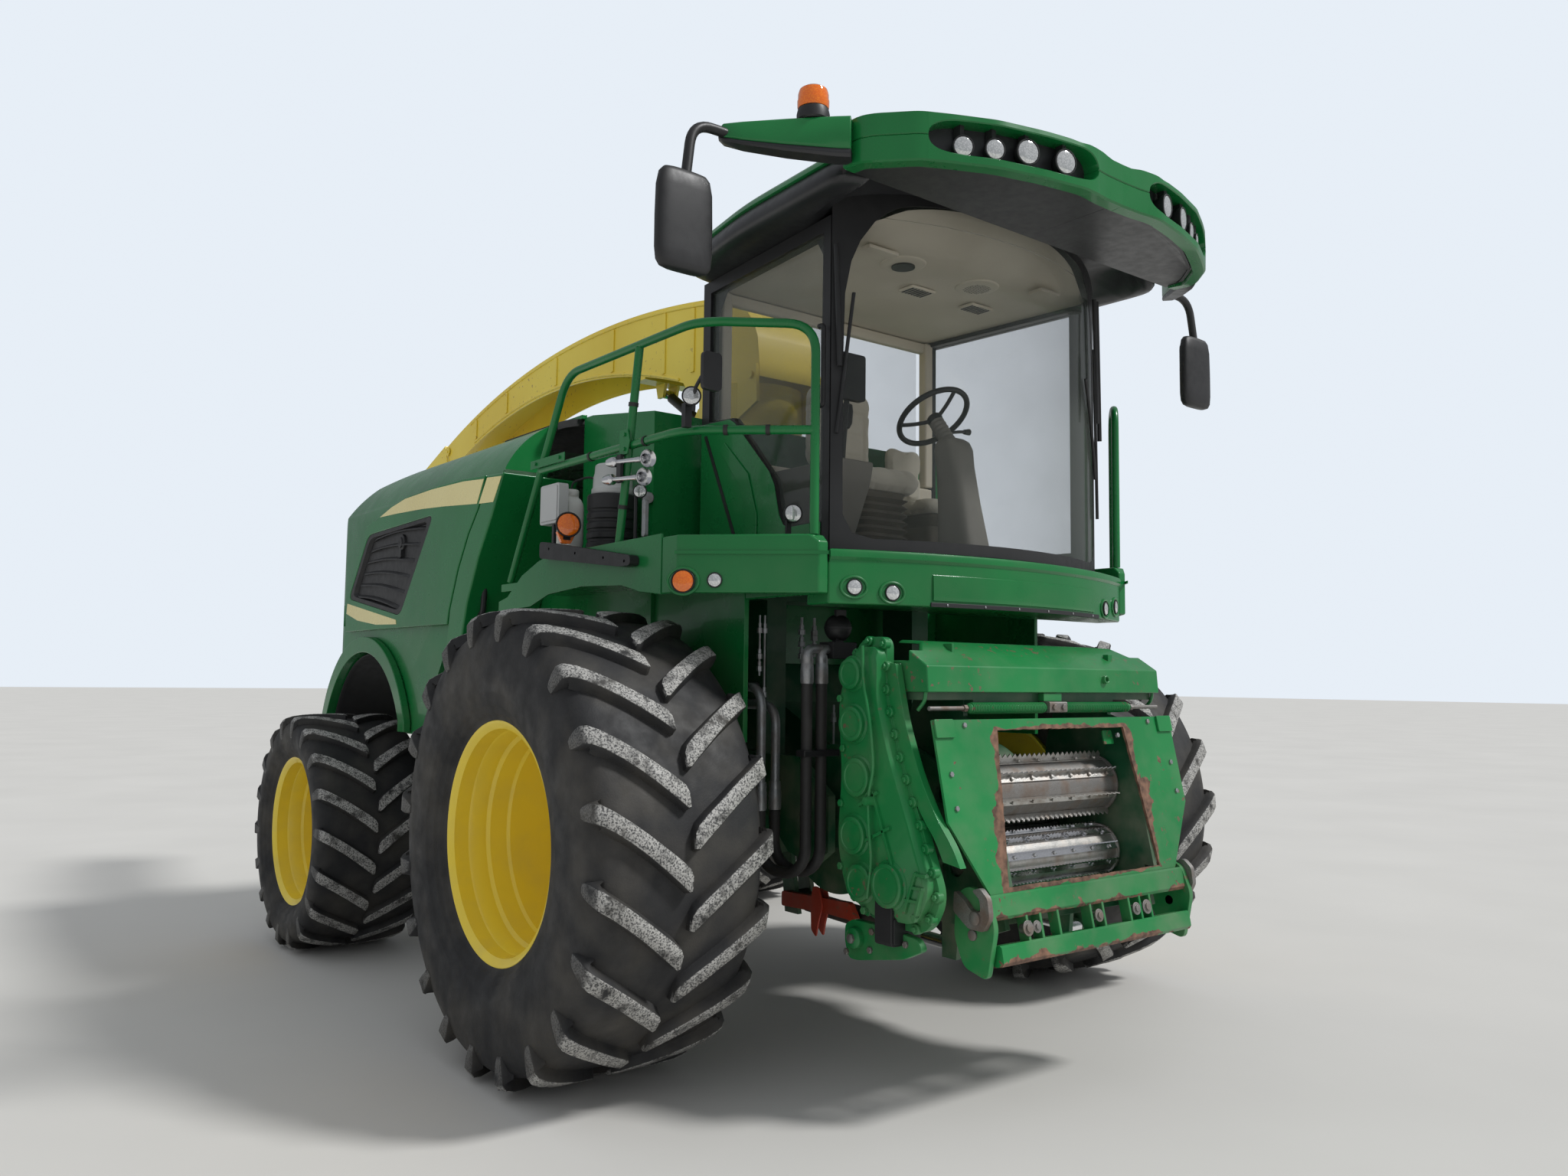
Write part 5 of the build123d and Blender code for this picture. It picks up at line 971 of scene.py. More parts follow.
putPiece("windscreen_band", screenBand(), "trimBlack", "chassis", slotOf["cab_frame"], crease=50)
t = np.linspace(-0.90, 0.90, 40)
rows = [np.concatenate([bowPoints(t, out), np.full((40, 1), z)], 1) for out, z in
        ((-0.004, 3.6405), (-0.004, 3.748), (0.0, 3.748), (0.0, 3.6405))]
putPiece("windscreen_head", surfaceOf(np.stack(rows, 1), roundColumns=True, caps=True), "cabGlass", "chassis",
         slotOf["cab_windows"], crease=50)
t = np.linspace(-1, 1, 33)
linerPlan = np.concatenate([bowPoints(t, -0.035), [(0.735, 0.100), (-0.735, 0.100)]])
linerMiddle = np.array((0.0, -0.50))
layers = []
for lower, share in ((0, 1.0), (1, 0.985), (1, 0.95), (1, 0.90), (1, 0.84), (1, 0.76), (1, 0.66), (1, 0.5), (1, 0.3),
                     (1, 0.02), (0, 0.02), (0, 0.5), (0, 0.84), (0, 0.95)):
    place = linerMiddle + (linerPlan - linerMiddle) * share
    rise = 0.125 * smooth((-0.90 - place[:, 1]) / 0.28) * smooth((0.80 - np.abs(place[:, 0])) / 0.25)
    layers.append(np.insert(place, 2, 3.618 + rise - 0.014 * lower, axis=1))
putPiece("headliner", surfaceOf(np.stack(layers), roundRows=True, roundColumns=True), "linerBeige", "chassis",
         slotOf["seat_bases"], crease=40)
pods = [lathe(((0, 0.0002), (0, 0.085), (0.006, 0.105), (0.016, 0.110), (0.022, 0.0002)), (x, -0.78, 3.592), (0, 0, 1), 40)
        for x in (-0.30, 0.20)]
trims = blocks([(x, -0.62, 3.586, x + 0.16, -0.52, 3.600) for x in (-0.08, 0.34)]
               + [(-0.62, -0.90, 3.575, -0.44, -0.84, 3.592), (0.42, -1.00, 3.578, 0.56, -0.92, 3.595)])
putPiece("headliner_pods", joined(*pods, trims), "linerBeige", "chassis", slotOf["seat_bases"], bevel=0.004)
u, v = np.meshgrid(np.arange(-6, 7), np.arange(-6, 7))
inside = u ** 2 + v ** 2 < 33
holes = np.stack([0.20 + u[inside] * 0.0115, -0.78 + v[inside] * 0.0115, np.full(inside.sum(), 3.5925)], -1)
slots = blocks([(x + n * 0.020, -0.61, 3.5835, x + n * 0.020 + 0.010, -0.53, 3.588) for x in (-0.07, 0.35) for n in range(7)])
putPiece("headliner_vents", joined(boltHeads(holes, (0, 0, -1), 0.0042, 0.001, 6), slots,
                                   lathe(((0, 0.0002), (0, 0.055), (0.01, 0.055), (0.01, 0.0002)), (-0.30, -0.78, 3.585),
                                         (0, 0, 1), 24)), "trimBlack", "chassis", slotOf["cab_controls"])

# Cab sides: local (run, z) on the side's plane, run from the front pillar to the rear
sideRun = np.array((0.100, 1.100)) / math.hypot(0.100, 1.100)
runLength = math.hypot(0.100, 1.100)


def cabSide(outline, low, high):           # a plate on the right side between two depths, outwards positive
    outline = np.asarray(outline, float)
    origin = np.array((-0.880, -0.950, 0.0))
    out = np.array((-sideRun[1], sideRun[0], 0.0))
    along = np.array((sideRun[0], sideRun[1], 0.0))
    ring = origin + outline[:, :1] * along + outline[:, 1:] * (0, 0, 1.0)
    return surfaceOf(np.stack([ring + low * out, ring + high * out]), roundColumns=True, caps=True)


sill = ((0.064, 2.214), (0.064, 2.336), (0.300, 2.336), (0.350, 2.352), (0.385, 2.400), (0.425, 2.540), (0.470, 2.606),
        (0.780, 2.882), (0.830, 2.908), (runLength - 0.004, 2.926), (runLength - 0.004, 2.214))
putPiece("cab_side_panel", cabSide(sill, 0.0005, 0.006), "bodyGreen", "chassis", slotOf["hood_shell"], bevel=0.003)
rib = cabSide(((0.560, 2.30), (0.640, 2.30), (0.700, 2.56), (0.900, 2.76), (0.860, 2.80), (0.640, 2.62), (0.560, 2.42)),
              0.0062, 0.014)
putPiece("cab_side_rib", rib, "bodyGreen", "chassis", slotOf["hood_shell"], bevel=0.0035, segments=3)
seal = cabSide(((1.040, 2.863), (1.066, 2.863), (0.772, 2.334), (0.746, 2.334)), 0.0063, 0.010)
posts = [cabSide(((0.066, 2.345), (0.110, 2.345), (0.100, 3.50), (0.150, 3.572), (0.066, 3.572)), -0.028, -0.0245),
         cabSide(((runLength - 0.075, 2.94), (runLength - 0.120, 2.94), (runLength - 0.110, 3.46),
                  (runLength - 0.20, 3.572), (runLength - 0.075, 3.572)), -0.028, -0.0245)]
grips = [tubeOf(softPath(np.array(((0, 0, 0), (0, -0.03, 0), (0, -0.03, 0.34), (0, 0, 0.34))) + place, 0.02), 0.011, 10)
         for place in ((-0.905, -0.900, 2.82),)]
putPiece("side_window_seals", joined(*posts, *grips, seal), "trimBlack", "chassis", slotOf["cab_frame"], bevel=0.001)
posts = blocks([(x, 0.045, 2.765, x + 0.060, 0.105, 3.598) for x in (-0.735, 0.675)]
               + [(-0.735, 0.050, 2.215, 0.735, 0.106, 2.760), (-0.735, 0.060, 3.540, 0.735, 0.105, 3.598)])
putPiece("cab_rear_liner", posts, "linerBeige", "chassis", slotOf["seat_bases"], bevel=0.012, segments=3)
floor = np.concatenate([bowPoints(t, -0.030), [(0.735, 0.040), (-0.735, 0.040)]])
putPiece("cab_floor_mat", prism(floor, 2.2105, 2.222, "z"), "trimBlack", "chassis", slotOf["cab_controls"], bevel=0.003)


# Wipers: an arm and a blade on the windscreen, as (t on the bow, z) runs
def wiperShapes(arm, blade, out=0.020):
    shapes = []
    for run, radius, lift in ((arm, 0.011, out + 0.014), (blade, 0.008, out)):
        steps = np.linspace(0, 1, 9)[:, None]
        line = np.asarray(run[0]) * (1 - steps) + np.asarray(run[1]) * steps
        path = np.concatenate([bowPoints(line[:, 0], lift), line[:, 1:]], 1)
        shapes.append(tubeOf(path, radius, 8))
    return shapes


wipers = wiperShapes(((-0.985, 3.50), (-0.965, 2.98)), ((-0.90, 3.30), (-0.975, 2.70)), 0.012)
wipers += wiperShapes(((0.86, 3.60), (0.93, 2.98)), ((0.70, 3.16), (0.95, 2.70)), 0.012)
wipers += wiperShapes(((0.90, 3.60), (0.99, 2.90)), ((0.885, 3.35), (0.975, 2.50)), 0.018)
putPiece("wipers", joined(*wipers), "trimBlack", "chassis", slotOf["cab_frame"])
print("cab shell made")

# Visor: bands above and below a long recess with rounded ends, carried along the plan; half opening
# h(s) = 0.066 (1 - |2s - 1|^8)^(1/2), where s runs over the recess
visorLook = dict(
    plan=((-1.113, -1.284), (-1.113, -1.372), (-1.085, -1.425), (-0.960, -1.556), (-0.840, -1.618), (-0.670, -1.696),
          (-0.460, -1.752), (-0.250, -1.790), (-0.180, -1.786), (-0.120, -1.778), (0.0, -1.775)),
    recess=(0.27, 0.87), middle=3.747, half=0.066, top=3.8415, low=3.645)


def visorShapes():
    look = visorLook
    plan = softPath(look["plan"], 0.03, 4)
    length = np.concatenate([[0], np.cumsum(np.linalg.norm(np.diff(plan, axis=0), axis=1))])
    turn = (1 - np.cos(np.pi * np.linspace(0, 1, 90))) / 2
    first, last = look["recess"]
    place = np.concatenate([np.linspace(0, first, 20)[:-1], first + (last - first) * turn, np.linspace(last, 1, 12)[1:]])
    place = place * length[-1]
    path = np.stack([np.interp(place, length, plan[:, n]) for n in (0, 1)], -1)
    share = place / length[-1]
    ahead = np.gradient(path, axis=0)
    ahead /= np.linalg.norm(ahead, axis=1)[:, None]
    inward = np.stack([-ahead[:, 1], ahead[:, 0]], -1)
    s = np.clip((share - first) / (last - first), 0, 1)
    gap = 0.0005 + look["half"] * np.sqrt(np.clip(1 - np.abs(2 * s - 1) ** 8, 0, 1))
    dip = 0.012 * np.clip((share - 0.90) / 0.05, 0, 1)
    rise = 0.0045 * np.exp(-((share - 0.79) / 0.03) ** 2)
    top, high, deep = look["top"] - dip - rise, look["middle"] + gap, look["middle"] - gap
    low = look["low"] + 0.012 * np.clip((0.12 - share) / 0.12, 0, 1)

    def carried(rows):
        layers = [np.concatenate([path + inward * np.broadcast_to(inset, share.shape)[:, None],
                                  np.broadcast_to(z, share.shape)[:, None]], 1) for inset, z in rows]
        return surfaceOf(np.stack(layers, 1), roundColumns=True, caps=True)

    upper = carried(((0.190, top - 0.004), (0.012, top), (0.002, top - 0.006), (0.0, high + 0.004), (0.004, high),
                     (0.075, high), (0.075, top - 0.016), (0.190, top - 0.016)))
    lower = carried(((0.004, deep), (0.0, deep - 0.004), (0.002, low + 0.006), (0.010, low), (0.060, low - 0.002),
                     (0.064, low + 0.006), (0.075, deep)))
    back = carried(((0.070, top - 0.018), (0.070, low + 0.012), (0.085, low + 0.012), (0.085, top - 0.018)))
    rim = path + inward * 0.058
    under = np.concatenate([rim, [(0.0, -1.268), (-1.058, -1.268)]])
    return upper, lower, back, under


upper, lower, back, under = visorShapes()
putPiece("visor_bands", bothSides(joined(upper, lower)), "bodyGreen", "chassis", slotOf["roof_visor"], crease=28,
         replaced=("roof_visor",))
slope = under + ((under[:-2].mean(0) * (0, 1) + (0, 0.42)) - under) * 0.30
slope = np.where((np.arange(len(under)) < len(under) - 2)[:, None], slope, under)
ceiling = [surfaceOf(np.stack([np.insert(under, 2, 3.664, axis=1), np.insert(slope, 2, 3.752, axis=1),
                               np.insert(slope, 2, 3.762, axis=1), np.insert(under, 2, 3.674, axis=1)]),
                     roundColumns=True, caps=True)]
putPiece("visor_top", bothSides(prism(under, 3.818, 3.8375, "z")), "bodyGreen", "chassis", slotOf["roof_visor"], bevel=0.004,
         replaced=("roof_visor",))
putPiece("visor_inside", bothSides(joined(back, *ceiling)), "roofBlack", "chassis", slotOf["cab_roof"], crease=28,
         replaced=("roof_visor",))
grip = softPath(((-0.60, -1.52, 3.720), (-0.58, -1.53, 3.680), (-0.18, -1.62, 3.680), (-0.16, -1.61, 3.720)), 0.03)
putPiece("visor_grips", bothSides(tubeOf(grip, 0.011, 10)), "trimBlack", "chassis", slotOf["cab_roof"])
remade.add("roof_visor")

# Mirror wing: four-sided sections from the visor out to its tip; mirrors: stacked rounded rings with a glass behind
wingRows = np.array([     # x, y of the middle line, half thickness, low z, high z
    (1.122, -1.346, 0.040, 3.664, 3.829), (1.160, -1.306, 0.044, 3.668, 3.829), (1.300, -1.165, 0.042, 3.700, 3.8285),
    (1.420, -1.045, 0.036, 3.734, 3.827), (1.478, -0.998, 0.028, 3.752, 3.822), (1.494, -0.985, 0.014, 3.768, 3.806)])


def wingShape(low, high):                  # the share of the section's height that this piece takes
    x, y, half, z0, z1 = wingRows.T
    line = np.stack([x, y], -1)
    ahead = np.gradient(line, axis=0)
    ahead /= np.linalg.norm(ahead, axis=1)[:, None]
    out = np.stack([ahead[:, 1], -ahead[:, 0]], -1)
    corners = []
    for side, share in ((-1.0, low + 0.06), (-1.0, high - 0.10), (-0.80, high), (0.80, high), (1.0, high - 0.10),
                        (1.0, low + 0.06), (0.85, low), (-0.85, low)):
        corners.append(np.concatenate([line + out * (half * side)[:, None], (z0 + (z1 - z0) * share)[:, None]], 1))
    return surfaceOf(np.stack(corners, 1), roundColumns=True, caps=True)


hinge = lathe(((-0.080, 0.0002), (-0.080, 0.019), (0.078, 0.019), (0.078, 0.0002)), (-1.112, -1.318, 3.748), (0, 0, 1), 20)
putPiece("mirror_wing_hinges", bothSides(hinge), "trimBlack", "chassis", slotOf["cab_frame"])
putPiece("mirror_wings", bothSides(wingShape(0.20, 1.0)), "bodyGreen", "chassis", slotOf["roof_visor"], crease=40,
         bevel=0.003, replaced=("mirrors",))
putPiece("mirror_wing_undersides", bothSides(wingShape(0.0, 0.22)), "roofBlack", "chassis", slotOf["cab_roof"],
         crease=40, replaced=("mirrors",))
arm = softPath(((1.450, -1.012, 3.788), (1.640, -1.020, 3.780), (1.672, -1.030, 3.555)), 0.11, 9)
shell = np.array([(3.186, 0.070, 0.018), (3.194, 0.092, 0.027), (3.215, 0.104, 0.033), (3.260, 0.109, 0.0345),
                  (3.380, 0.1095, 0.0345), (3.500, 0.107, 0.0335), (3.550, 0.098, 0.029), (3.568, 0.084, 0.022),
                  (3.5745, 0.060, 0.012)])
rows = np.stack([np.full(9, 1.677), np.full(9, -1.030), shell[:, 0], 1.12 * shell[:, 1], shell[:, 2]], -1)
putPiece("mirror_shells", bothSides(joined(stackOf(rows, 3.2, 40), tubeOf(arm, 0.020, 14))), "trimBlack", "chassis",
         slotOf["mirrors"], crease=50, replaced=("mirrors",))
glassRing = roundRing(((-0.092, -0.165), (0.092, -0.165), (0.092, 0.165), (-0.092, 0.165)), 0.045, 6)
putPiece("mirror_glasses", bothSides(slab(glassRing, (1.677, -0.9962, 3.380), (-1, 0, 0), (0, 0, 1), 0.0012)), "mirrorGlass",
         "chassis", slotOf["mirrors"])
remade.add("mirrors")
print("roof, visor and mirrors made")

# Lamps: place of the lens, the way it looks, lens radius, depth of the bowl behind it, lens finish; those in single
# stand on the right only
single = ((-1.403, -0.690, 2.822), (-1.212, 0.014, 2.535))
lampRows = [
    ((-0.785, -1.612, 3.726), (-0.45, -0.88, -0.08), 0.040, 0.050, "clearLens"),
    ((-0.662, -1.664, 3.732), (-0.38, -0.92, -0.08), 0.040, 0.050, "clearLens"),
    ((-0.525, -1.712, 3.744), (-0.30, -0.95, -0.06), 0.048, 0.055, "clearLens"),
    ((-0.345, -1.752, 3.742), (-0.22, -0.97, -0.06), 0.048, 0.055, "clearLens"),
    ((-0.985, -0.838, 2.365), (-0.40, -0.90, 0.0), 0.037, 0.050, "clearLens"),
    ((-1.403, -0.690, 2.822), (-0.55, -0.83, 0.0), 0.037, 0.050, "clearLens"),
    ((-1.432, 0.286, 2.386), (-0.30, -0.95, 0.0), 0.055, 0.056, "amberLens"),
    ((-1.3965, -0.6415, 2.068), (-0.723, -0.692, 0.0), 0.046, 0.030, "amberLens"),
    ((-1.3060, -0.7360, 2.072), (-0.723, -0.692, 0.0), 0.029, 0.025, "clearLens"),
    ((-0.8620, -1.0870, 2.050), (-0.40, -0.915, 0.0), 0.031, 0.025, "clearLens"),
    ((-0.7040, -1.1440, 2.032), (-0.34, -0.940, 0.0), 0.031, 0.025, "clearLens"),
    ((-1.212, 0.014, 2.535), (-0.60, -0.80, 0.0), 0.030, 0.030, "clearLens"),
]
bowls, lenses = [], {"clearLens": [], "amberLens": []}
for place, look, radius, depth, finish in lampRows:
    spreadOut = (lambda shape: shape) if place in single else bothSides
    bowls.append(spreadOut(lathe(((-depth, 0.0002), (-depth, 0.45 * radius), (-depth * 0.75, 0.80 * radius), (-0.010, 1.06 * radius),
                        (0.003, 1.10 * radius), (0.006, 1.05 * radius), (0.006, 0.99 * radius), (0.0, 0.96 * radius),
                        (0.0, 0.0002)), place, look, 28)))
    lenses[finish].append(spreadOut(lathe(((0.0005, 0.0002), (0.0005, 0.95 * radius), (0.004, 0.93 * radius),
                                           (0.008, 0.70 * radius), (0.0095, 0.35 * radius), (0.0098, 0.0002)), place, look, 28)))
clips = blocks([(x - 0.011, y - 0.004, 3.770, x + 0.011, y + 0.030, 3.815) for x, y in
                ((-0.785, -1.602), (-0.662, -1.654), (-0.525, -1.702), (-0.345, -1.742))])
clips = joined(clips, blocks([(-0.997, -0.812, 2.262, -0.973, -0.800, 2.340), (-1.002, -0.830, 2.256, -0.968, -0.780, 2.268),
                              (-1.450, 0.296, 2.315, -1.414, 0.330, 2.350)]))
stems = joined(blocks([(-1.412, -0.660, 2.700, -1.380, -0.632, 2.800)]),
               tubeOf(((-1.216, 0.040, 2.1505), (-1.216, 0.040, 2.520)), 0.009, 10))
putPiece("lamp_bowls", joined(*bowls, bothSides(clips), stems), "trimBlack", bodyOf["lamps"], slotOf["cab_frame"],
         replaced=("lamps",))
putPiece("lamp_lenses", joined(*lenses["clearLens"]), "clearLens", bodyOf["lamps"], slotOf["lamps"],
         replaced=("lamps",))
amber = lenses["amberLens"] + [bothSides(slab(roundRing(((-0.050, -0.02), (0.050, -0.02), (0.022, -0.075), (-0.022, -0.075)), 0.01),
                                    (-1.432, 0.300, 2.372), (1, 0, 0), (0, 0, 1), -0.018))]
dome = lathe(((0.052, 0.0002), (0.053, 0.0600), (0.060, 0.0620), (0.085, 0.0625), (0.087, 0.0600), (0.110, 0.0600),
              (0.128, 0.055), (0.137, 0.042), (0.1395, 0.0002)),
             (-1.216, -1.226, 3.8304), (0, 0, 1), 36)
putPiece("amber_lenses", joined(*amber, dome), "amberLens", bodyOf["lamps"], slotOf["lamps"],
         replaced=("lamps",))
base = lathe(((0.0, 0.0002), (0.0, 0.058), (0.006, 0.0645), (0.030, 0.0650), (0.050, 0.0600), (0.052, 0.0002)),
             (-1.216, -1.226, 3.8304), (0, 0, 1), 36)
putPiece("beacon_base", base, "trimBlack", bodyOf["lamps"], slotOf["lamps"], replaced=("lamps",))
remade.add("lamps")
print("lamps made")

# Cushion: a rounded block, remeshed and blown up as cloth for 20 frames; no point moves further than the cap, and
# the solid's box holds it in. Channel: depth e^-(d / width)^2 pressed in along its line
def readPoints(mesh):
    points = np.empty(len(mesh.vertices) * 3, np.float32)
    mesh.vertices.foreach_get("co", points)
    return points.reshape(-1, 3).astype(float)


def swollen(shape, voxel, cap):
    scene = bpy.context.scene
    mesh = newMesh("pad", *shape)
    tidyMesh(mesh)
    pad = bpy.data.objects.new("pad", mesh)
    scene.collection.objects.link(pad)
    remesh = pad.modifiers.new("remesh", "REMESH")
    remesh.mode = "VOXEL"
    remesh.voxel_size = voxel
    scene.frame_set(1)
    even = bpy.data.meshes.new_from_object(pad.evaluated_get(bpy.context.evaluated_depsgraph_get()))
    pad.modifiers.clear()
    pad.data = even
    points = readPoints(even)
    cloth = pad.modifiers.new("cloth", "CLOTH")
    cloth.settings.use_pressure = True
    cloth.settings.uniform_pressure_force = 4.0
    cloth.settings.effector_weights.gravity = 0.0
    for step in range(1, 21):
        scene.frame_set(step)
    grown = readPoints(pad.evaluated_get(bpy.context.evaluated_depsgraph_get()).data)
    move = grown - points
    length = np.maximum(np.linalg.norm(move, axis=1), 1e-9)[:, None]
    points = points + move * np.minimum(1, cap / length)
    pad.modifiers.clear()
    scene.frame_set(1)
    corners = np.empty(len(even.loops), np.int32)
    even.loops.foreach_get("vertex_index", corners)
    sizes = np.empty(len(even.polygons), np.int32)
    even.polygons.foreach_get("loop_total", sizes)
    faces = [corners.reshape(-1, 4)] if (sizes == 4).all() else [corners[np.repeat(sizes, sizes) == 4].reshape(-1, 4),
                                                                 corners[np.repeat(sizes, sizes) == 3].reshape(-1, 3)]
    bpy.data.objects.remove(pad)
    return points, faces


# low and high: the box; channels: (axis, place, depth, width, low, high of the other)
cushions = {
    "driver_seat_cushion": dict(low=(-0.255, -0.428, 2.622), high=(0.255, 0.055, 2.738), flat="z", voxel=0.008,
                                channels=(("x", -0.150, 0.010, 0.010, -0.36, 0.1), ("x", 0.150, 0.010, 0.010, -0.36, 0.1),
                                          ("y", -0.130, 0.007, 0.009, -0.150, 0.150),
                                          ("y", -0.345, 0.008, 0.009, -0.255, 0.255))),
    "driver_seat_back": dict(low=(-0.235, -0.028, 2.742), high=(0.235, 0.078, 3.246), flat="y", voxel=0.008,
                             channels=(("x", -0.140, 0.010, 0.010, 2.74, 3.08), ("x", 0.140, 0.010, 0.010, 2.74, 3.08),
                                       ("z", 2.860, 0.007, 0.009, -0.140, 0.140), ("z", 2.970, 0.007, 0.009, -0.140, 0.140),
                                       ("z", 3.085, 0.010, 0.010, -0.235, 0.235))),
    "second_seat_cushion": dict(low=(0.332, -0.328, 2.562), high=(0.658, 0.006, 2.638), flat="z", voxel=0.006,
                                channels=(("y", -0.160, 0.006, 0.008, 0.33, 0.66),)),
    "second_seat_back": dict(low=(0.348, 0.012, 2.642), high=(0.642, 0.078, 2.978), flat="y", voxel=0.006,
                             channels=(("z", 2.800, 0.006, 0.008, 0.34, 0.65),)),
}


def cushionShape(look):                    # rings pulled in towards both faces, a little smaller than the box
    low, high = (np.array(look[key]) for key in ("low", "high"))
    middle, half = (low + high) / 2, (high - low) / 2 - 0.010
    flat = "xyz".index(look["flat"])
    wide = [n for n in range(3) if n != flat]
    rows = np.array([(-1.0, 0.80), (-0.92, 0.90), (-0.60, 0.975), (0.0, 1.0), (0.60, 0.975), (0.92, 0.90), (1.0, 0.80)])
    angle = np.linspace(0, 2 * np.pi, 64, endpoint=False)
    u, v = (np.sign(f(angle)) * np.abs(f(angle)) ** (2 / 5.5) for f in (np.cos, np.sin))
    points = np.empty((len(rows), 64, 3))
    points[:, :, wide[0]] = middle[wide[0]] + half[wide[0]] * rows[:, 1:] * u
    points[:, :, wide[1]] = middle[wide[1]] + half[wide[1]] * rows[:, 1:] * v
    points[:, :, flat] = middle[flat] + half[flat] * rows[:, :1]
    return surfaceOf(points, roundColumns=True, caps=True)


def cushionSeams(points, look):
    low, high = (np.array(look[key]) for key in ("low", "high"))
    points = np.clip(points, low, high)
    flat = "xyz".index(look["flat"])
    front = 1.0 if look["flat"] == "z" else -1.0
    side = smooth((points[:, flat] - (low + high)[flat] / 2) * front / ((high - low)[flat] * 0.35))
    for axis, place, depth, width, first, last in look["channels"]:
        along = "xyz".index(axis)
        other = [n for n in range(3) if n not in (flat, along)][0]
        away = np.maximum(np.abs(points[:, along] - place) - 0.0, 0)
        ends = smooth((points[:, other] - first) / 0.02) * smooth((last - points[:, other]) / 0.02)
        points[:, flat] -= front * side * ends * depth * np.exp(-(away / width) ** 2)
    return points


for name, look in cushions.items():
    points, faces = swollen(cushionShape(look), look["voxel"], 0.022)
    piece = putPiece(name, (cushionSeams(points, look), faces), "seatCloth", "chassis", slotOf["seats"], crease=80,
                     replaced=("seats",))
    smoothed = piece.modifiers.new("smooth", "SUBSURF")
    smoothed.levels = smoothed.render_levels = 1
remade.add("seats")
print("seats made")

# Under the seats: a pleated bellows, whose rings turn in and out, and a plain foot
level = np.linspace(2.236, 2.585, 19)
inward = np.where(np.arange(19) % 2 == 0, 0.0, 0.026)
bellows = np.stack([np.zeros(19), np.full(19, -0.170), level, 0.172 - inward, 0.202 - inward], -1)
ends = lambda z, x, y: (0.0, -0.170, z, x, y)
rows = [ends(2.2108, 0.170, 0.200), ends(2.232, 0.174, 0.205)] + list(bellows) + [ends(2.590, 0.150, 0.180),
                                                                                ends(2.619, 0.160, 0.190)]
second = [(0.50, -0.11, z, x, y) for z, x, y in ((2.2108, 0.110, 0.160), (2.250, 0.100, 0.150), (2.300, 0.070, 0.120),
                                                 (2.500, 0.070, 0.120), (2.545, 0.112, 0.160), (2.5595, 0.115, 0.165))]
putPiece("seat_bellows", joined(stackOf(rows, 6.0, 48), stackOf(second, 5.0, 32)), "bellowsBrown", "chassis",
         slotOf["seat_bases"], crease=25, replaced=("seat_bases",))
remade.add("seat_bases")

# Column, boot and console; the wheel's ring is a circle about the shaft, with three curved spokes
shaft = np.array((0.0, 0.591, 0.806)) / math.hypot(0.591, 0.806)
hub = np.array((0.0, -0.680, 2.945))
wheelUp = np.array((0.0, 0.806, -0.591)) / math.hypot(0.591, 0.806)
column = [(0.0, (front + back) / 2, z, half, (back - front) / 2) for front, back, z, half in
          ((-1.005, -0.765, 2.2108, 0.088), (-0.985, -0.765, 2.30, 0.084), (-0.940, -0.760, 2.50, 0.072),
           (-0.900, -0.750, 2.68, 0.072), (-0.885, -0.745, 2.76, 0.080), (-0.865, -0.755, 2.80, 0.074),
           (-0.840, -0.770, 2.818, 0.050))]
along = np.linspace(-0.190, -0.040, 13)
boot = lathe([(-0.20, 0.0002)] + [(a, 0.040 - 0.006 * (n % 2)) for n, a in enumerate(along)] + [(-0.030, 0.0002)], hub, shaft, 28)
console = prism(roundRing(((-0.615, 2.695), (-0.065, 2.695), (-0.065, 2.562), (-0.125, 2.2108), (-0.415, 2.2108),
                           (-0.595, 2.600)), 0.035), -0.515, -0.325)
putPiece("steering_column", joined(stackOf(column, 4.5, 36), boot, console), "consoleGrey", "chassis",
         slotOf["cab_controls"], crease=30, bevel=0.006, replaced=("cab_controls",))
circle = circleOf(64, 0.178)
ring = hub + circle[:, :1] * (1.0, 0, 0) + circle[:, 1:] * wheelUp
spokes = []
for turn in (0.0, 2.1, 4.2):
    out = math.sin(turn) * np.array((1.0, 0, 0)) - math.cos(turn) * wheelUp
    s = np.linspace(0, 1, 9)[:, None]
    spokes.append(tubeOf(hub - shaft * 0.022 * (1 - s ** 2) + out * (0.030 + 0.146 * s), 0.0095, 8))
pad = lathe(((-0.040, 0.0002), (-0.040, 0.034), (-0.016, 0.040), (-0.006, 0.036), (-0.002, 0.0002)), hub, shaft, 32)
stalk = tubeOf(((0.06, -0.74, 2.868), (0.13, -0.735, 2.882), (0.165, -0.733, 2.886)), 0.008, 8)
knob = lathe(((0.0, 0.0002), (0.0, 0.012), (0.035, 0.016), (0.040, 0.0002)), (0.160, -0.733, 2.8855), (1, 0.06, 0.12), 16)
lever = tubeOf(softPath(((-0.42, -0.50, 2.690), (-0.42, -0.51, 2.80), (-0.43, -0.53, 2.86)), 0.05), 0.011, 10)
grip = stackOf([(-0.432, -0.535, z, x, y) for z, x, y in ((2.850, 0.014, 0.018), (2.875, 0.026, 0.030),
                                                          (2.930, 0.030, 0.034), (2.962, 0.026, 0.030),
                                                          (2.972, 0.012, 0.014))], 2.6, 24)
post = tubeOf(((-0.480, -0.560, 2.690), (-0.480, -0.600, 3.010)), 0.0135, 12)
screen = prism(roundRing(((-0.558, 2.962), (-0.402, 2.962), (-0.402, 3.178), (-0.558, 3.178)), 0.016), -0.638, -0.602, "y")
putPiece("steering_wheel", joined(tubeOf(ring, 0.0138, 12, closed=True), pad, *spokes, stalk, knob, lever, grip, post, screen),
         "trimBlack", "chassis", slotOf["cab_controls"], replaced=("cab_controls",))
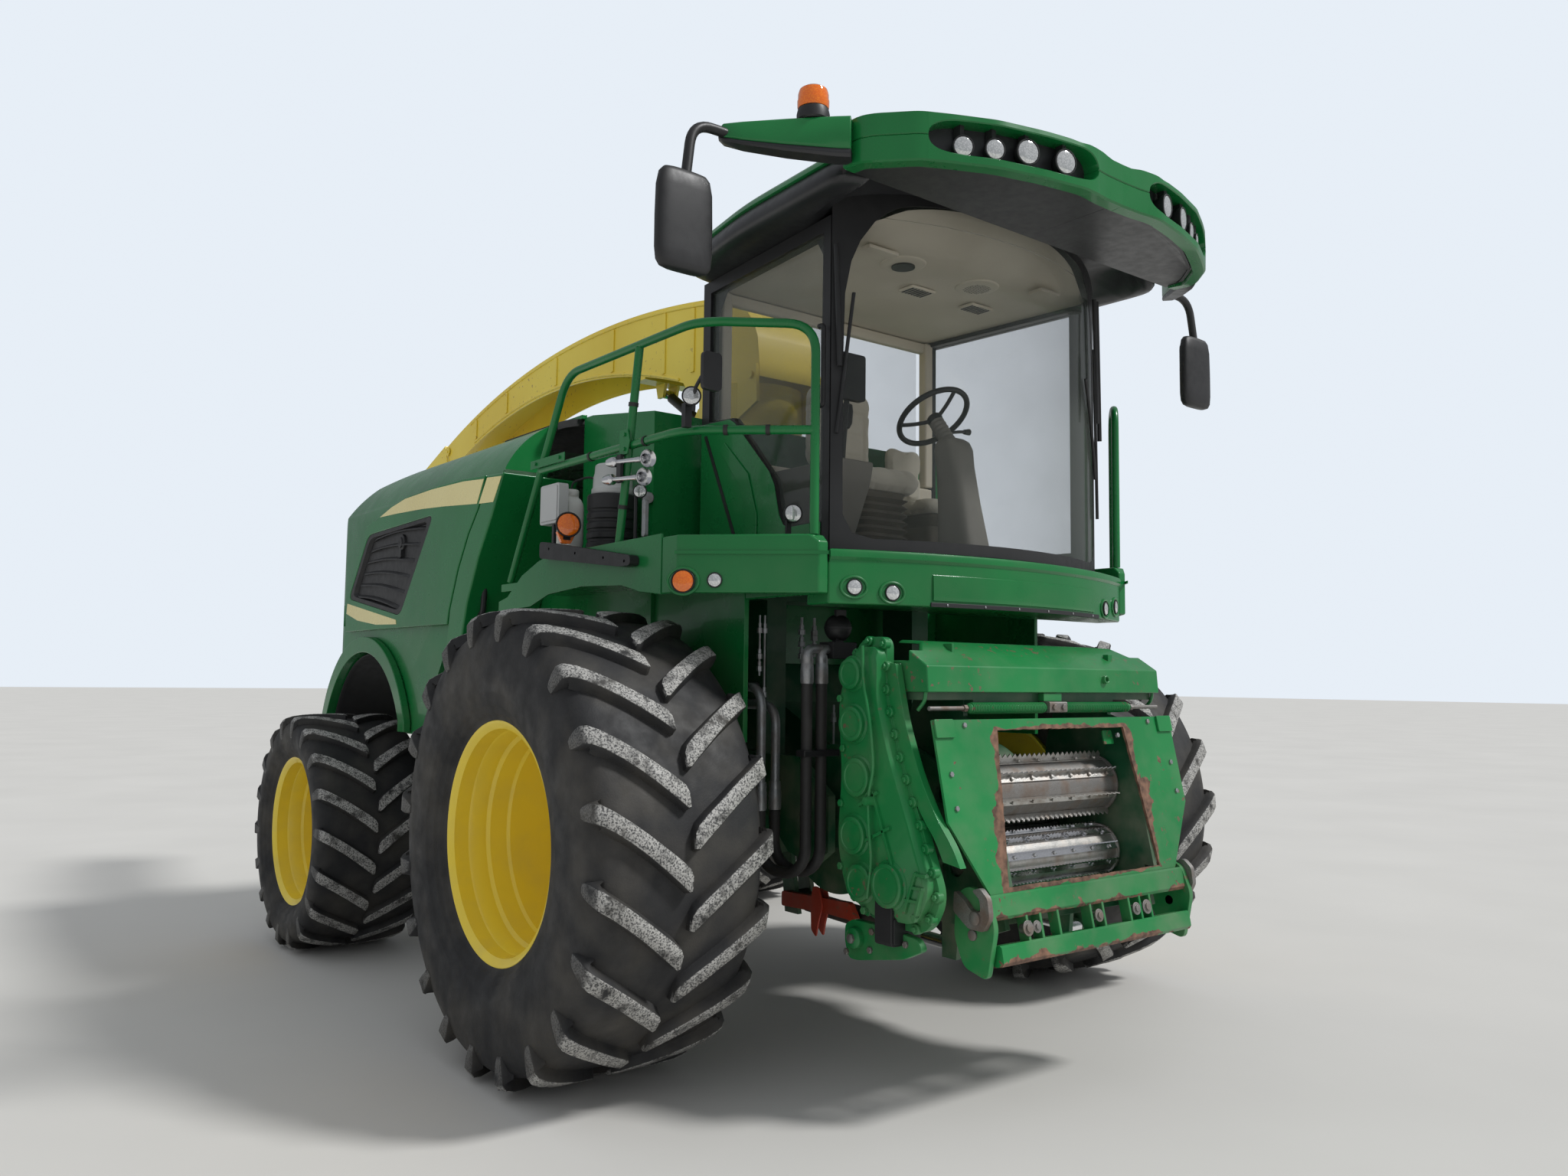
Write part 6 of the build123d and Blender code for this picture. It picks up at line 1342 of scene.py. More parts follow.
face = prism(roundRing(((-0.546, 2.976), (-0.414, 2.976), (-0.414, 3.164), (-0.546, 3.164)), 0.008), -0.6015, -0.6005, "y")
putPiece("monitor_face", face, "mirrorGlass", "chassis", slotOf["cab_windows"])
remade.add("cab_controls")
print("cab inside made")

# Platform equipment: bumper bars, control box, bottle, tank with ribs, two horns on a bracket
outline = roundRing(((0.518, 2.242), (0.518, 2.322), (0.470, 2.317), (-0.328, 2.1935), (-0.328, 2.150), (-0.240, 2.150)), 0.022)
bars = [prism(outline, -1.4615, -1.4145)]
bolts = boltHeads([(-1.4615, y, 2.245 + 0.155 * y - 0.030) for y in (-0.28, -0.10, 0.16, 0.42)], (-1, 0, 0), 0.009, 0.0)
putPiece("bumper_bars", bothSides(joined(*bars, bolts)), "trimBlack", "chassis", slotOf["platform_equipment"], bevel=0.008,
         replaced=("platform_equipment",))
box = prism(roundRing(((0.482, 2.422), (0.678, 2.422), (0.678, 2.618), (0.482, 2.618)), 0.018), -1.384, -1.331)
lid = prism(roundRing(((0.494, 2.436), (0.666, 2.436), (0.666, 2.606), (0.494, 2.606)), 0.012), -1.3895, -1.384)
putPiece("control_box", joined(box, lid), "boxGrey", "chassis", slotOf["platform_equipment"], bevel=0.003,
         replaced=("platform_equipment",))
bottle = [(-1.268, 0.578, z, x, y) for z, x, y in (
    (2.1505, 0.048, 0.058), (2.158, 0.054, 0.064), (2.300, 0.054, 0.064), (2.306, 0.051, 0.061), (2.322, 0.051, 0.061),
    (2.328, 0.054, 0.064), (2.500, 0.054, 0.064), (2.530, 0.050, 0.060), (2.552, 0.042, 0.046), (2.562, 0.034, 0.034),
    (2.572, 0.033, 0.033))]
cap = [(-1.268, 0.578, z, r, r) for z, r in ((2.568, 0.037), (2.572, 0.0395), (2.596, 0.0395), (2.602, 0.036))]
tubes = tubeOf(softPath(((-1.268, 0.578, 2.60), (-1.268, 0.560, 2.640), (-1.215, 0.490, 2.665), (-1.180, 0.455, 2.64)), 0.05), 0.006, 8)
putPiece("bottle", joined(stackOf(bottle, 4.0, 36), stackOf(cap, 2.0, 36)), "bottleWhite", "chassis",
         slotOf["platform_equipment"], replaced=("platform_equipment",), crease=40)
profile = [(0.0, 0.0002), (0.0, 0.117), (0.008, 0.124)]
for n in range(7):
    profile += [(0.030 + 0.048 * n, 0.124), (0.036 + 0.048 * n, 0.118), (0.046 + 0.048 * n, 0.118), (0.052 + 0.048 * n, 0.124)]
profile += [(0.404, 0.124), (0.412, 0.118), (0.414, 0.0002)]
tank = lathe(profile, (-1.142, 0.385, 2.1505), (0, 0, 1), 44)
brackets = blocks([(-1.420, -0.160, 2.532, -1.404, -0.124, 2.658), (-1.3995, -0.1515, 2.652, -1.372, -0.1325, 2.658),
                   (-1.365, 0.562, 2.1505, -1.350, 0.584, 2.4215)])
putPiece("tank", joined(tank, brackets, tubes), "trimBlack", "chassis", slotOf["platform_equipment"], bevel=0.002,
         replaced=("platform_equipment",))
lid = lathe(((0.414, 0.0002), (0.414, 0.100), (0.420, 0.104), (0.440, 0.104), (0.448, 0.098), (0.500, 0.096),
             (0.520, 0.090), (0.556, 0.088), (0.564, 0.080), (0.565, 0.0002)), (-1.142, 0.385, 2.1505), (0, 0, 1), 44)
putPiece("tank_head", lid, "boxGrey", "chassis", slotOf["platform_equipment"], replaced=("platform_equipment",))
horns = []
for y, z in ((-0.386, 2.606), (-0.356, 2.531)):
    mouth = np.array((-1.416, y, z))
    run = np.array((0.0, -0.340, -0.028)) / math.hypot(0.340, 0.028)
    horns.append(lathe(((-0.335, 0.0002), (-0.335, 0.018), (-0.300, 0.024), (-0.270, 0.024), (-0.262, 0.010), (-0.180, 0.0105),
                        (-0.100, 0.0125), (-0.060, 0.0155), (-0.030, 0.021), (-0.012, 0.029), (-0.003, 0.0372), (0.0, 0.0395),
                        (0.001, 0.0385), (-0.010, 0.026), (-0.030, 0.016), (-0.060, 0.010), (-0.061, 0.0002)), mouth, run, 32))
putPiece("horns", joined(*horns), "chrome", "chassis", slotOf["platform_equipment"], replaced=("platform_equipment",))
remade.add("platform_equipment")

# Small mirror, gauge, work lamp posts, tube lamp and the pods' raised lip
small = prism(roundRing(((-1.462, 2.812), (-1.372, 2.812), (-1.372, 2.966), (-1.462, 2.966)), 0.022), -0.862, -0.838, "y")
arm = tubeOf(softPath(((-1.417, -0.840, 2.890), (-1.417, -0.790, 2.890), (-1.395, -0.700, 2.850), (-1.392, -0.690, 2.760)), 0.03), 0.008, 10)
putPiece("small_mirror", joined(small, arm), "trimBlack", "chassis", slotOf["lamps"], bevel=0.005)
slimLamp = prism(roundRing(((-0.252, 2.290), (-0.224, 2.290), (-0.224, 2.456), (-0.252, 2.456)), 0.012), -1.345, -1.325)
post = tubeOf(((-1.335, -0.238, 2.1505), (-1.335, -0.238, 2.292)), 0.008, 8)
gauge = lathe(((-0.030, 0.0002), (-0.030, 0.028), (0.0, 0.030), (0.004, 0.026), (0.0045, 0.0002)), (-1.030, 0.236, 2.550),
              (-0.3, -0.95, 0), 24)
putPiece("slim_lamp", joined(slimLamp, post, gauge), "pipeSteel", "chassis", slotOf["lamps"], bevel=0.003)
print("platform equipment made")

# Front end. Front plate's plane: place = foot + s up the slope + out along its normal
plateUp = np.array((0.146, 0.655)) / math.hypot(0.146, 0.655)
plateOut = np.array((-plateUp[1], plateUp[0]))
feedBody, feedSlot = bodyOf["feed_front_plate"], slotOf["feed_front_plate"]


def onPlate(x, s, out):
    x, s, out = np.broadcast_arrays(np.asarray(x, float), s, out)
    return np.stack([x, -1.583 + s * plateUp[0] + out * plateOut[0], 0.871 + s * plateUp[1] + out * plateOut[1]], -1)


# Where a ray from the middle at each angle meets a convex outline: the least (c - n.m) / (n.d) over its edges
def reachOutline(outline, middle, angle):
    outline = np.asarray(outline, float)
    edge = np.roll(outline, -1, 0) - outline
    normal = np.stack([edge[:, 1], -edge[:, 0]], -1)
    room = (normal * (outline - middle)).sum(1)
    ray = np.stack([np.cos(angle), np.sin(angle)], -1)
    speed = ray @ normal.T
    reach = np.where(speed > 1e-9, room / np.maximum(speed, 1e-9), 1e9).min(1)
    return np.asarray(middle) + ray * reach[:, None]


def frontPlate():
    outer = ((-0.600, 0.0), (0.600, 0.0), (0.771, 0.280), (0.771, 0.6705), (-0.771, 0.6705), (-0.771, 0.280))
    inner = ((-0.490, 0.020), (0.490, 0.020), (0.412, 0.625), (-0.412, 0.625))
    middle = np.array((0.0, 0.33))
    corners = np.concatenate([np.array(outer), np.array(inner)]) - middle
    angle = np.unique(np.concatenate([np.linspace(-np.pi, np.pi, 320, endpoint=False),
                                      np.arctan2(corners[:, 1], corners[:, 0])]))
    edge, hole = reachOutline(outer, middle, angle), reachOutline(inner, middle, angle)
    chew = 0.004 * np.sin(angle * 23) * np.sin(angle * 7 + 1)
    hole = hole + (hole - middle) / np.linalg.norm(hole - middle, axis=1)[:, None] * np.abs(chew)[:, None]
    rows, worn = [], []
    for share in (0, 0.04, 0.09, 0.15, 0.24, 0.36, 0.55, 0.78, 1.0):
        place = hole + (edge - hole) * share
        fold = -0.020 * np.clip(0.28 - place[:, 1], 0, 1)
        away = np.linalg.norm(place - hole, axis=1)
        side = np.exp(-((place[:, 1] - 0.17) / 0.15) ** 2) * (place[:, 0] < 0) + np.exp(-((place[:, 1] - 0.38) / 0.17) ** 2) * (
            place[:, 0] > 0) + 0.7 * np.exp(-((place[:, 1] - 0.60) / 0.03) ** 2)
        worn.append(np.clip(1 - away / (0.030 + 0.070 * side), 0, 1) + 0.10)
        rows.append(onPlate(place[:, 0], place[:, 1], fold - 0.0005))
    back = [onPlate(place[:, 0], place[:, 1], -0.0115 - 0.020 * np.clip(0.28 - place[:, 1], 0, 1)) for place in (edge, hole)]
    rows += back
    worn += [worn[-1], worn[0]]
    points, faces = surfaceOf(np.stack(rows), roundRows=True, roundColumns=True)
    return (points, [faces[0][:, ::-1]]), np.stack(worn).ravel()


shape, worn = frontPlate()
putPiece("front_plate", shape, "wornGreenLit", feedBody, feedSlot, attribute=("worn", worn), crease=30, bevel=0.0,
         replaced=("feed_front_plate",))
remade.add("feed_front_plate")


def plateSlab(corners, low, high, reach=0.008):        # a plate parallel to the front plate, from rows of (x, s)
    ring = roundRing(corners, reach, 4)
    return surfaceOf(np.stack([onPlate(ring[:, 0], ring[:, 1], low), onPlate(ring[:, 0], ring[:, 1], high)]),
                     roundColumns=True, caps=True)


tabs = [plateSlab(((side * 0.770, 0.600), (side * 0.770, 0.672), (side * 0.665, 0.672), (side * 0.665, 0.600)), 0.0, 0.010)
        for side in (-1, 1)]
latch = [plateSlab(((0.330, 0.560), (0.400, 0.560), (0.395, 0.622), (0.330, 0.622)), -0.060, -0.052)]
flange = np.array(((-1.304, 1.741), (-1.355, 1.519), (-1.437, 1.316), (-1.532, 1.155), (-1.610, 1.065), (-1.650, 0.990)))
flange = softPath(flange, 0.07, 6) + (0.045, 0.0)
wallShape = prism(np.concatenate([flange, (flange + (0.085, 0.012))[::-1]]), -0.7995, -0.7885)
lip = prism(np.concatenate([flange + (-0.004, -0.002), (flange + (0.004, 0.002))[::-1]]), -0.7995, -0.766)
putPiece("front_flanges", joined(*tabs, *latch, wallShape, lip), "headGreenLit", feedBody, feedSlot,
         bevel=0.0025)
bolts = boltHeads([onPlate(x, s, 0.0) for x, s in ((-0.715, 0.46), (-0.715, 0.33), (0.715, 0.46), (0.715, 0.33),
                                                   (-0.60, 0.648), (0.60, 0.648), (0.36, 0.59))],
                  (0, plateOut[0], plateOut[1]), 0.011, 0.008)
putPiece("front_plate_bolts", bolts, "pipeSteel", feedBody, feedSlot)


# Feed rolls. Saw strip: teeth (n + 1/2 pitch, height) along x, standing out from the core, with bolts beside it
def rollShape(y, z, core, height, count, pitch, turn=0.2):
    half = 0.443
    body = lathe(((-half, 0.0002), (-half, core + 0.006), (-half + 0.010, core + 0.006), (-half + 0.012, core - 0.004),
                  (half - 0.012, core - 0.004), (half - 0.010, core + 0.006), (half, core + 0.006), (half, 0.0002)),
                 (0, y, z), (1, 0, 0), 48)
    shaft = [lathe(((0.0, 0.0002), (0.0, 0.040), (0.030, 0.040), (0.032, 0.0002)), (side * half, y, z), (side, 0, 0), 24)
             for side in (-1, 1)]
    teeth = int(2 * half / pitch)
    along = np.linspace(-half + 0.004, half - 0.004, 2 * teeth + 1)
    saw = np.stack([along, np.where(np.arange(2 * teeth + 1) % 2 == 1, height, height * 0.55)], -1)
    strip = np.concatenate([saw, [(half - 0.004, 0.0), (-half + 0.004, 0.0)]])
    bars, heads = [], []
    for n in range(count):
        angle = turn + 2 * np.pi * n / count
        out = np.array((0.0, math.cos(angle), math.sin(angle)))
        around = np.array((0.0, -math.sin(angle), math.cos(angle)))
        root = np.array((0.0, y, z)) + out * (core - 0.010)
        bars.append(slab(strip + (0, 0.006), root, (1, 0, 0), out, 0.005))
        bars.append(slab(((-half + 0.004, 0.0), (half - 0.004, 0.0), (half - 0.004, 0.030), (-half + 0.004, 0.030)),
                         root + out * 0.009, (1, 0, 0), around, 0.0045))
        places = root + out * 0.0135 + around * 0.017 + np.linspace(-0.38, 0.38, 7)[:, None] * (1.0, 0, 0)
        heads.append(boltHeads(places, out, 0.0085, 0.006))
    return joined(body, *shaft), joined(*bars), joined(*heads)


# The upper roll's drum is dark cast steel: partly the drum's own steel, partly painted shade in the gaps between its
# bars
for node, row, finish, core in (("feed_roll_upper_front", (-1.270, 1.222, 0.122, 0.036, 8, 0.031), "rollSteel", "castSteel"),
                                ("feed_roll_lower_front", (-1.290, 0.930, 0.108, 0.018, 10, 0.022), "chrome", "rollSteel")):
    body, bars, heads = rollShape(*row)
    putPiece(node + "_drum", body, core, bodyOf[node], slotOf[node], replaced=(node,), bevel=0.0015)
    putPiece(node + "_bars", joined(bars, heads), finish, bodyOf[node], slotOf[node], replaced=(node,), crease=25)
    remade.add(node)

# Springs: a wire wound 46 times, on rods that end in the wall, with the pivot block between them
turns = np.linspace(0, 1, 46 * 12 + 1)
wire = np.stack([0.066 + 0.446 * turns, -1.392 + 0.0200 * np.cos(turns * 92 * np.pi), 1.568 + 0.0200 * np.sin(turns * 92 * np.pi)], -1)
eyes = [lathe(((-0.012, 0.0002), (-0.012, 0.016), (0.0, 0.020), (0.004, 0.020), (0.012, 0.012), (0.013, 0.0002)),
              (x, -1.392, 1.568), (1, 0, 0), 20) for x in (0.062, 0.516)]
coils = bothSides(joined(tubeOf(wire, 0.0039, 6), *eyes))
cross = blocks([(-0.058, -1.392, 1.596, 0.058, -1.362, 1.628)])
putPiece("roll_spring_coils", joined(coils, cross), "headGreenLit", bodyOf["feed_roll_springs"], slotOf["feed_roll_springs"],
         replaced=("feed_roll_springs",))
rods = bothSides(lathe(((0.030, 0.0002), (0.030, 0.0088), (0.745, 0.0088), (0.746, 0.0002)), (0, -1.392, 1.568), (1, 0, 0), 16))
nuts = bothSides(lathe(((0.535, 0.0002), (0.535, 0.015), (0.553, 0.015), (0.554, 0.0002)), (0, -1.392, 1.568), (1, 0, 0), 6))
block = prism(roundRing(((-1.424, 1.547), (-1.361, 1.547), (-1.361, 1.594), (-1.424, 1.594)), 0.010), -0.058, 0.058)
caps = boltHeads([(x, -1.424, 1.570) for x in (-0.030, 0.030)], (0, -1, 0), 0.014, 0.010)
putPiece("roll_spring_rods", joined(rods, nuts, block, caps), "castSteel", bodyOf["feed_roll_springs"],
         slotOf["feed_roll_springs"], replaced=("feed_roll_springs",), bevel=0.001)
remade.add("feed_roll_springs")

# Gearbox: a housing, a flange with a scallop and bolt every 11 cm round its outline, stepped round covers, ribs, a pipe
caseOutline = np.array(((-1.215, 1.850), (-1.060, 1.850), (-0.960, 1.640), (-0.985, 1.300), (-0.960, 1.000), (-1.010, 0.800),
                        (-1.180, 0.720), (-1.440, 0.720), (-1.520, 0.860), (-1.400, 1.150), (-1.290, 1.400), (-1.215, 1.640)))
caseMiddle = caseOutline.mean(0)
ring = roundRing(caseOutline, 0.07, 7)
shrunk = caseMiddle + (ring - caseMiddle) * 0.93
layers = [np.insert(place, 0, x, axis=1) for x, place in
          ((-0.7625, ring), (-0.800, ring), (-0.802, shrunk), (-0.842, shrunk), (-0.854, caseMiddle + (ring - caseMiddle) * 0.885))]
housing = surfaceOf(np.stack(layers), roundColumns=True, caps=True)
walk = np.concatenate([ring, ring[:1]])
length = np.concatenate([[0], np.cumsum(np.linalg.norm(np.diff(walk, axis=0), axis=1))])
spots = np.linspace(0, length[-1], 30, endpoint=False)
spots = np.stack([np.interp(spots, length, walk[:, n]) for n in (0, 1)], -1)
spots = caseMiddle + (spots - caseMiddle) * 0.972
scallops = [lathe(((0.0, 0.0002), (0.0, 0.021), (0.026, 0.021), (0.029, 0.018), (0.0295, 0.0002)), (-0.785, y, z), (-1, 0, 0), 14)
            for y, z in spots]
covers = []
for y, z, r in ((-1.070, 1.700, 0.062), (-1.080, 1.500, 0.070), (-1.110, 1.290, 0.076), (-1.090, 1.060, 0.074),
                (-1.130, 0.880, 0.072), (-1.290, 0.890, 0.084)):
    covers.append(lathe(((-0.02, 0.0002), (-0.02, r + 0.014), (0.002, r + 0.012), (0.006, r + 0.002), (0.021, r),
                         (0.0240, r - 0.004), (0.0240, r - 0.016), (0.0205, r - 0.019), (0.0205, 0.0002)),
                        (-0.854, y, z), (-1, 0, 0), 40))
ribs = []
for start, end in (((-1.200, 1.240), (-1.360, 0.860)), ((-1.060, 1.000), (-1.300, 1.110)), ((-1.120, 1.180), (-1.230, 1.240)),
                   ((-1.180, 1.520), (-1.200, 1.300)), ((-1.380, 0.800), (-1.440, 0.960)), ((-1.440, 0.800), (-1.470, 0.900))):
    start, end = np.array(start), np.array(end)
    side = np.array((end[1] - start[1], start[0] - end[0])) / np.linalg.norm(end - start) * 0.006
    ribs.append(prism(np.array((start - side, end - side, end + side, start + side)), -0.868, -0.845))
webs = [prism(((-1.380 - 0.03 * n, 0.845 + 0.05 * n), (-1.455 - 0.02 * n, 0.845 + 0.05 * n), (-1.455 - 0.02 * n, 0.857 + 0.05 * n),
               (-1.380 - 0.03 * n, 0.857 + 0.05 * n)), -0.866, -0.845) for n in range(3)]
caseParts = joined(housing, *scallops, *covers, *ribs, *webs)
putPiece("gearbox_housing", caseParts, "headGreenLit", bodyOf["gearbox_case"], slotOf["gearbox_case"], bevel=0.0025,
         replaced=("gearbox_case",), crease=38)
feedPipe = softPath(((-0.878, -1.155, 1.812), (-0.878, -1.160, 1.670), (-0.878, -1.205, 1.500), (-0.878, -1.225, 1.330),
                     (-0.878, -1.190, 1.215), (-0.878, -1.200, 1.080), (-0.878, -1.215, 0.980), (-0.878, -1.190, 0.830)), 0.05, 7)
elbow = lathe(((0.0, 0.0002), (0.0, 0.020), (0.05, 0.016), (0.052, 0.0002)), (-0.853, -1.20, 1.205), (-1, 0, 0), 16)
putPiece("gearbox_pipe", joined(tubeOf(feedPipe, 0.0065, 10), elbow), "headGreenLit", bodyOf["gearbox_case"],
         slotOf["gearbox_case"])
heads = boltHeads([(-0.8145, y, z) for y, z in spots], (-1, 0, 0), 0.0115, 0.010)
big = boltHeads([(-0.854, y, z) for y, z in ((-1.150, 0.775), (-1.430, 0.790), (-1.010, 0.930), (-1.010, 1.180), (-1.02, 1.40),
                                             (-1.00, 1.60))], (-1, 0, 0), 0.016, 0.013)
putPiece("gearbox_bolts", joined(heads, big), "headGreenLit", bodyOf["gearbox_case"], slotOf["gearbox_case"])
remade.add("gearbox_case")
print("plate, rolls, springs and gearbox made")


# Header bar: channels with rolled edges; the worn attribute grows towards the lower edge
def barShape(low, high, half, out):
    s = np.array((low, low + 0.012, low + 0.030, low + 0.055, high - 0.008, high, high, high - 0.010, low + 0.010, low))
    depth = np.array((out - 0.012, out - 0.001, out, out, out, out - 0.008, -0.050, -0.052, -0.052, -0.044))
    x = np.linspace(-half, half, 60)
    points = onPlate(np.broadcast_to(x[:, None], (60, 10)), s[None], depth[None])
    worn = np.clip(1.05 - (s - low) / 0.035, 0, 1)[None] * (0.45 + 0.40 * np.sin(x * 6.0 + 0.6) ** 2)[:, None]
    return surfaceOf(points, roundColumns=True, caps=True), (worn + 0.12).ravel()


for name, look in (("upper", (-0.095, -0.0005, 0.619, 0.012)), ("lower", (-0.262, -0.185, 0.607, 0.012))):
    shape, worn = barShape(*look)
    work = (shape[0], [part for part in shape[1]])
    putPiece("header_channel_" + name, work, "wornGreenLit", bodyOf["header_bar"], slotOf["header_bar"],
             attribute=("worn", worn), replaced=("header_bar",), crease=30)
ears = []
for x in (-0.430, -0.350, -0.245, -0.040, 0.040, 0.215, 0.290, 0.360):
    outline = ((-0.200, 0.004), (-0.080, 0.004), (-0.080, -0.045), (-0.200, -0.045))
    ring = [onPlate(x + shift, np.array([s for s, out in outline]), np.array([out for s, out in outline])) for shift in (-0.007, 0.007)]
    ears.append(surfaceOf(np.stack(ring), roundColumns=True, caps=True))
endPlate = roundRing(((-1.600, 0.562), (-1.480, 0.592), (-1.430, 0.700), (-1.440, 0.860), (-1.500, 0.900), (-1.590, 0.880),
                      (-1.638, 0.760)), 0.03)
ends = bothSides(prism(endPlate, -0.646, -0.620))
putPiece("header_ears", joined(*ears, ends), "headGreenLit", bodyOf["header_bar"], slotOf["header_bar"], bevel=0.003,
         replaced=("header_bar",))
pins = []
for x, wide in ((-0.437, 0.030), (-0.385, 0.024), (0.000, 0.026), (0.252, 0.026), (0.325, 0.030)):
    place = onPlate(x, -0.140, 0.004)
    look = (0, plateOut[0], plateOut[1])
    pins.append(lathe(((-0.03, 0.0002), (-0.03, wide * 0.6), (0.0, wide * 0.6), (0.0, wide), (0.006, wide), (0.007, wide * 0.55),
                       (0.014, wide * 0.55), (0.015, 0.0002)), place, look, 20))
cross = bothSides(joined(lathe(((0.0, 0.0002), (0.0, 0.021), (0.034, 0.021), (0.036, 0.016), (0.0365, 0.0002)),
                               (-0.620, -1.530, 0.720), (-1, 0, 0), 24)))
hook = roundRing(((-1.505, 0.800), (-1.585, 0.745), (-1.660, 0.745), (-1.690, 0.800), (-1.680, 0.870), (-1.640, 0.905),
                  (-1.600, 0.890), (-1.640, 0.862), (-1.645, 0.815), (-1.600, 0.812), (-1.560, 0.850), (-1.510, 0.880)), 0.014, 4)
hooks = bothSides(joined(prism(hook + (0.055, 0.0), -0.672, -0.6465),
                         lathe(((0.0, 0.0002), (0.0, 0.026), (0.040, 0.026), (0.044, 0.020), (0.0445, 0.0002)),
                               (-0.640, -1.565, 0.790), (-1, 0, 0), 20)))
putPiece("header_pins", joined(*pins, cross, hooks), "castSteel", bodyOf["header_bar"], slotOf["header_bar"], bevel=0.0015)
remade.add("header_bar")

# Lock bar: a bent flat bar with two prongs; bracket and socket box under the gearbox
bar = roundRing(((-0.112, 0.592), (-0.112, 0.663), (-0.440, 0.674), (-0.600, 0.678), (-0.654, 0.600), (-0.654, 0.502), (-0.622, 0.502),
                 (-0.606, 0.602), (-0.440, 0.606)), 0.014, 4)
tooth = ((-0.430, 0.640), (-0.400, 0.720), (-0.360, 0.720), (-0.345, 0.650), (-0.350, 0.520), (-0.385, 0.490), (-0.400, 0.560))
prongs = [prism(roundRing(tooth, 0.012, 4), low, low + 0.010) for low in (-0.463, -0.4195)]
putPiece("lock_bar", joined(prism(bar, -0.4515, -0.4205), *prongs), "lockRed", bodyOf["safety_bar"], slotOf["safety_bar"],
         bevel=0.003, replaced=("safety_bar",))
remade.add("safety_bar")
bracket = prism(roundRing(((-0.985, 0.690), (-1.030, 0.718), (-1.210, 0.718), (-1.400, 0.700), (-1.430, 0.660), (-1.320, 0.610),
                           (-1.060, 0.560), (-1.010, 0.560), (-0.985, 0.620)), 0.02, 4), -0.812, -0.780)
stub = lathe(((0.0, 0.0002), (0.0, 0.042), (0.05, 0.042), (0.056, 0.034), (0.058, 0.0002)), (-0.785, -1.060, 0.650), (-1, 0, 0), 24)
putPiece("lower_bracket", joined(bracket, stub), "headGreenLit", bodyOf["gearbox_case"], slotOf["gearbox_case"], bevel=0.004)
heads = boltHeads([(-0.812, y, z) for y, z in ((-1.15, 0.688), (-1.24, 0.690), (-1.34, 0.672), (-1.00, 0.585), (-1.14, 0.615))],
                  (-1, 0, 0), 0.014, 0.011)
heads2 = boltHeads([(-0.843, -1.060, 0.650)], (-1, 0, 0), 0.020, 0.012)
putPiece("lower_bracket_bolts", joined(heads, heads2), "castSteel", bodyOf["gearbox_case"], slotOf["gearbox_case"])
box = prism(roundRing(((-0.870, 0.662), (-0.712, 0.662), (-0.712, 0.846), (-0.870, 0.846)), 0.018, 5), -1.318, -1.225, "y")
rim = prism(roundRing(((-0.860, 0.672), (-0.722, 0.672), (-0.722, 0.770), (-0.860, 0.770)), 0.012, 5), -1.324, -1.318, "y")
eyes = lathe(((0.0, 0.0002), (0.0, 0.015), (0.005, 0.014), (0.005, 0.009), (-0.001, 0.008), (-0.002, 0.0002)), (-0.825, -1.318, 0.806),
             (0, -1, 0), 20)
eyes2 = (eyes[0] + (0.070, 0, 0), eyes[1])
putPiece("socket_box", joined(box, rim, eyes, eyes2), "trimBlack", bodyOf["gearbox_case"], slotOf["hydraulic_hoses"], bevel=0.003)
print("header bar and lock bar made")

# Hydraulics: steel bends with ferrules, hoses, clamp, accumulator, and thin lines with fittings by the wheel
steel, rubber, dark = [], [], []
for topX, lowX, runZ in ((-0.780, -0.820, 1.560), (-0.860, -0.900, 1.640)):
    upper = softPath(((-0.720, -0.770, 1.805), (topX, -0.788, 1.805), (topX, -0.788, 1.740)), 0.040, 9)
    lower = softPath(((lowX, -0.525, 1.190), (lowX, -0.525, runZ), (lowX, -0.040, runZ), (-0.560, -0.040, runZ)), 0.09, 9)
    steel += [tubeOf(upper, 0.0205, 16), tubeOf(lower, 0.0205, 16)]
    for place, way in (((topX, -0.788, 1.740), (0, 0, -1)), ((lowX, -0.525, 1.190), (0, 0, -1))):
        steel.append(lathe(((-0.040, 0.0002), (-0.040, 0.024), (-0.018, 0.027), (-0.016, 0.0262), (0.0, 0.0262), (0.004, 0.0275), (0.020, 0.0285),
                            (0.075, 0.0285), (0.082, 0.0262), (0.083, 0.0200)), place, way, 20))
putPiece("pipe_bends", joined(*steel), "pipeSteel", bodyOf["hydraulic_block"], slotOf["hydraulic_block"],
         replaced=("hydraulic_block",), crease=40)
ball = lathe([(-0.060 * math.cos(a), max(0.060 * math.sin(a), 0.0002)) for a in np.linspace(0, np.pi, 17)],
             (-0.670, -0.765, 1.900), (0, 0, 1), 32)
band = lathe(((-0.006, 0.0595), (-0.006, 0.0612), (0.006, 0.0612), (0.006, 0.0595)), (-0.670, -0.765, 1.900), (0, 0, 1), 32)
block = blocks([(-0.738, -0.813, 1.767, -0.602, -0.722, 1.838), (-0.698, -0.789, 1.845, -0.642, -0.771, 1.9795)])
neck = lathe(((0.0, 0.0002), (0.0, 0.026), (0.016, 0.026), (0.017, 0.0002)), (-0.670, -0.765, 1.832), (0, 0, 1), 6)
putPiece("accumulator", joined(ball, band, block, neck), "trimBlack", bodyOf["hydraulic_block"], slotOf["hydraulic_hoses"],
         replaced=("hydraulic_block",), bevel=0.002)
remade.add("hydraulic_block")
clamp = blocks([(-0.895, -0.818, 1.352, -0.700, -0.760, 1.380)])
putPiece("hose_clamp", clamp, "trimBlack", bodyOf["hydraulic_block"], slotOf["hydraulic_hoses"], bevel=0.005)
lines, collars = [], []
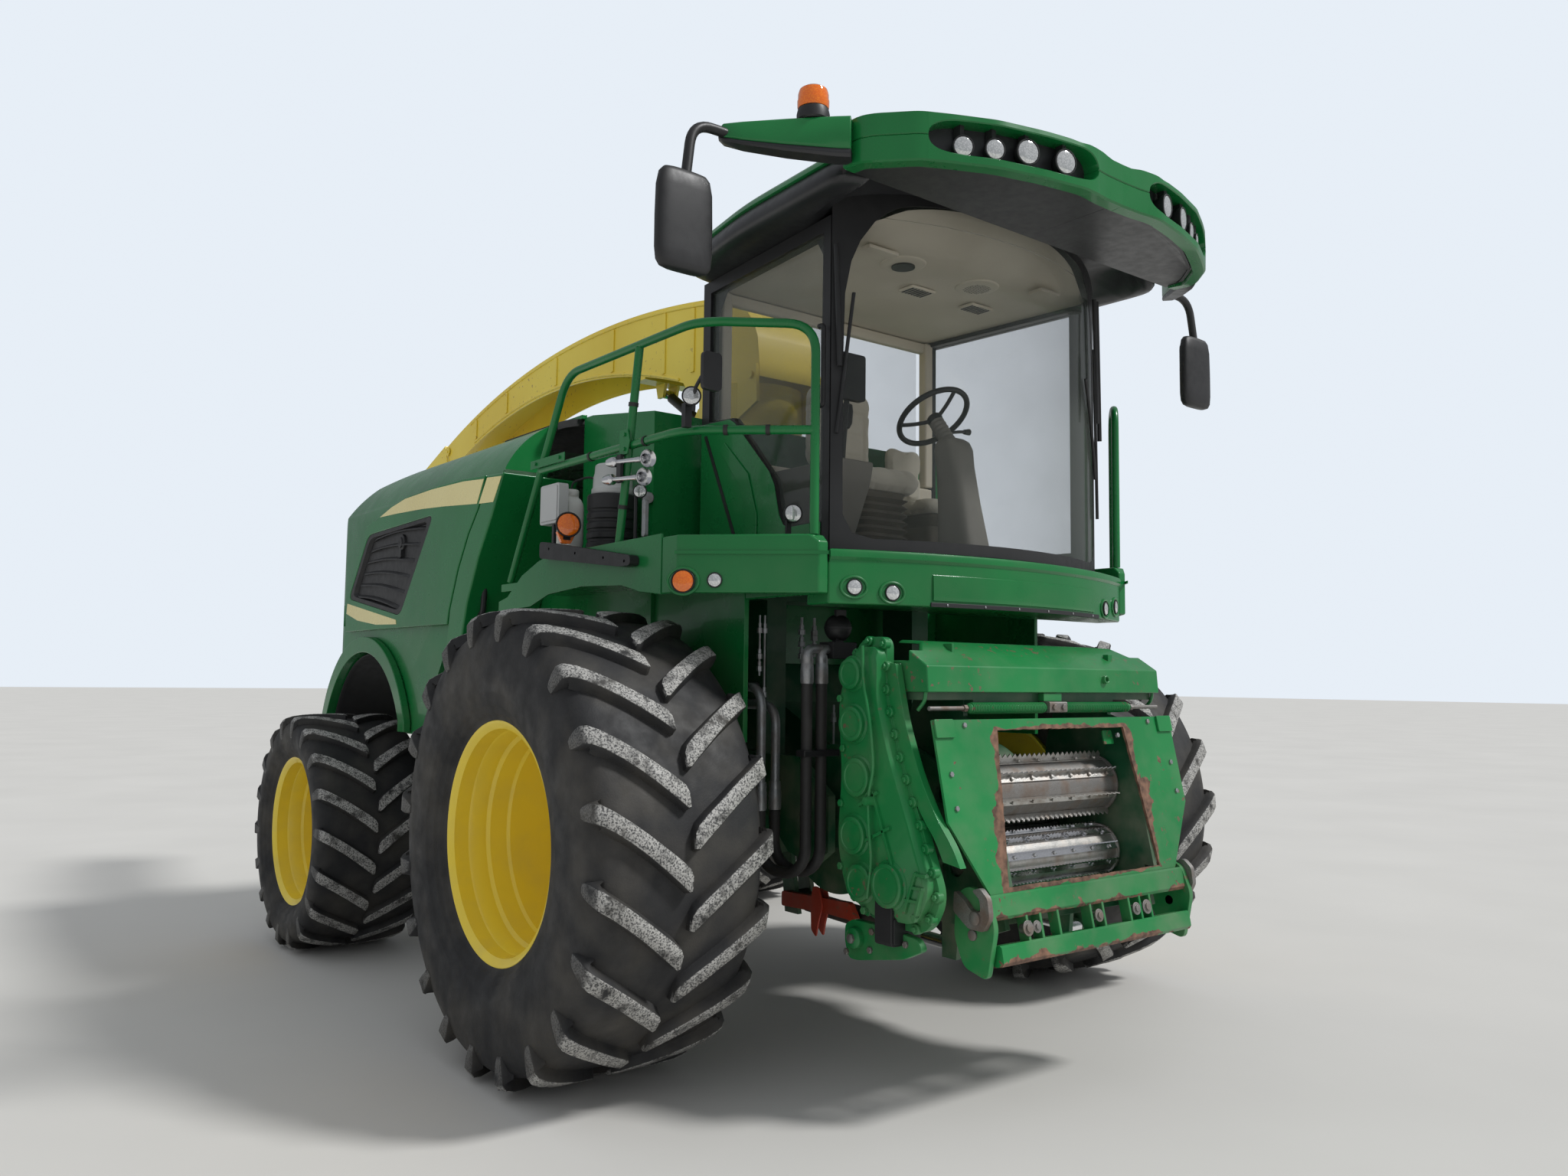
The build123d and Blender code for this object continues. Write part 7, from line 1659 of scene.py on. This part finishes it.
for x, low, high, radius in ((-0.858, 1.690, 1.960, 0.0085), (-0.830, 1.520, 1.960, 0.0085), (-0.617, 1.750, 1.960, 0.011),
                             (-0.542, 1.780, 1.960, 0.011), (-0.585, 0.985, 1.330, 0.010), (-0.483, 1.262, 1.520, 0.009),
                             (-0.420, 1.232, 1.560, 0.009)):
    lines.append(tubeOf(((x, -0.450, low), (x, -0.450, high)), radius * 0.6, 8))
    for z in (low + 0.02, low + 0.075, high - 0.08):
        collars.append(lathe(((0.0, 0.0002), (0.0, radius * 1.5), (0.022, radius * 1.5), (0.024, radius), (0.044, radius),
                              (0.045, 0.0002)), (x, -0.450, z), (0, 0, 1), 6))
putPiece("thin_lines", joined(*lines, *collars), "pipeSteel", "chassis", slotOf["hydraulic_block"])
print("hydraulics made")

# Top cover's small parts: an eye, two lugs and a hook; black strip under the apron; bolts along the chute
eye = lathe(((-0.006, 0.0185), (0.010, 0.0185), (0.012, 0.014), (0.010, 0.0105), (-0.006, 0.0105)), (0.351, -1.402, 1.690), (0, -1, 0.1),
            28, False)
lugs = blocks([(0.470, -1.330, 1.765, 0.500, -1.300, 1.804), (-0.520, -1.300, 1.786, -0.508, -1.250, 1.828)])
post = softPath(((-0.742, -1.330, 1.560), (-0.742, -1.372, 1.600), (-0.742, -1.372, 1.700), (-0.742, -1.330, 1.740)), 0.03)
putPiece("cover_lugs", joined(eye, lugs, bothSides(tubeOf(post, 0.008, 8))), "headGreenLit", bodyOf["feed_top_cover"],
         slotOf["feed_top_cover"], bevel=0.002)
turn = np.linspace(-0.235, 0.275, 40)
edges = [(2.276, 1.9805), (2.2850, 1.9805), (2.2850, 1.9990), (2.276, 1.9990)]
rows = [np.stack([r * np.sin(turn), 1.0276 - r * np.cos(turn), np.full(40, z)], -1) for r, z in edges]
strip = surfaceOf(np.stack(rows, 1), roundColumns=True, caps=True)
putPiece("apron_strip", strip, "trimBlack", "chassis", slotOf["front_apron"], bevel=0.002)
studs = boltHeads([(2.285 * math.sin(a), 1.0276 - 2.285 * math.cos(a), 1.990) for a in np.linspace(-0.20, 0.24, 6)],
                  (0, -1, 0), 0.005, 0.003)
putPiece("apron_strip_bolts", studs, "pipeSteel", "chassis", slotOf["front_apron"])


# Apron: a raised lip along its top, a pressed belt below and a rounded rim round the lamps, on the apron's bow
def onApron(x, z, out):
    x, z, out = np.broadcast_arrays(np.asarray(x, float), z, out)
    turn = np.arcsin(np.clip(x / 2.2796, -1, 1))
    return np.stack([(2.2796 + out) * np.sin(turn), 1.0276 - (2.2796 + out) * np.cos(turn), z], -1)


x = np.linspace(-0.955, 0.955, 70)
rows = [onApron(x, z + shift, out) for z, shift, out in
        ((2.1995, 0, -0.004), (2.1995, 0, 0.006), (2.190, 0, 0.0095), (2.172, 0, 0.0095), (2.160, 0, 0.001), (2.160, 0, -0.004))]
lip = surfaceOf(np.stack(rows, 1), roundColumns=True, caps=True)
x = np.linspace(-0.520, 0.560, 50)
rows = [onApron(x, z, out) for z, out in ((2.118, -0.004), (2.112, 0.0055), (2.024, 0.0080), (2.008, 0.0060), (2.004, -0.004))]
belt = surfaceOf(np.stack(rows, 1), roundColumns=True, caps=True)
rims = []
for x, z in ((-0.862, 2.050), (-0.704, 2.032)):
    angle = np.linspace(0, 2 * np.pi, 40, endpoint=False)
    path = onApron(x + 0.052 * np.cos(angle), z + 0.043 * np.sin(angle), 0.002)
    rims.append(tubeOf(path, 0.006, 8, closed=True))
putPiece("apron_pressings", joined(lip, belt, bothSides(joined(*rims))), "bodyGreen", "chassis", slotOf["front_apron"], crease=25)
podAlong = np.array((0.692, -0.723, 0.0))
podOut = np.array((-0.723, -0.692, 0.0))
podOrigin = np.array((-1.412, -0.620, 0.0))
angle = np.linspace(0, 2 * np.pi, 40, endpoint=False)
path = np.array((-1.3965, -0.6415, 2.068)) + 0.064 * np.cos(angle)[:, None] * podAlong + 0.054 * np.sin(angle)[:, None] * (0, 0, 1.0)
ovals = tubeOf(path - podOut * 0.001, 0.0065, 8, closed=True)
podLine = np.array([(0.0, 2.183), (0.40, 2.180)])
lines = [slab(((-0.010, -0.007), (0.62, -0.010), (0.62, 0.004), (-0.010, 0.007)), podOrigin + (0, 0, 2.186) + podOut * 0.0005,
              podAlong, (0, 0, 1), 0.006)]
putPiece("pod_pressings", bothSides(joined(ovals, *lines)), "bodyGreen", "chassis", slotOf["front_apron"], crease=30)


def arcThrough(a, b, c, count):            # points on the circle through three points, from the first to the last
    a, b, c = (np.array(p, float) for p in (a, b, c))
    square = np.array((2 * (b - a), 2 * (c - a)))
    centre = np.linalg.solve(square, np.array((b @ b - a @ a, c @ c - a @ a)))
    start, middle, end = (math.atan2(*(p - centre)[::-1]) for p in (a, b, c))
    angle = np.linspace(start, end, count)
    return centre + np.linalg.norm(a - centre) * np.stack([np.cos(angle), np.sin(angle)], -1)


upper = arcThrough((0.950, 3.862), (2.750, 3.960), (4.740, 3.570), 26)
lower = arcThrough((1.250, 3.470), (3.000, 3.722), (4.690, 3.392), 22)
upper, lower = upper[upper[:, 0] < 4.35], lower[lower[:, 0] < 4.30]
spots = np.concatenate([upper, lower])
sideBolts = boltHeads([(-0.2105, y, z) for y, z in spots], (-1, 0, 0), 0.011, 0.008)
putPiece("chute_bolts", bothSides(sideBolts), "spoutYellow", bodyOf["spout_chute"], slotOf["spout_chute"])
straps = []
for y in (1.10, 1.42, 2.05, 2.85, 3.65, 4.20):
    top = np.interp(y, upper[:, 0], upper[:, 1]) - 0.012
    foot = np.interp(y, lower[:, 0], lower[:, 1]) + 0.016
    straps.append(prism(roundRing(((y - 0.020, foot), (y + 0.020, foot), (y + 0.020, top), (y - 0.020, top)), 0.01, 4), -0.2185, -0.2098))
edging = [tubeOf(np.insert(path + (0, shift), 0, -0.2098, axis=1), 0.009, 8) for path, shift in ((upper, 0.0), (lower, 0.0))]
putPiece("chute_ribs", bothSides(joined(*straps, *edging)), "spoutYellow", bodyOf["spout_chute"], slotOf["spout_chute"],
         bevel=0.002)
print("cover, strip and chute details made")

for node, (finish, edge) in dressed.items():
    if node not in remade:
        dressNode(node, finish, bodyOf[node], edge)
print("plain solids dressed")

# Camera at the photograph's place: the view runs along the yaw and pitch, then turns by the roll
view = dict(place=(-4.0320, -6.3543, 1.66995), yaw=-38.2181, pitch=4.4785, roll=0.6493, lens=27.124)


def setCamera():
    yaw, pitch, roll = (math.radians(view[key]) for key in ("yaw", "pitch", "roll"))
    ahead = Vector((-math.sin(yaw) * math.cos(pitch), math.cos(yaw) * math.cos(pitch), math.sin(pitch)))
    right = ahead.cross(Vector((0, 0, 1))).normalized()
    up = right.cross(ahead)
    tilted = math.cos(roll) * right + math.sin(roll) * up
    upright = -math.sin(roll) * right + math.cos(roll) * up
    camera = bpy.data.objects.new("view", bpy.data.cameras.new("view"))
    camera.data.lens = view["lens"]
    camera.data.sensor_width = 36.0
    camera.data.clip_end = 400.0
    turn = Matrix((tilted, upright, -ahead)).transposed().to_4x4()
    camera.matrix_world = Matrix.Translation(view["place"]) @ turn
    bpy.context.scene.collection.objects.link(camera)
    bpy.context.scene.camera = camera


# Light: a pale sky all round, one soft sun from the front left
studio = dict(sky=(0.90, 0.94, 1.0), fill=0.62, mirrored=0.34, background=(0.80, 0.86, 0.93), sun=2.4, softness=9.0,
              sunFrom=(0.45, -0.52, 0.74), floor=(0.60, 0.585, 0.55), floorHalf=150.0)


def setLight():
    world = bpy.data.worlds.new("studio")
    bpy.context.scene.world = world
    world.use_nodes = True
    tree = world.node_tree
    sky = tree.nodes["Background"]
    sky.inputs["Color"].default_value = (*studio["sky"], 1)
    sky.inputs["Strength"].default_value = studio["fill"]
    seen = tree.nodes.new("ShaderNodeBackground")
    seen.inputs["Color"].default_value = (*studio["background"], 1)
    rays = tree.nodes.new("ShaderNodeLightPath")
    direct = combine(tree, "ADD", rays.outputs["Is Camera Ray"], rays.outputs["Is Transmission Ray"])
    choice = tree.nodes.new("ShaderNodeMixShader")
    tree.links.new(direct, choice.inputs[0])
    tree.links.new(sky.outputs[0], choice.inputs[1])
    tree.links.new(seen.outputs[0], choice.inputs[2])
    shine = tree.nodes.new("ShaderNodeBackground")
    shine.inputs["Color"].default_value = (*studio["sky"], 1)
    shine.inputs["Strength"].default_value = studio["mirrored"]
    shiny = tree.nodes.new("ShaderNodeMixShader")
    tree.links.new(rays.outputs["Is Glossy Ray"], shiny.inputs[0])
    tree.links.new(choice.outputs[0], shiny.inputs[1])
    tree.links.new(shine.outputs[0], shiny.inputs[2])
    tree.links.new(shiny.outputs[0], tree.nodes["World Output"].inputs["Surface"])
    lamp = bpy.data.lights.new("sun", "SUN")
    lamp.energy = studio["sun"]
    lamp.angle = math.radians(studio["softness"])
    sun = bpy.data.objects.new("sun", lamp)
    sun.rotation_euler = Vector(studio["sunFrom"]).to_track_quat("Z", "Y").to_euler()
    bpy.context.scene.collection.objects.link(sun)


def setFloor():
    half = studio["floorHalf"]
    mesh = bpy.data.meshes.new("floor")
    mesh.from_pydata([(-half, -half, 0), (half, -half, 0), (half, half, 0), (-half, half, 0)], [], [(0, 1, 2, 3)])
    floor = bpy.data.objects.new("floor", mesh)
    bpy.context.scene.collection.objects.link(floor)
    finish, tree, shader = newFinish("pale floor")
    tree.links.new(blendOf(tree, spread(tree, noiseOf(tree, 0.6, 6), 0.3, 0.7), studio["floor"],
                           tuple(0.94 * part for part in studio["floor"])), shader.inputs["Base Color"])
    shader.inputs["Roughness"].default_value = 0.8
    mesh.materials.append(finish)


setCamera()
setLight()
setFloor()
bpy.context.scene.view_settings.view_transform = "Standard"
print("camera, light and floor set")
